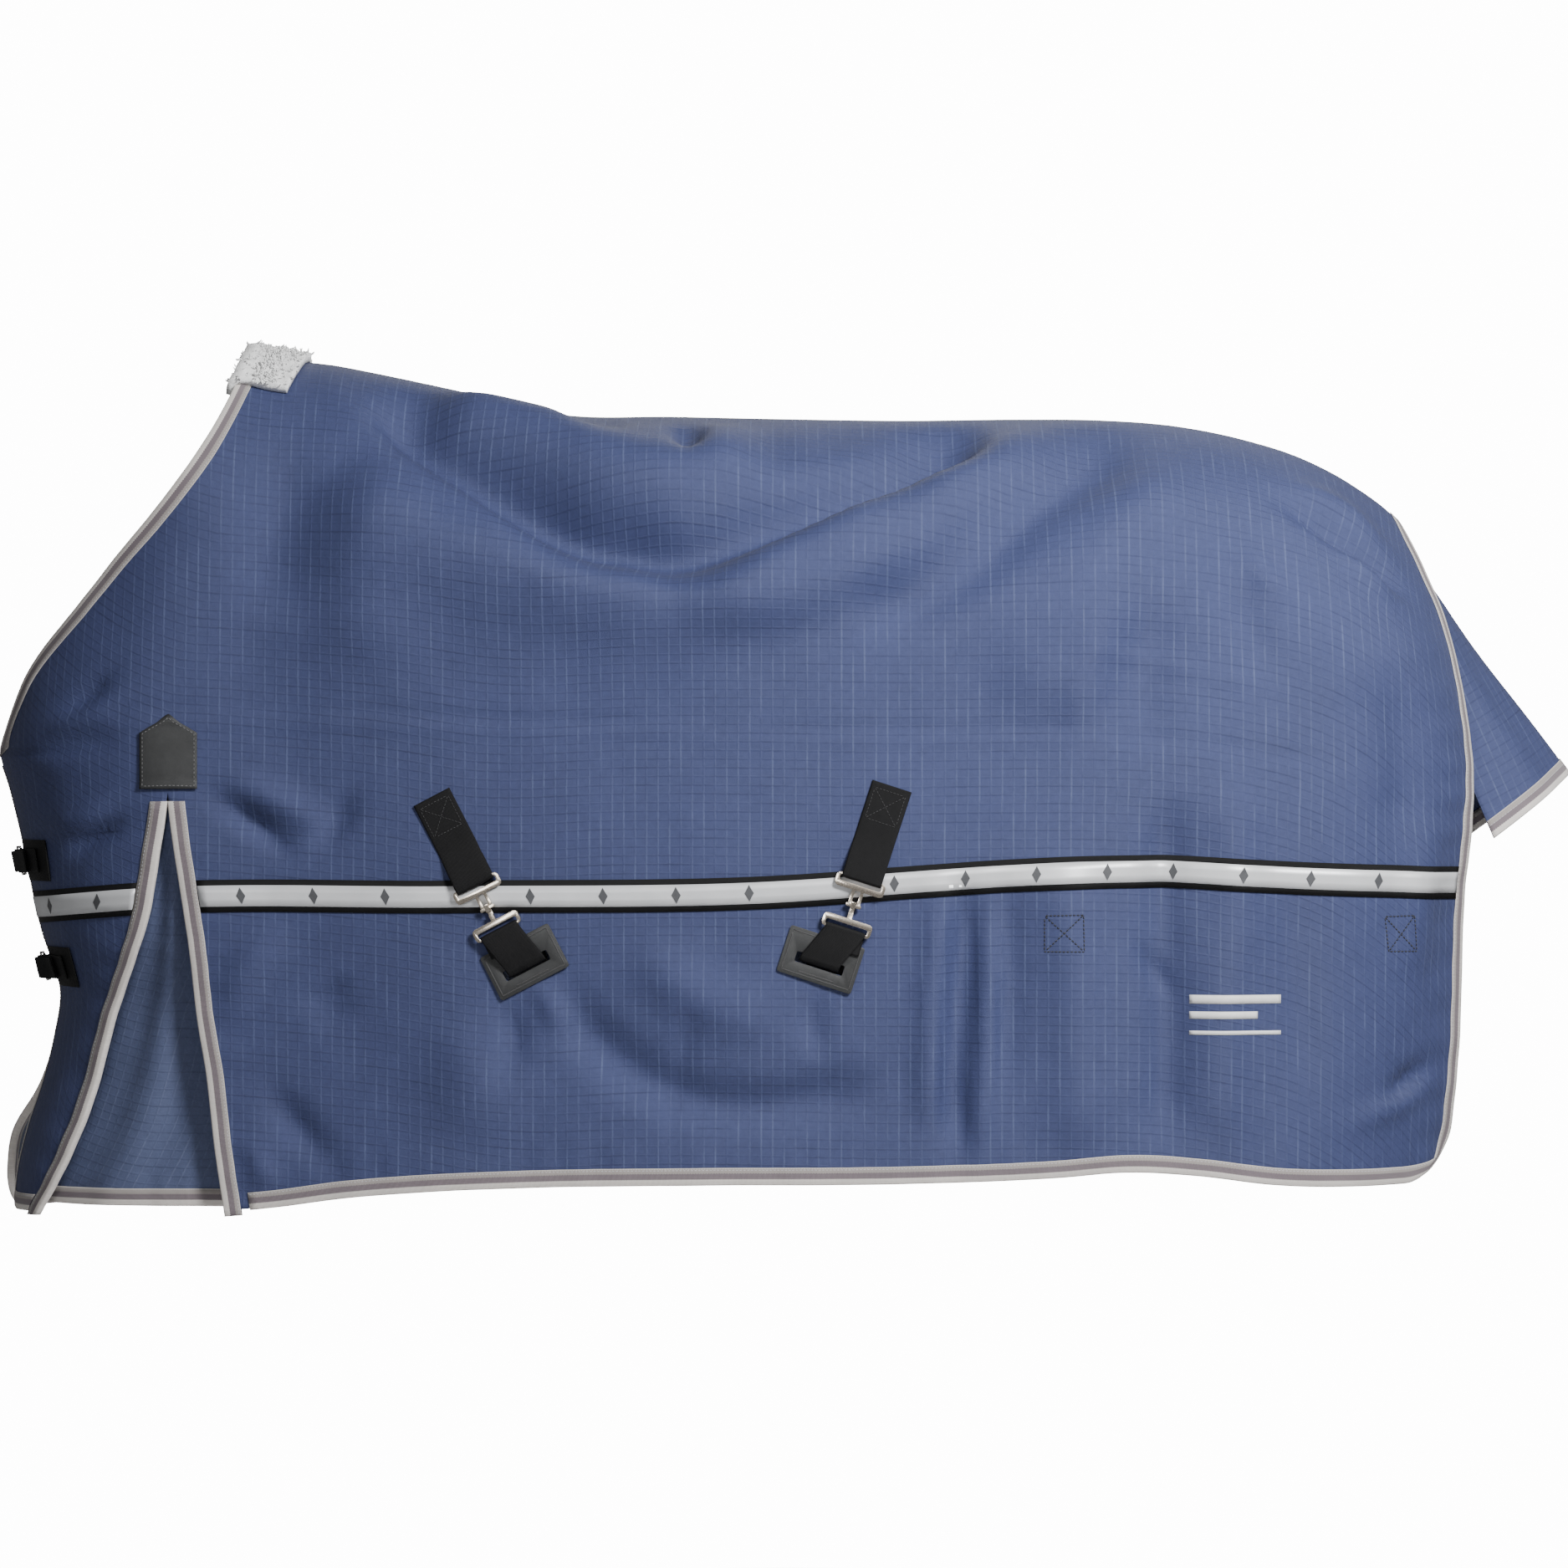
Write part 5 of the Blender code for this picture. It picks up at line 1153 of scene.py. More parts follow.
shell_cloth = ripstop("ripstop_blue", (0.035, 0.045, 0.113), (0.115, 0.145, 0.265),
                      (0.010, 0.013, 0.040), 0.30, 0.42)
gusset_cloth = ripstop("ripstop_gusset", (0.066, 0.082, 0.155), (0.12, 0.14, 0.23),
                       (0.030, 0.038, 0.080), 0.4, 0.5)
lining_look = lining_cloth()
binding_look = striped_binding()
strap_look = black_webbing("black_webbing", STRAP_WIDTH)
band_look = black_webbing("black_band", BAND_WIDTH)
silver_look = reflective()
nickel_look = nickel("warm_nickel", (0.78, 0.70, 0.60), (0.60, 0.53, 0.45))
steel_look = nickel("pale_steel", (0.74, 0.73, 0.71), (0.52, 0.51, 0.50))
hide_look = leather_look()
fleece_look = fleece_pile()
navy_thread = thread("navy_thread", (0.003, 0.004, 0.010), (0.007, 0.008, 0.016))
black_thread = thread("black_thread", (0.010, 0.010, 0.011), (0.035, 0.035, 0.037))
pale_thread = thread("pale_thread", (0.36, 0.38, 0.42), (0.62, 0.64, 0.68))
patch_thread = thread("patch_thread", (0.10, 0.10, 0.102), (0.16, 0.16, 0.162))
black_rim = thread("black_rim", (0.020, 0.020, 0.021), (0.035, 0.035, 0.036))
print_look = thread("pale_print", (0.50, 0.50, 0.50), (0.64, 0.64, 0.64))
mark_look = thread("dark_print", (0.035, 0.036, 0.040), (0.060, 0.062, 0.068))

# ---------------------------------------------------------------- camera, light and floor
CAMERA_DISTANCE = 7.0
EYE_LEVEL = -0.456
camera_data = bpy.data.cameras.new("camera")
camera_data.lens = 126.8
camera_data.sensor_width = 36.0
camera_data.dof.use_dof = False
camera = bpy.data.objects.new("camera", camera_data)
camera.location = (0.0, -CAMERA_DISTANCE, EYE_LEVEL)
camera.rotation_euler = (math.radians(90), 0.0, 0.0)
bpy.context.scene.collection.objects.link(camera)
bpy.context.scene.camera = camera


def soft_light(name, place, aim, size, power, tint=(1.0, 1.0, 1.0)):
    lamp = bpy.data.lights.new(name, "AREA")
    lamp.shape = "RECTANGLE"
    lamp.size = size[0]
    lamp.size_y = size[1]
    lamp.energy = power
    lamp.color = tint
    ob = bpy.data.objects.new(name, lamp)
    ob.location = place
    ob.rotation_euler = (Vector(aim) - Vector(place)).to_track_quat("-Z", "Y").to_euler()
    bpy.context.scene.collection.objects.link(ob)
    return ob


soft_light("key_light", (1.25, -2.3, 0.95), (0.42, -0.25, -0.22), (0.7, 0.7), 185)
soft_light("fill_light", (-1.2, -4.6, 0.1), (-0.3, 0, -0.5), (1.2, 1.2), 48)
soft_light("back_light", (0.5, 3.6, 2.2), (0, 0, -0.4), (2.6, 1.8), 30)

world = bpy.data.worlds.new("studio")
bpy.context.scene.world = world
world.use_nodes = True
sky = world.node_tree.nodes["Background"]
ray = add(world.node_tree, "ShaderNodeLightPath")
sky.inputs["Color"].default_value = (1.0, 1.0, 1.0, 1.0)
world.node_tree.links.new(
    calc(world.node_tree, "MULTIPLY_ADD", ray.outputs["Is Camera Ray"], 14.0, 0.20),
    sky.inputs["Strength"])

bpy.ops.mesh.primitive_circle_add(vertices=128, radius=1.2, fill_type="NGON",
                                  location=(0, 0, -1.62))
floor = bpy.context.object
floor.name = "studio_floor"
select_none()
floor_look, tree, shader, where = start_material("pale_floor")
cloud = noise_at(tree, where.outputs["Object"], 3.0, 3.0)
tree.links.new(blend_colors(tree, cloud, (0.86, 0.86, 0.86, 1), (0.90, 0.90, 0.90, 1)),
               shader.inputs["Base Color"])
roughen(tree, shader, cloud, 0.2, 0.6)
floor.data.materials.append(floor_look)

# ---------------------------------------------------------------- shell and lining
sewn_shell = closed_sheet("sewn_shell", net_points, net_out, net_quads, net_uv, 0.0, -SHELL_THICK)
sewn_lining = closed_sheet(
    "sewn_lining", net_points, net_out, net_quads, net_uv, -SHELL_THICK - LAYER_GAP, INNER)


class Frame:
    """A working place of a fitting: u across, v down the strap, n away from the horse."""

    def __init__(self, origin, u, v, n):
        self.o = np.array(origin, float)
        self.u = np.array(u, float)
        self.v = np.array(v, float)
        self.n = np.array(n, float)

    def at(self, u, v, n):
        return self.o + self.u * u + self.v * v + self.n * n

    def matrix(self):
        m = Matrix.Identity(4)
        for row in range(3):
            m[row][0] = self.u[row]
            m[row][1] = self.v[row]
            m[row][2] = self.n[row]
            m[row][3] = self.o[row]
        return m

    def cloth_at(self, u, v):
        """Height of the cloth in this frame."""
        hit = cloth_tree.ray_cast(Vector(self.at(u, v, 0.1)), Vector(-self.n))
        return float((np.array(hit[0]) - self.o) @ self.n)


def belly_frame(word):
    eye = JOINTS[word + "_eye_plate_swing"]
    hook = JOINTS[word + "_hook_plate_swing"]
    u = -unit(np.array(eye["axis"], float))
    v = unit(np.array(hook["pos_m"], float) - np.array(eye["pos_m"], float))
    n = -unit(np.cross(u, v))
    return Frame(np.array(eye["pos_m"]) - n * PLATE_LIFT, u, v, n)


# Where each strap's slot is, u and v
FITTINGS = {"front": (0.0095, 0.118), "rear": (-0.0172, 0.114)}
SLOT_SIZE = (STRAP_WIDTH + 0.011, 0.013)
LABEL_SIZE = (0.095, 0.059)
belly = {word: belly_frame(word) for word in FITTINGS}


def apply_modifier(ob, modifier):
    select_none()
    ob.select_set(True)
    bpy.context.view_layer.objects.active = ob
    bpy.ops.object.modifier_apply(modifier=modifier.name)
    select_none()


def cut_or_join(ob, tool, operation):
    step = ob.modifiers.new("step", "BOOLEAN")
    step.operation = operation
    step.solver = "MANIFOLD"
    step.object = tool
    apply_modifier(ob, step)
    bpy.data.objects.remove(tool, do_unlink=True)


def cut_slot(ob, where_frame, u, v):
    bpy.ops.mesh.primitive_cube_add(size=1.0, calc_uvs=False)
    tool = bpy.context.object
    tool.data.transform(Matrix.Diagonal((SLOT_SIZE[0], SLOT_SIZE[1], 0.06, 1.0)))
    tool.data.transform(Matrix.Translation((u, v, -0.012)))
    tool.data.transform(where_frame.matrix())
    if where_frame.matrix().determinant() < 0:
        tool.data.flip_normals()
    cut_or_join(ob, tool, "DIFFERENCE")


for word, (u, v) in FITTINGS.items():
    cut_slot(sewn_shell, belly[word], u, v)
    cut_slot(sewn_lining, belly[word], u, v)
finish(sewn_shell, shell_cloth, "rug", ["outer_shell"])
finish(sewn_lining, lining_look, "rug", ["lining"])

# ---------------------------------------------------------------- edge bindings
WRAP_STEPS = 3


def net_at(ids):
    ids = np.array(ids)
    return net_points[ids], net_out[ids]


def stations(rows):
    p, n = net_at(rows)
    return list(p), list(n)


def fan(edge_ids, inner_id):
    """Stations from points of an outer corner to one point inside it."""
    points = []
    outs = []
    for k in edge_ids:
        t = np.linspace(0, 1, WRAP_STEPS + 1)[:, None]
        points.append(net_points[k] * (1 - t) + net_points[inner_id] * t)
        outs.append(unit(net_out[k] * (1 - t) + net_out[inner_id] * t))
    return points, outs


def stretch_last(points, outs, length):
    """Let the tape run on past its last station."""
    way = unit(points[-1] - points[-2])
    points.append(points[-1] + way * length)
    outs.append(outs[-1])


seams = []                       # inner lines of the bindings, for their stitching


def bind(name, node, points, outs, low=INNER):
    points = np.array(points)
    outs = np.array(outs)
    seams.append((points, outs))
    binding_piece(name, points, outs, 0.0, low, binding_look, "rug", node)


points, outs = stations([net_index[-1][0][j, :WRAP_STEPS + 1] for j in range(CORNER_ROW, -1, -1)])
more = stations([net_index[1][0][j, :WRAP_STEPS + 1] for j in range(1, CORNER_ROW + 1)])
bind("neck_edge_tape", "neck_binding", points + more[0], outs + more[1])
for side, word in SIDES:
    front, back = net_index[side]
    last = front.shape[1] - 1
    wide = back.shape[1] - 1
    inner_row = HEM_ROW - WRAP_STEPS
    # chest edge, lower corner and the tongue's hem
    points, outs = stations([front[j, :WRAP_STEPS + 1]
                             for j in range(CORNER_ROW + 1, inner_row + 1)])
    corner = list(front[inner_row + 1:HEM_ROW, 0]) + list(front[HEM_ROW, :WRAP_STEPS])
    turn = fan(corner, front[inner_row, WRAP_STEPS])
    rest = stations([front[HEM_ROW:inner_row - 1:-1, i]
                     for i in range(WRAP_STEPS, last - WRAP_STEPS)])
    bind(word + "_chest_tape", word + "_chest_binding", points + turn[0] + rest[0],
         outs + turn[1] + rest[1])
    # both edges of the shoulder slit
    for grid, cols, part in (
            (front, range(last, last - WRAP_STEPS - 1, -1), "front"),
            (back, range(0, WRAP_STEPS + 1), "rear")):
        points, outs = stations([grid[j, list(cols)] for j in range(SLIT_ROW + 1, HEM_ROW + 1)])
        stretch_last(points, outs, 0.0075)
        bind(word + "_slit_" + part + "_tape", word + "_slit_" + part + "_binding", points, outs)
    # hem, rear corner and rear edge
    points, outs = stations([back[HEM_ROW:inner_row - 1:-1, i]
                             for i in range(WRAP_STEPS + 1, wide - WRAP_STEPS + 1)])
    corner = list(back[HEM_ROW, wide - WRAP_STEPS + 1:])
    corner += list(back[HEM_ROW - 1:inner_row:-1, wide])
    turn = fan(corner, back[inner_row, wide - WRAP_STEPS])
    cols = list(range(wide, wide - WRAP_STEPS - 1, -1))
    rest = stations([back[j, cols] for j in range(inner_row, 0, -1)])
    bind(word + "_hem_tape", word + "_hem_binding", points + turn[0] + rest[0],
         outs + turn[1] + rest[1])


# ---------------------------------------------------------------- reflective bands
MARK_STEP = 0.0910
MARK_HALF = (0.0058, 0.0105)
MARK_START = {"front": (0.053, 2), "rear": (0.052, 17)}
UNDER_STRAPS = ((-0.425, -0.335), (0.045, 0.115))


def band_grid(ids, first, last):
    """Points and directions of the band's rows between two heights, in metres from its top."""
    rows = BAND_END - BAND_ROW
    p, n = net_at(ids[BAND_ROW:BAND_END + 1])
    at = np.array([first] + [k * BAND_WIDTH / rows for k in range(rows + 1)
                             if first + 0.001 < k * BAND_WIDTH / rows < last - 0.001] + [last])
    t = at / BAND_WIDTH * rows
    return between(p, t), unit(between(n, t))


WEB_HIGH = LAYER_GAP + 0.0012
TAPE_HIGH = WEB_HIGH + LAYER_GAP + 0.0004
for side, word in SIDES:
    front, back = net_index[side]
    for grid, part in ((front, "front"), (back, "rear")):
        ids = grid[:, WRAP_STEPS:grid.shape[1] - WRAP_STEPS]
        p, n = band_grid(ids, 0.0, BAND_WIDTH)
        p[:, 0] = p[:, 0] * 0.93 + p[:, 1] * 0.07
        p[:, -1] = p[:, -1] * 0.93 + p[:, -2] * 0.07
        uv = np.stack([run_length(p, 1), run_length(p, 0) / BAND_WIDTH], -1)
        ob = grid_sheet(word + "_" + part + "_webbing_band", p, n, uv, WEB_HIGH, LAYER_GAP)
        finish(ob, band_look, "rug", [word + "_" + part + "_band"])
        edge = (BAND_WIDTH - TAPE_WIDTH) / 2
        p, n = band_grid(ids, edge, BAND_WIDTH - edge)
        p[:, 0] = p[:, 0] * 0.9 + p[:, 1] * 0.1
        p[:, -1] = p[:, -1] * 0.9 + p[:, -2] * 0.1
        heights = run_length(p, 0).mean(1)
        middle = heights[-1] / 2
        ob = grid_sheet(word + "_" + part + "_silver_tape", p, n, metre_uv(p), TAPE_HIGH,
                        WEB_HIGH + LAYER_GAP)
        finish(ob, silver_look, "rug", [word + "_" + part + "_reflective_tape"])

        # printed lozenges along the tape
        run = run_length(p[3:4], 1)[0]
        if part == "front":
            run = run[-1] - run
            p = p[:, ::-1]
            n = n[:, ::-1]
            run = run[::-1]
        start, count = MARK_START[part]
        verts = []
        faces = []
        for k in range(count):
            s = start + k * MARK_STEP * (1.0 if part == "front" else 1.0 - 0.0018 * k)
            if s + 0.01 > run[-1]:
                break
            x_mid = float(np.interp(s, run, p[3, :, 0]))
            if side < 0 and any(a < x_mid < b for a, b in UNDER_STRAPS):
                continue
            base = len(verts)
            ring = []
            for a, b in ((0, 1), (0.55, 0.42), (1, 0), (0.55, -0.42), (0, -1), (-0.55, -0.42),
                         (-1, 0), (-0.55, 0.42)):
                su = s + a * MARK_HALF[0]
                r = float(np.interp(middle + b * MARK_HALF[1], heights, range(len(heights))))
                k0 = min(int(r), p.shape[0] - 2)
                f = r - k0
                spot = []
                for q in range(3):
                    lo = np.interp(su, run, p[k0, :, q])
                    hi = np.interp(su, run, p[k0 + 1, :, q])
                    spot.append(lo * (1 - f) + hi * f)
                way = unit(np.array([np.interp(su, run, n[k0, :, q]) for q in range(3)]))
                ring.append((np.array(spot), way))
            verts += [q + w * (TAPE_HIGH + 0.00045) for q, w in ring]
            verts += [q + w * (TAPE_HIGH + 0.00005) for q, w in ring]
            top = [base + q for q in range(8)]
            if side * (1 if part == "front" else -1) > 0:
                top.reverse()
            faces.append(top[::-1])
            faces.append([q + 8 for q in top])
            for q in range(8):
                faces.append([top[q], top[(q + 1) % 8], top[(q + 1) % 8] + 8, top[q] + 8])
        if verts:
            ob = mesh_piece(word + "_" + part + "_tape_marks", verts, faces, smooth=False)
            face_outward(ob)
            finish(ob, mark_look, "rug")

# ---------------------------------------------------------------- places on the sewn cloth
cloth_tree = BVHTree.FromPolygons(net_points.tolist(), net_quads.tolist())


def on_cloth(start, way):
    """Where a line meets the cloth, with the direction off it."""
    hit = cloth_tree.ray_cast(Vector(start), Vector(way))
    n = hit[1] if hit[1].dot(Vector(way)) < 0 else -hit[1]
    return np.array(hit[0]), np.array(n)


def on_side(x, z, side):
    return on_cloth((x, side * 2.0, z), (0, -side, 0))


def on_chest(y, z):
    return on_cloth((-2.0, y, z), (1, 0, 0))


def rod_lines(lines, radius, raise_by):
    """Vertices and faces of thin four-sided rods along lines of (points, directions)."""
    verts = []
    faces = []
    for points, outs in lines:
        way = unit(np.gradient(points, axis=0))
        side = unit(np.cross(way, outs))
        base = len(verts)
        last = len(points) - 1
        for k in range(last + 1):
            lift = raise_by if 0 < k < last or last > 4 else -radius * 0.5
            centre = points[k] + outs[k] * lift
            verts += [centre + outs[k] * radius * 0.8, centre + side[k] * radius,
                      centre - outs[k] * radius * 0.8, centre - side[k] * radius]
        for k in range(last):
            a = base + 4 * k
            faces += [[a + q, a + (q + 1) % 4, a + 4 + (q + 1) % 4, a + 4 + q] for q in range(4)]
        faces.append([base + 3, base + 2, base + 1, base])
        faces.append([base + 4 * last + q for q in range(4)])
    return verts, faces


def rods(name, lines, radius, raise_by, material, body):
    verts, faces = rod_lines(lines, radius, raise_by)
    ob = mesh_piece(name, verts, faces)
    face_outward(ob)
    return finish(ob, material, body)


def dashes(points, outs, length=0.0026, gap=0.0014):
    """Stitches along a line, each of three points."""
    run = run_length(points[:, None], 0)[:, 0]
    lines = []
    at = gap
    while at + length < run[-1]:
        s = np.array([at, at + length / 2, at + length])
        p = np.stack([np.interp(s, run, points[:, q]) for q in range(3)], -1)
        n = unit(np.stack([np.interp(s, run, outs[:, q]) for q in range(3)], -1))
        lines.append((p, n))
        at += length + gap
    return lines


def cloth_line(corners, side, lift, closed=False, step=0.004):
    """A line on the cloth through corners given as (x, z)."""
    corners = [np.array(c, float) for c in corners]
    if closed:
        corners.append(corners[0])
    spots = []
    for a, b in zip(corners, corners[1:]):
        n = max(2, int(np.linalg.norm(b - a) / step))
        spots += [a + (b - a) * k / n for k in range(n)]
    spots.append(corners[-1])
    hits = [on_side(s[0], s[1], side) for s in spots]
    points = np.array([h[0] for h in hits])
    outs = np.array([h[1] for h in hits])
    return points + outs * lift, outs


# stitching along the inner side of each binding
SEAM_AT = 0.86
SEAM_LIFT = LAYER_GAP + 0.0010
SEAM_STITCH = 0.0030
SEAM_GAP = 0.0016
SEAM_RADIUS = 0.00028
SEAM_RAISE = 0.00012
lines = []
for points, outs in seams:
    wide = points.shape[1] - 1
    k = int(SEAM_AT * wide)
    f = SEAM_AT * wide - k
    p = points[:, k] * (1 - f) + points[:, k + 1] * f + outs[:, k] * SEAM_LIFT
    lines += dashes(p, outs[:, k], SEAM_STITCH, SEAM_GAP)
rods("binding_seams", lines, SEAM_RADIUS, SEAM_RAISE, pale_thread, "rug")

# ---------------------------------------------------------------- shoulder gussets
GUSSET_TOP_Z = -0.482
GUSSET_HEM_Z = -0.977
GUSSET_LENGTH = 0.495
GUSSET_THICK = 0.0030


def gusset_grid(side, rows, columns):
    """Points and outward directions of a gusset; it tucks in behind both edges of the slit."""
    t = np.linspace(0, 1, rows)
    taped = BINDING_WIDTH / GUSSET_LENGTH * np.linspace(1, 0, WRAP_STEPS + 1)
    t = np.concatenate([t[t < 0.955], 1.0 - taped])
    z = GUSSET_TOP_Z + (GUSSET_HEM_Z - GUSSET_TOP_Z) * t
    a = slit_front_x(z)
    b = slit_rear_x(z)
    tuck = 0.014 + 0.020 * ease(t * 2.5)
    wide = half_width(a, z)
    x0 = a - tuck
    for k in range(len(t)):
        if wide[k] < 0.17:
            aim = max(0.030, float(wide[k] - tuck[k]))
            x0[k] = max(x0[k], solve(lambda v: float(half_width(v, z[k])), aim, -1.02, float(a[k])))
    x1 = b + tuck
    s = np.linspace(0, 1, columns)[None]
    x = x0[:, None] + (x1 - x0)[:, None] * s
    z = np.repeat(z[:, None], columns, 1)
    t = np.repeat(t[:, None], columns, 1)
    p = skin(x, z, side)
    n = grid_normals(p, side)
    depth = 0.0135 + 0.016 * ease(t * 1.3) * (0.55 + 0.45 * np.sin(math.pi * s))
    middle = np.sin(math.pi * s) * ease(t * 3)
    wave = 0.0042 * np.sin(s * 9.5 + 2.2 * t + side) + 0.0026 * np.sin(s * 17 + 5 * t * t + 1.0)
    wave += 0.0035 * np.sin(t * 15 + s * 3.5 + side) * (1 - t)
    p = p - n * (depth + middle * (0.003 + wave))[..., None]
    p += n * (fold_height(x, z, side) * (1 - 0.6 * middle))[..., None]
    return p, grid_normals(p, side)


for side, word in SIDES:
    p, n = gusset_grid(side, 76, 40)
    ob = grid_sheet(word + "_gusset_cloth", p, n, metre_uv(p), 0.0, -GUSSET_THICK)
    finish(ob, gusset_cloth, "rug", [word + "_shoulder_gusset"])
    edge = p.shape[0] - 1
    points = [p[edge:edge - WRAP_STEPS - 1:-1, i] for i in range(p.shape[1])]
    outs = [n[edge:edge - WRAP_STEPS - 1:-1, i] for i in range(p.shape[1])]
    bind(word + "_gusset_tape", word + "_gusset_hem_binding", points, outs, low=-GUSSET_THICK)

# ---------------------------------------------------------------- tail flap
FLAP_ROOT = np.array((0.765, 0.0, -0.134))
FLAP_WAY = unit(np.array((0.590, 0.0, -0.807)))
FLAP_IN = unit(np.array((-0.807, 0.0, -0.590)))
FLAP_THICK = 0.0040
FLAP_HALF = (0.074, 0.136)         # half width at the dock and at the hem
FLAP_DEEP = (0.045, 0.150)         # depth of its curve at the same places
taped = BINDING_WIDTH / TAIL_FLAP_LENGTH
t = np.concatenate([np.linspace(0, 1 - taped, 44)[:-1],
                    1.0 - taped * np.linspace(1, 0, WRAP_STEPS + 1)])[:, None]
turn = np.radians(np.linspace(-84, 84, 73))[None]
half = FLAP_HALF[0] + (FLAP_HALF[1] - FLAP_HALF[0]) * t
deep = FLAP_DEEP[0] + (FLAP_DEEP[1] - FLAP_DEEP[0]) * t
p = FLAP_ROOT + FLAP_WAY * (TAIL_FLAP_LENGTH * t)[..., None]
east = np.array((0, 1.0, 0))
p = p + east * (half * np.sin(turn))[..., None] + FLAP_IN * (deep * (1 - np.cos(turn)))[..., None]
n = -FLAP_IN * (np.cos(turn) * half)[..., None] + east * (deep * np.sin(turn))[..., None]
n = unit(n)
free = ease(t * 3.0) * np.cos(turn * 0.98)
wave = 0.0030 * np.sin(turn * 5.2 + 1.1 * t + 0.4) + 0.0016 * np.sin(turn * 9.5 - 3.0 * t) * t
wave = wave + 0.0030 * np.sin(9.0 * t + turn * 1.7) * (1 - t)
flap_points = p + n * (wave * free)[..., None]
flap_out = quad_normals(flap_points.reshape(-1, 3),
                        grid_quads(*flap_points.shape[:2])).reshape(flap_points.shape)
if np.sum(flap_out * n) < 0:
    flap_out = -flap_out
flap_cloth = grid_sheet("flap_cloth", flap_points, flap_out, metre_uv(flap_points), 0.0,
                        -FLAP_THICK)
finish(flap_cloth, shell_cloth, "tail_flap", ["tail_flap"])
edge = flap_points.shape[0] - 1
points = np.array([flap_points[edge:edge - WRAP_STEPS - 1:-1, i]
                   for i in range(flap_points.shape[1])])
outs = np.array([flap_out[edge:edge - WRAP_STEPS - 1:-1, i] for i in range(flap_points.shape[1])])
binding_piece("flap_tape", points, outs, 0.0, -FLAP_THICK, binding_look, "tail_flap",
              "tail_flap_binding")
p = points[:, 2] + outs[:, 2] * SEAM_LIFT
rods("flap_seam", dashes(p, outs[:, 2], SEAM_STITCH, SEAM_GAP), SEAM_RADIUS, SEAM_RAISE,
     pale_thread, "tail_flap")
p = flap_points[2] + flap_out[2] * 0.0003
rods("flap_top_seam", dashes(p, flap_out[2], SEAM_STITCH, SEAM_GAP), 0.00030, SEAM_RAISE,
     navy_thread, "tail_flap")

# ---------------------------------------------------------------- fleece over the withers
FLEECE_THICK = 0.0110
FLEECE_SPREAD = 0.0016             # how far the pile's backing stands off the cloth on both sides
PILE_OUTSIDE = 0.0075              # points farther than this from the cloth carry the clumps
TUFTS = 2600
TUFT_SEED = 12
order = [(-1, j) for j in range(6, 0, -1)] + [(1, j) for j in range(0, 7)]
points, outs = net_at(np.array([net_index[side][0][j] for side, j in order]))
steps = np.linspace(0, len(order) - 1, (len(order) - 1) * 4 + 1)
points = between(points, steps)
outs = unit(between(outs, steps))
columns = np.linspace(0, points.shape[1] - 1, 64)
points = between(points, columns, 1)
outs = unit(between(outs, columns, 1))
wither_pile = binding_piece("wither_pile", points, outs, FLEECE_SPREAD, INNER - FLEECE_SPREAD,
                            fleece_look, "rug", "wither_fleece", thick=FLEECE_THICK)
pile_points = wither_pile.data.vertices
co = np.zeros(len(pile_points) * 3)
nor = np.zeros(len(pile_points) * 3)
pile_points.foreach_get("co", co)
pile_points.foreach_get("normal", nor)
co = co.reshape(-1, 3)
nor = nor.reshape(-1, 3)
height = np.zeros(len(co))
for k in range(len(co)):
    near = cloth_tree.find_nearest(Vector(co[k]))
    if near[3] < PILE_OUTSIDE:
        continue
    clump = noise.noise(Vector(co[k] * 120.0)) + 0.6 * noise.noise(Vector(co[k] * 260.0))
    height[k] = 0.0024 * clump
co += nor * height[:, None]
pile_points.foreach_set("co", co.ravel())
wither_pile.data.update()
rng = np.random.default_rng(TUFT_SEED)
outer = np.nonzero(height != 0)[0]
verts = []
faces = []
for k in rng.choice(outer, TUFTS):
    spot = co[k] + rng.normal(0, 0.0012, 3)
    way = unit(nor[k] + rng.normal(0, 0.45, 3))
    side_way = unit(np.cross(way, rng.normal(0, 1, 3)))
    other = np.cross(way, side_way)
    size = rng.uniform(0.0009, 0.0017)
    tall = rng.uniform(0.0025, 0.0052)
    bend = side_way * tall * rng.uniform(-0.5, 0.5)
    base = len(verts)
    for level, wide in ((-0.25, 1.0), (0.45, 0.95), (0.85, 0.5)):
        centre = spot + way * tall * level + bend * max(0.0, level) ** 2
        for q in range(4):
            a = q * math.pi / 2 + level
            verts.append(centre + (side_way * math.cos(a) + other * math.sin(a)) * size * wide)
    verts.append(spot + way * tall + bend)
    for level in range(2):
        for q in range(4):
            a = base + level * 4
            faces.append([a + q, a + (q + 1) % 4, a + 4 + (q + 1) % 4, a + 4 + q])
    faces += [[base + 8 + q, base + 8 + (q + 1) % 4, base + 12] for q in range(4)]
    faces.append([base + 3, base + 2, base + 1, base])
ob = mesh_piece("wither_tufts", verts, faces)
finish(ob, fleece_look, "rug")

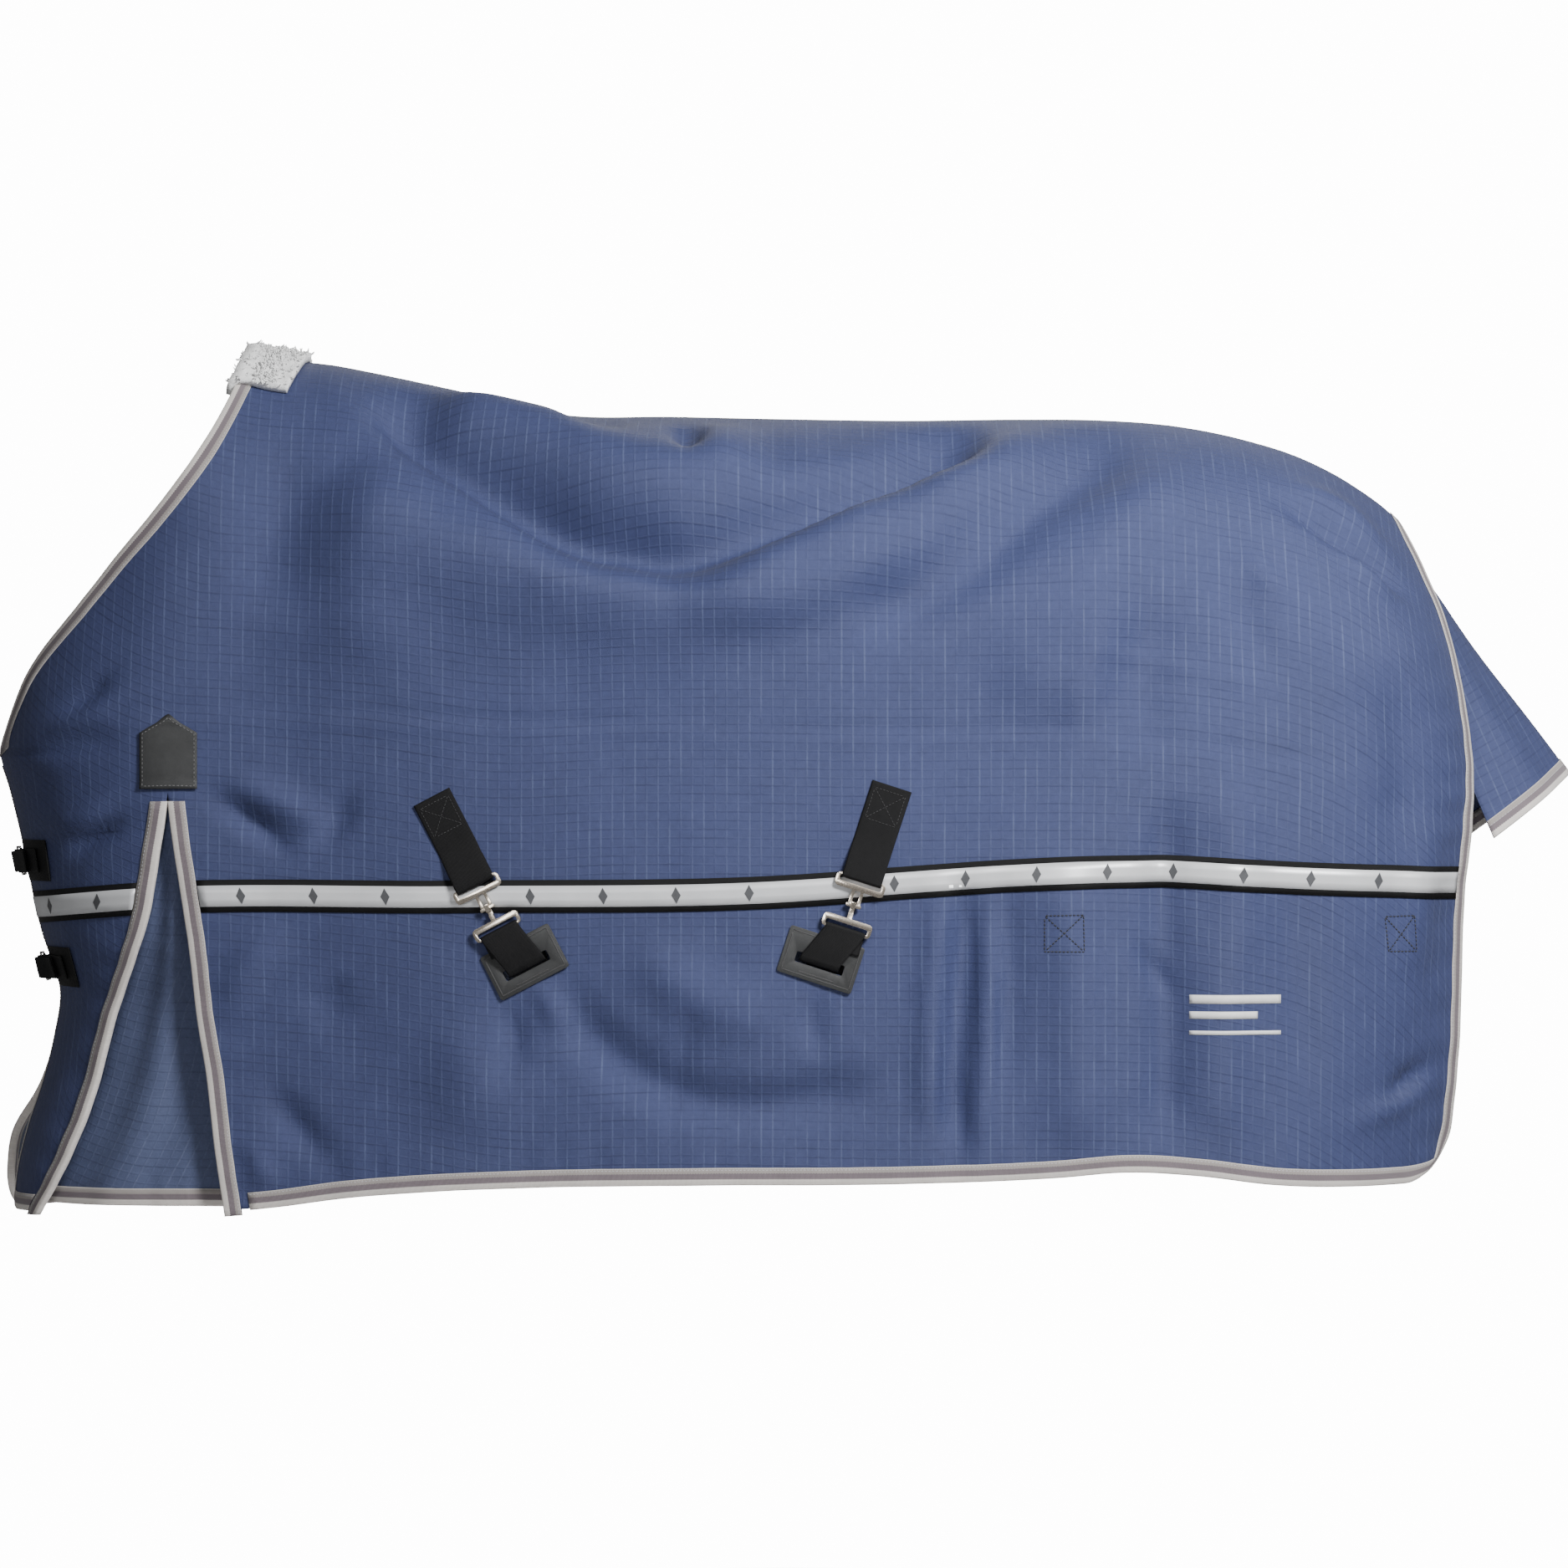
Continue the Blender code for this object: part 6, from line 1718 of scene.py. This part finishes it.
# ---------------------------------------------------------------- patch over the top of each slit
PATCH_WIDTH = 0.071
PATCH_BODY = 0.066
PATCH_POINT = 0.022
PATCH_THICK = 0.0018
for side, word in SIDES:
    low_z = SLIT_TOP[1] + 0.004

    def patch_spot(s, t):
        """A place on the patch; s from -1 to 1 across, t from 0 at the bottom to 1 at the top."""
        s = np.asarray(s, float)
        t = np.asarray(t, float)
        rise = (PATCH_BODY + 0.003 + PATCH_POINT * (1 - np.abs(s))) * t
        x = SLIT_TOP[0] + 0.001 + s * PATCH_WIDTH / 2
        return cloth(x, low_z + rise, side, 0.0014 + 0.0014 * ease((0.014 - rise) / 0.014))

    s = np.linspace(-1, 1, 25)[None] * np.ones((22, 1))
    t = np.linspace(0, 1, 22)[:, None] * np.ones((1, 25))
    p, n = patch_spot(s, t)
    ob = grid_sheet(word + "_slit_patch", p, n, metre_uv(p), PATCH_THICK, 0.0)
    finish(ob, hide_look, "rug", [word + "_slit_top_patch"])
    inset = 0.0036
    bs = 1 - inset / (PATCH_WIDTH / 2)
    top = 1 - inset / (PATCH_BODY + 0.010)
    low = inset / (PATCH_BODY + 0.010)
    ring_s = np.concatenate([np.linspace(-bs, bs, 20), np.full(24, bs), np.linspace(bs, -bs, 31),
                             np.full(24, -bs)])
    ring_t = np.concatenate([np.full(20, low), np.linspace(low, top, 24), np.full(31, top),
                             np.linspace(top, low, 24)])
    p, n = patch_spot(ring_s, ring_t)
    rods(word + "_patch_stitches", dashes(p + n * PATCH_THICK, n, 0.0032, 0.0020), 0.00040,
         0.00012, patch_thread, "rug")

# ---------------------------------------------------------------- belly strap fastenings
WEBBING_THICK = 0.0020
LOOP_R = 0.0033
PLATE_THICK = 0.0026
PLATE_ROUND = 0.0045
LABEL_RIM_INSET = 0.0046
LABEL_BAR_V = 0.0165
LABEL_TOP = 0.0005 + PATCH_THICK


def around(v, n, start, stop, steps=8, radius=LOOP_R):
    """Points of a webbing loop round a bar; angles run from +n towards +v."""
    turns = [math.radians(start + (stop - start) * k / steps) for k in range(steps + 1)]
    return [(v + radius * math.sin(a), n + radius * math.cos(a)) for a in turns]


def strap_cross(place, u0, v0, half, lift):
    """A box of stitches with a cross in it, on a strap."""
    corners = [(-half, -half), (half, -half), (half, half), (-half, half), (-half, -half)]
    lines = []
    diagonals = [((-half, -half), (half, half)), ((-half, half), (half, -half))]
    for (a, b), (c, d) in list(zip(corners, corners[1:])) + diagonals:
        s = np.linspace(0, 1, 12)
        p = np.array([place(u0 + a + (c - a) * q, v0 + b + (d - b) * q, lift) for q in s])
        n = np.repeat(place(None, None, None)[None], len(s), 0)
        lines += dashes(p, n, 0.0030, 0.0014)
    return lines


def metal_block(size, centre, rounding=0.0):
    bpy.ops.mesh.primitive_cube_add(size=1.0)
    ob = bpy.context.object
    ob.data.transform(Matrix.Diagonal((*size, 1.0)))
    ob.data.transform(Matrix.Translation(centre))
    select_none()
    if rounding:
        round_edges(ob, rounding, 2, only_upright=True)
    return ob


def round_edges(ob, width, segments, only_upright=False):
    bevel = ob.modifiers.new("bevel", "BEVEL")
    bevel.width = width
    bevel.segments = segments
    bevel.limit_method = "ANGLE"
    bevel.angle_limit = math.radians(40)
    if only_upright:
        group = ob.vertex_groups.new(name="upright")
        group.add(list(range(len(ob.data.vertices))), 0.0, "REPLACE")
        bm = bmesh.new()
        bm.from_mesh(ob.data)
        layer = bm.edges.layers.float.new("bevel_weight_edge")
        for edge in bm.edges:
            d = edge.verts[0].co - edge.verts[1].co
            edge[layer] = 1.0 if abs(d.z) > 0.9 * d.length else 0.0
        bm.to_mesh(ob.data)
        bm.free()
        bevel.limit_method = "WEIGHT"
    apply_modifier(ob, bevel)


def place_metal(ob, name, where_frame, material, body, node, soften=0.00045):
    if soften:
        round_edges(ob, soften, 2)
    ob.name = name
    ob.data.name = name
    m = where_frame.matrix()
    ob.data.transform(m)
    if m.determinant() < 0:
        ob.data.flip_normals()
    ob.data.polygons.foreach_set("use_smooth", [True] * len(ob.data.polygons))
    ob.data.set_sharp_from_angle(angle=math.radians(35))
    return finish(ob, material, body, [node])


# Each belly strap's far anchor x, tilt in degrees and lowest point
BELLY_WAYS = {"front": (0.090, -27.0, -0.878), "rear": (-0.360, 20.0, -0.892)}
for word, (slot_u, slot_v) in FITTINGS.items():
    here = belly[word]
    mid = PLATE_LIFT

    def strap_place(u, v, n):
        if u is None:
            return here.n
        return here.at(u, v, n)

    path = [(-0.119, 0.0016), (-0.100, 0.0016), (-0.083, 0.0017), (-0.066, 0.0018),
            (-0.046, 0.0034), (-0.022, 0.0082), (-0.006, mid + 0.0031)]
    path += around(0.0, mid, 0, 180) + [(-0.006, 0.0046), (-0.018, 0.0036), (-0.030, 0.0030)]
    high = []
    for v, n in path[:6]:
        cover = max(here.cloth_at(u, v) for u in (-0.022, -0.011, 0.0, 0.011, 0.022)) + 0.0012
        high.append((v, max(n, cover) if v > -0.03 else cover))
    path = high + path[6:]
    line = smooth_line([here.at(0, v, n) for v, n in path], 4)
    webbing(word + "_upper_strap_webbing", line, here.u, STRAP_WIDTH, WEBBING_THICK, strap_look,
            "rug", nodes=[word + "_belly_upper_strap"])
    knots = np.array(path[:7])

    def upper_place(u, v, n):
        if u is None:
            return here.n
        return here.at(u, v, float(np.interp(v, knots[:, 0], knots[:, 1])) + n)

    cross = strap_cross(upper_place, 0.0, -0.092, 0.0195, WEBBING_THICK / 2 + 0.0003)
    rods(word + "_upper_strap_cross", cross,
         0.00035, 0.00015, black_thread, "rug")

    wide = STRAP_WIDTH + 0.012
    ob = metal_block((wide, 0.017, PLATE_THICK), (0, 0.007, mid), PLATE_ROUND)
    cut_or_join(ob, metal_block((STRAP_WIDTH + 0.003, 0.007, 0.02), (0, 0.005, mid), 0.0022),
                "DIFFERENCE")
    for sign in (-1, 1):
        cut_or_join(ob, metal_block((0.0040, 0.022, 0.00252), (sign * 0.0055, 0.025, mid)), "UNION")
    cut_or_join(ob, metal_block((0.0190, 0.0042, PLATE_THICK), (0, PIVOT_V, mid), 0.0012), "UNION")
    place_metal(ob, word + "_eye_fitting", here, nickel_look, word + "_eye",
                word + "_eye_plate")

    ob = metal_block((wide, 0.017, PLATE_THICK), (0, 0.059, mid), PLATE_ROUND)
    cut_or_join(ob, metal_block((STRAP_WIDTH + 0.003, 0.007, 0.02), (0, 0.061, mid), 0.0022),
                "DIFFERENCE")
    for size, centre in (((0.0060, 0.009, 0.00595), (0, 0.0475, mid - 0.001725)),
                         ((0.0058, 0.0157, 0.0019), (0, 0.03715, mid - 0.0037)),
                         ((0.0060, 0.0019, 0.0094), (0, 0.03025, mid)),
                         ((0.0058, 0.0090, 0.0017), (0, 0.0340, mid + 0.0037))):
        cut_or_join(ob, metal_block(size, centre), "UNION")
    place_metal(ob, word + "_hook_fitting", here, nickel_look, word + "_hook",
                word + "_hook_plate", 0.0004)

    low = min(here.cloth_at(slot_u + a, slot_v) for a in (-0.02, 0.0, 0.02))
    shift = slot_v - 0.118
    points = [here.at(0, 0.092, mid - 0.0041), here.at(0, 0.074, mid - 0.0034)]
    points += [here.at(0, v, n) for v, n in around(LOWER_BAR_V, mid, 180, 360)]
    for v, n in ((0.076, 0.0109), (0.086 + shift, 0.0104), (0.095 + shift, 0.0094),
                 (0.104 + shift, 0.0078),
                 (0.1120 + shift, 0.0060), (0.1165 + shift, 0.0048), (0.1208 + shift, 0.0014),
                 (0.1218 + shift, -0.0050), (0.1222 + shift, low - 0.0120)):
        lean = min(1.0, max(0.0, (v - LOWER_BAR_V) / (slot_v - 0.004 - LOWER_BAR_V)))
        points.append(here.at(slot_u * lean, v, n))
    webbing(word + "_lower_strap_webbing", smooth_line(points, 4), here.u, STRAP_WIDTH,
            WEBBING_THICK, strap_look,
            word + "_hook_strap", nodes=[word + "_hook_strap"], square=False)

    # the leather-look patch round the slot, with a rim line and a plain raised bar
    ob = metal_block((LABEL_SIZE[0], LABEL_SIZE[1], PATCH_THICK),
                     (slot_u, slot_v - 0.005, 0.0005 + PATCH_THICK / 2), 0.003)
    cut_or_join(ob, metal_block((SLOT_SIZE[0], SLOT_SIZE[1], 0.02), (slot_u, slot_v, 0.0), 0.002),
                "DIFFERENCE")
    place_metal(ob, word + "_slot_label", here, hide_look, "rug",
                word + "_slot_patch", 0.0004)
    up = np.repeat(here.n[None], 60, 0)
    a = LABEL_SIZE[0] / 2 - LABEL_RIM_INSET
    b = LABEL_SIZE[1] / 2 - LABEL_RIM_INSET
    corner = [(-a, -b), (a, -b), (a, b), (-a, b), (-a, -b)]
    ring = []
    for (c, d), (e, f) in zip(corner, corner[1:]):
        ring += [(c + (e - c) * q / 15, d + (f - d) * q / 15) for q in range(15)]
    ring = [here.at(slot_u + c, slot_v - 0.005 + d, LABEL_TOP) for c, d in ring]
    bar = [here.at(slot_u + q * 0.0011 - 0.022, slot_v + LABEL_BAR_V, LABEL_TOP) for q in range(41)]
    rim = [(np.array(ring), up), (np.array(bar), up[:41])]
    rods(word + "_label_rim", rim, 0.0007, 0.0, black_rim, "rug")

    # the long strap that hangs under the belly to its anchor inside the far side
    far_x, tilt, lowest = BELLY_WAYS[word]
    far_spot, far_n = on_side(far_x, -0.62, 1)
    lower_spot = on_side(far_x + 0.1 * math.sin(math.radians(tilt)), -0.72, 1)[0]
    far_v = unit(lower_spot - far_spot)
    far_n = unit(far_n - far_v * (far_n @ far_v))
    far_u = unit(np.cross(far_v, far_n))
    if far_u[0] < 0:
        far_u = -far_u
    back = -0.0125
    a = here.at(slot_u, slot_v + 0.016, low + INNER - 0.0024)
    b = here.at(slot_u * 1.05, slot_v + 0.036, low + INNER - 0.0034)
    c = here.at(slot_u * 1.1, slot_v + 0.056, low + INNER - 0.0064)
    x = far_spot + far_v * 0.094 + far_n * (back - 0.004)
    y = far_spot + far_v * 0.074 + far_n * (back - 0.001)
    z = far_spot + far_n * back
    leave = unit(c - b)
    reach = unit(y - x)
    slack = (lowest - (c[2] + x[2]) / 2) * 8 / (leave[2] - reach[2])
    run = x - c
    level = unit(np.array((abs(run[1]), -run[0] * (1 if run[1] > 0 else -1), 0)))
    points = [a, (a + b) / 2, b]
    wide = [here.u, here.u, here.u]
    for k in range(81):
        t = k / 80
        p = c * (2 * t ** 3 - 3 * t * t + 1) + x * (3 * t * t - 2 * t ** 3)
        points.append(p + leave * slack * (t ** 3 - 2 * t * t + t)
                      + reach * slack * (t ** 3 - t * t))
        end = here.u if t < 0.5 else far_u
        f = float(ease(min(t, 1 - t) * 3.0))
        wide.append(end * (1 - f) + level * f)
    points += [y, (y + z) / 2, z]
    wide += [far_u, far_u, far_u]
    webbing(word + "_belly_strap_webbing", points, wide, STRAP_WIDTH, WEBBING_THICK, strap_look,
            "rug", nodes=[word + "_belly_strap"])

# ---------------------------------------------------------------- chest buckles
CHEST_FRAMES = {
    "upper": Frame((-0.95723, 0, -0.551), (0, 1, 0), (0.201, 0, -0.97959), (-0.97959, 0, -0.201)),
    "lower": Frame((-0.92713, 0, -0.684), (0, 1, 0), (0.23839, 0, -0.97117),
                   (-0.97117, 0, -0.23839))}


def chest_place(y, z, h):
    """A point h above the chest, with the direction down along it."""
    east = on_chest(y + 0.010, z)[0]
    west = on_chest(y - 0.010, z)[0]
    rise = unit(on_chest(y, z + 0.02)[0] - on_chest(y, z - 0.02)[0])
    n = unit(np.cross(rise, east - west))
    return on_chest(y, z)[0] + (n if n[0] < 0 else -n) * h, -rise


def chest_webbing(name, steps, here, z, width, thick, node):
    points = []
    wide = []
    for kind, y, h in steps:
        if kind == "on":
            p, down = chest_place(y, z, h)
        else:
            p, down = here.at(y, 0, h), here.v
        points.append(p)
        wide.append(down)
    webbing(name, smooth_line(points, 5), smooth_line(wide, 5), width, thick, strap_look, "rug",
            nodes=[node])


for word, here in CHEST_FRAMES.items():
    z = float(here.o[2])
    mid = BUCKLE_LIFT
    steps = [("on", -0.106, 0.0034), ("on", -0.086, 0.0028), ("on", -0.066, 0.0022),
             ("on", -0.048, 0.0022), ("on", -0.034, 0.0022)]
    chest_webbing(word + "_chest_backing", steps, here, z, 0.052, 0.0016, word + "_chest_patch")
    steps = [("on", -0.088, 0.0056), ("on", -0.066, 0.0050), ("on", -0.048, 0.0048),
             ("flat", -0.031, 0.0036)]
    steps += [("flat", y, n) for y, n in around(BUCKLE_BAR_Y, mid, 180, 0)]
    steps += [("flat", -0.031, 0.0104), ("on", -0.048, 0.0080), ("on", -0.061, 0.0074)]
    chest_webbing(word + "_tab_webbing", steps, here, z, CHEST_STRAP_WIDTH, WEBBING_THICK,
                  word + "_buckle_tab")
    ob = metal_block((0.0350, 0.0380, 0.0027), (-0.0060, 0, mid), 0.0045)
    cut_or_join(ob, metal_block((0.0285, 0.0316, 0.01), (-0.00625, 0, mid), 0.0030), "DIFFERENCE")
    place_metal(ob, word + "_buckle_ring", here, steel_look, "rug",
                word + "_buckle_frame", 0.0006)
    bpy.ops.mesh.primitive_cylinder_add(vertices=28, radius=0.0037, depth=0.0034)
    eye = bpy.context.object
    bpy.ops.mesh.primitive_cylinder_add(vertices=28, radius=0.0024, depth=0.01)
    bore = bpy.context.object
    cut_or_join(eye, bore, "DIFFERENCE")
    eye.data.transform(Matrix.Rotation(math.radians(90), 4, "X"))
    eye.data.transform(Matrix.Translation((BUCKLE_BAR_Y, 0, mid)))
    cut_or_join(eye, metal_block((0.0330, 0.0021, 0.0021), (-0.0045, 0, mid + 0.0027)), "UNION")
    place_metal(eye, word + "_buckle_tongue", here, steel_look, word + "_prong",
                word + "_buckle_prong", 0.0004)
    steps = [("on", 0.118, 0.0038), ("on", 0.095, 0.0036), ("on", 0.072, 0.0030),
             ("on", 0.052, 0.0026),
             ("on", 0.036, 0.0030), ("flat", 0.022, 0.0038), ("flat", 0.0130, 0.0052),
             ("flat", 0.0060, 0.0058),
             ("flat", -0.0170, 0.0148), ("flat", -0.0300, 0.0148), ("on", -0.048, 0.0112),
             ("on", -0.064, 0.0102)]
    chest_webbing(word + "_chest_webbing", steps, here, z, CHEST_STRAP_WIDTH * 0.9, WEBBING_THICK,
                  word + "_chest_strap")

# ---------------------------------------------------------------- leg strap rings inside the lining
RING_HALF = 0.0210
for side, word in SIDES:
    for part in ("front", "rear"):
        name = word + "_" + part
        joint = JOINTS[name + "_ring_swing"]
        u = unit(np.array(joint["axis"], float))
        n = unit(np.cross(u, (0, 0, 1.0)))
        if n[1] * side < 0:
            n = -n
        here = Frame(joint["pos_m"], u, (0, 0, -1), n)
        path = [(-0.049, LOOP_R), (-0.030, LOOP_R), (-0.011, LOOP_R)] + around(0.0, 0.0, 0, 180)
        path += [(-0.011, -0.0017), (-0.022, -0.0002), (-0.033, 0.0005)]
        webbing(name + "_tab_webbing", smooth_line([here.at(0, v, h) for v, h in path], 3), here.u,
                0.036, WEBBING_THICK, strap_look, "rug", nodes=[name + "_ring_tab"])
        line = [(-RING_HALF + 2 * RING_HALF * k / 6, 0.0) for k in range(7)]
        line += [(RING_HALF * math.cos(a), 0.007 + RING_HALF
                  * math.sin(a)) for a in np.linspace(0, math.pi, 25)]
        centre = np.array([here.at(a, b, 0) for a, b in line])
        way = unit(np.roll(centre, -1, 0) - np.roll(centre, 1, 0))
        across = unit(np.cross(way, here.n))
        ring = []
        for q in range(10):
            a = q * math.pi / 5
            ring.append(centre + (across * math.cos(a) + here.n * math.sin(a)) * 0.0018)
        verts = np.stack(ring, 1).reshape(-1, 3)
        count = len(centre)
        faces = [[k * 10 + q, k * 10 + (q + 1) % 10, (k + 1) % count * 10 + (q + 1) % 10,
                  (k + 1) % count * 10 + q]
                 for k in range(count) for q in range(10)]
        ob = mesh_piece(name + "_steel_ring", verts, faces)
        face_outward(ob)
        finish(ob, steel_look, name + "_ring", [name + "_leg_ring"])

# ---------------------------------------------------------------- box stitches and the plain print
CROSSES = (((0.3174, -0.6165), (0.3643, -0.6155), (0.3653, -0.6603), (0.3174, -0.6603)),
           ((0.7360, -0.6185), (0.7737, -0.6175), (0.7768, -0.6613), (0.7411, -0.6613)))
BARS = ((0.495, 0.607, -0.7240, -0.7133), (0.495, 0.578, -0.7425, -0.7335),
        (0.495, 0.607, -0.7620, -0.7570))
for side, word in SIDES:
    lines = []
    for corners in CROSSES:
        p, n = cloth_line(corners, side, 0.0004, closed=True)
        lines += dashes(p, n, 0.0034, 0.0014)
        for a, b in ((0, 2), (1, 3)):
            p, n = cloth_line((corners[a], corners[b]), side, 0.0004)
            lines += dashes(p, n, 0.0034, 0.0014)
    rods(word + "_anchor_crosses", lines, 0.00080, 0.00020, navy_thread, "rug")

verts = []
faces = []
for x0, x1, z0, z1 in BARS:
    xs = np.linspace(x0, x1, 24)
    hits = [[on_side(x, z, -1) for x in xs] for z in (z1, (z0 + z1) / 2, z0)]
    p = np.array([[h[0] for h in row] for row in hits])
    n = np.array([[h[1] for h in row] for row in hits])
    q = grid_quads(3, 24)
    base = len(verts)
    flat_p = p.reshape(-1, 3)
    flat_n = n.reshape(-1, 3)
    if np.sum(quad_normals(flat_p, q) * flat_n) < 0:
        q = q[:, ::-1]
    rim = rim_edges(q).tolist()
    count = len(flat_p)
    verts += list(flat_p + flat_n * 0.0006) + list(flat_p + flat_n * 0.0001)
    faces += (q + base).tolist() + (q[:, ::-1] + base + count).tolist()
    faces += [[base + b, base + a, base + a + count, base + b + count] for a, b in rim]
ob = mesh_piece("plain_print", verts, faces)
finish(ob, print_look, "rug")
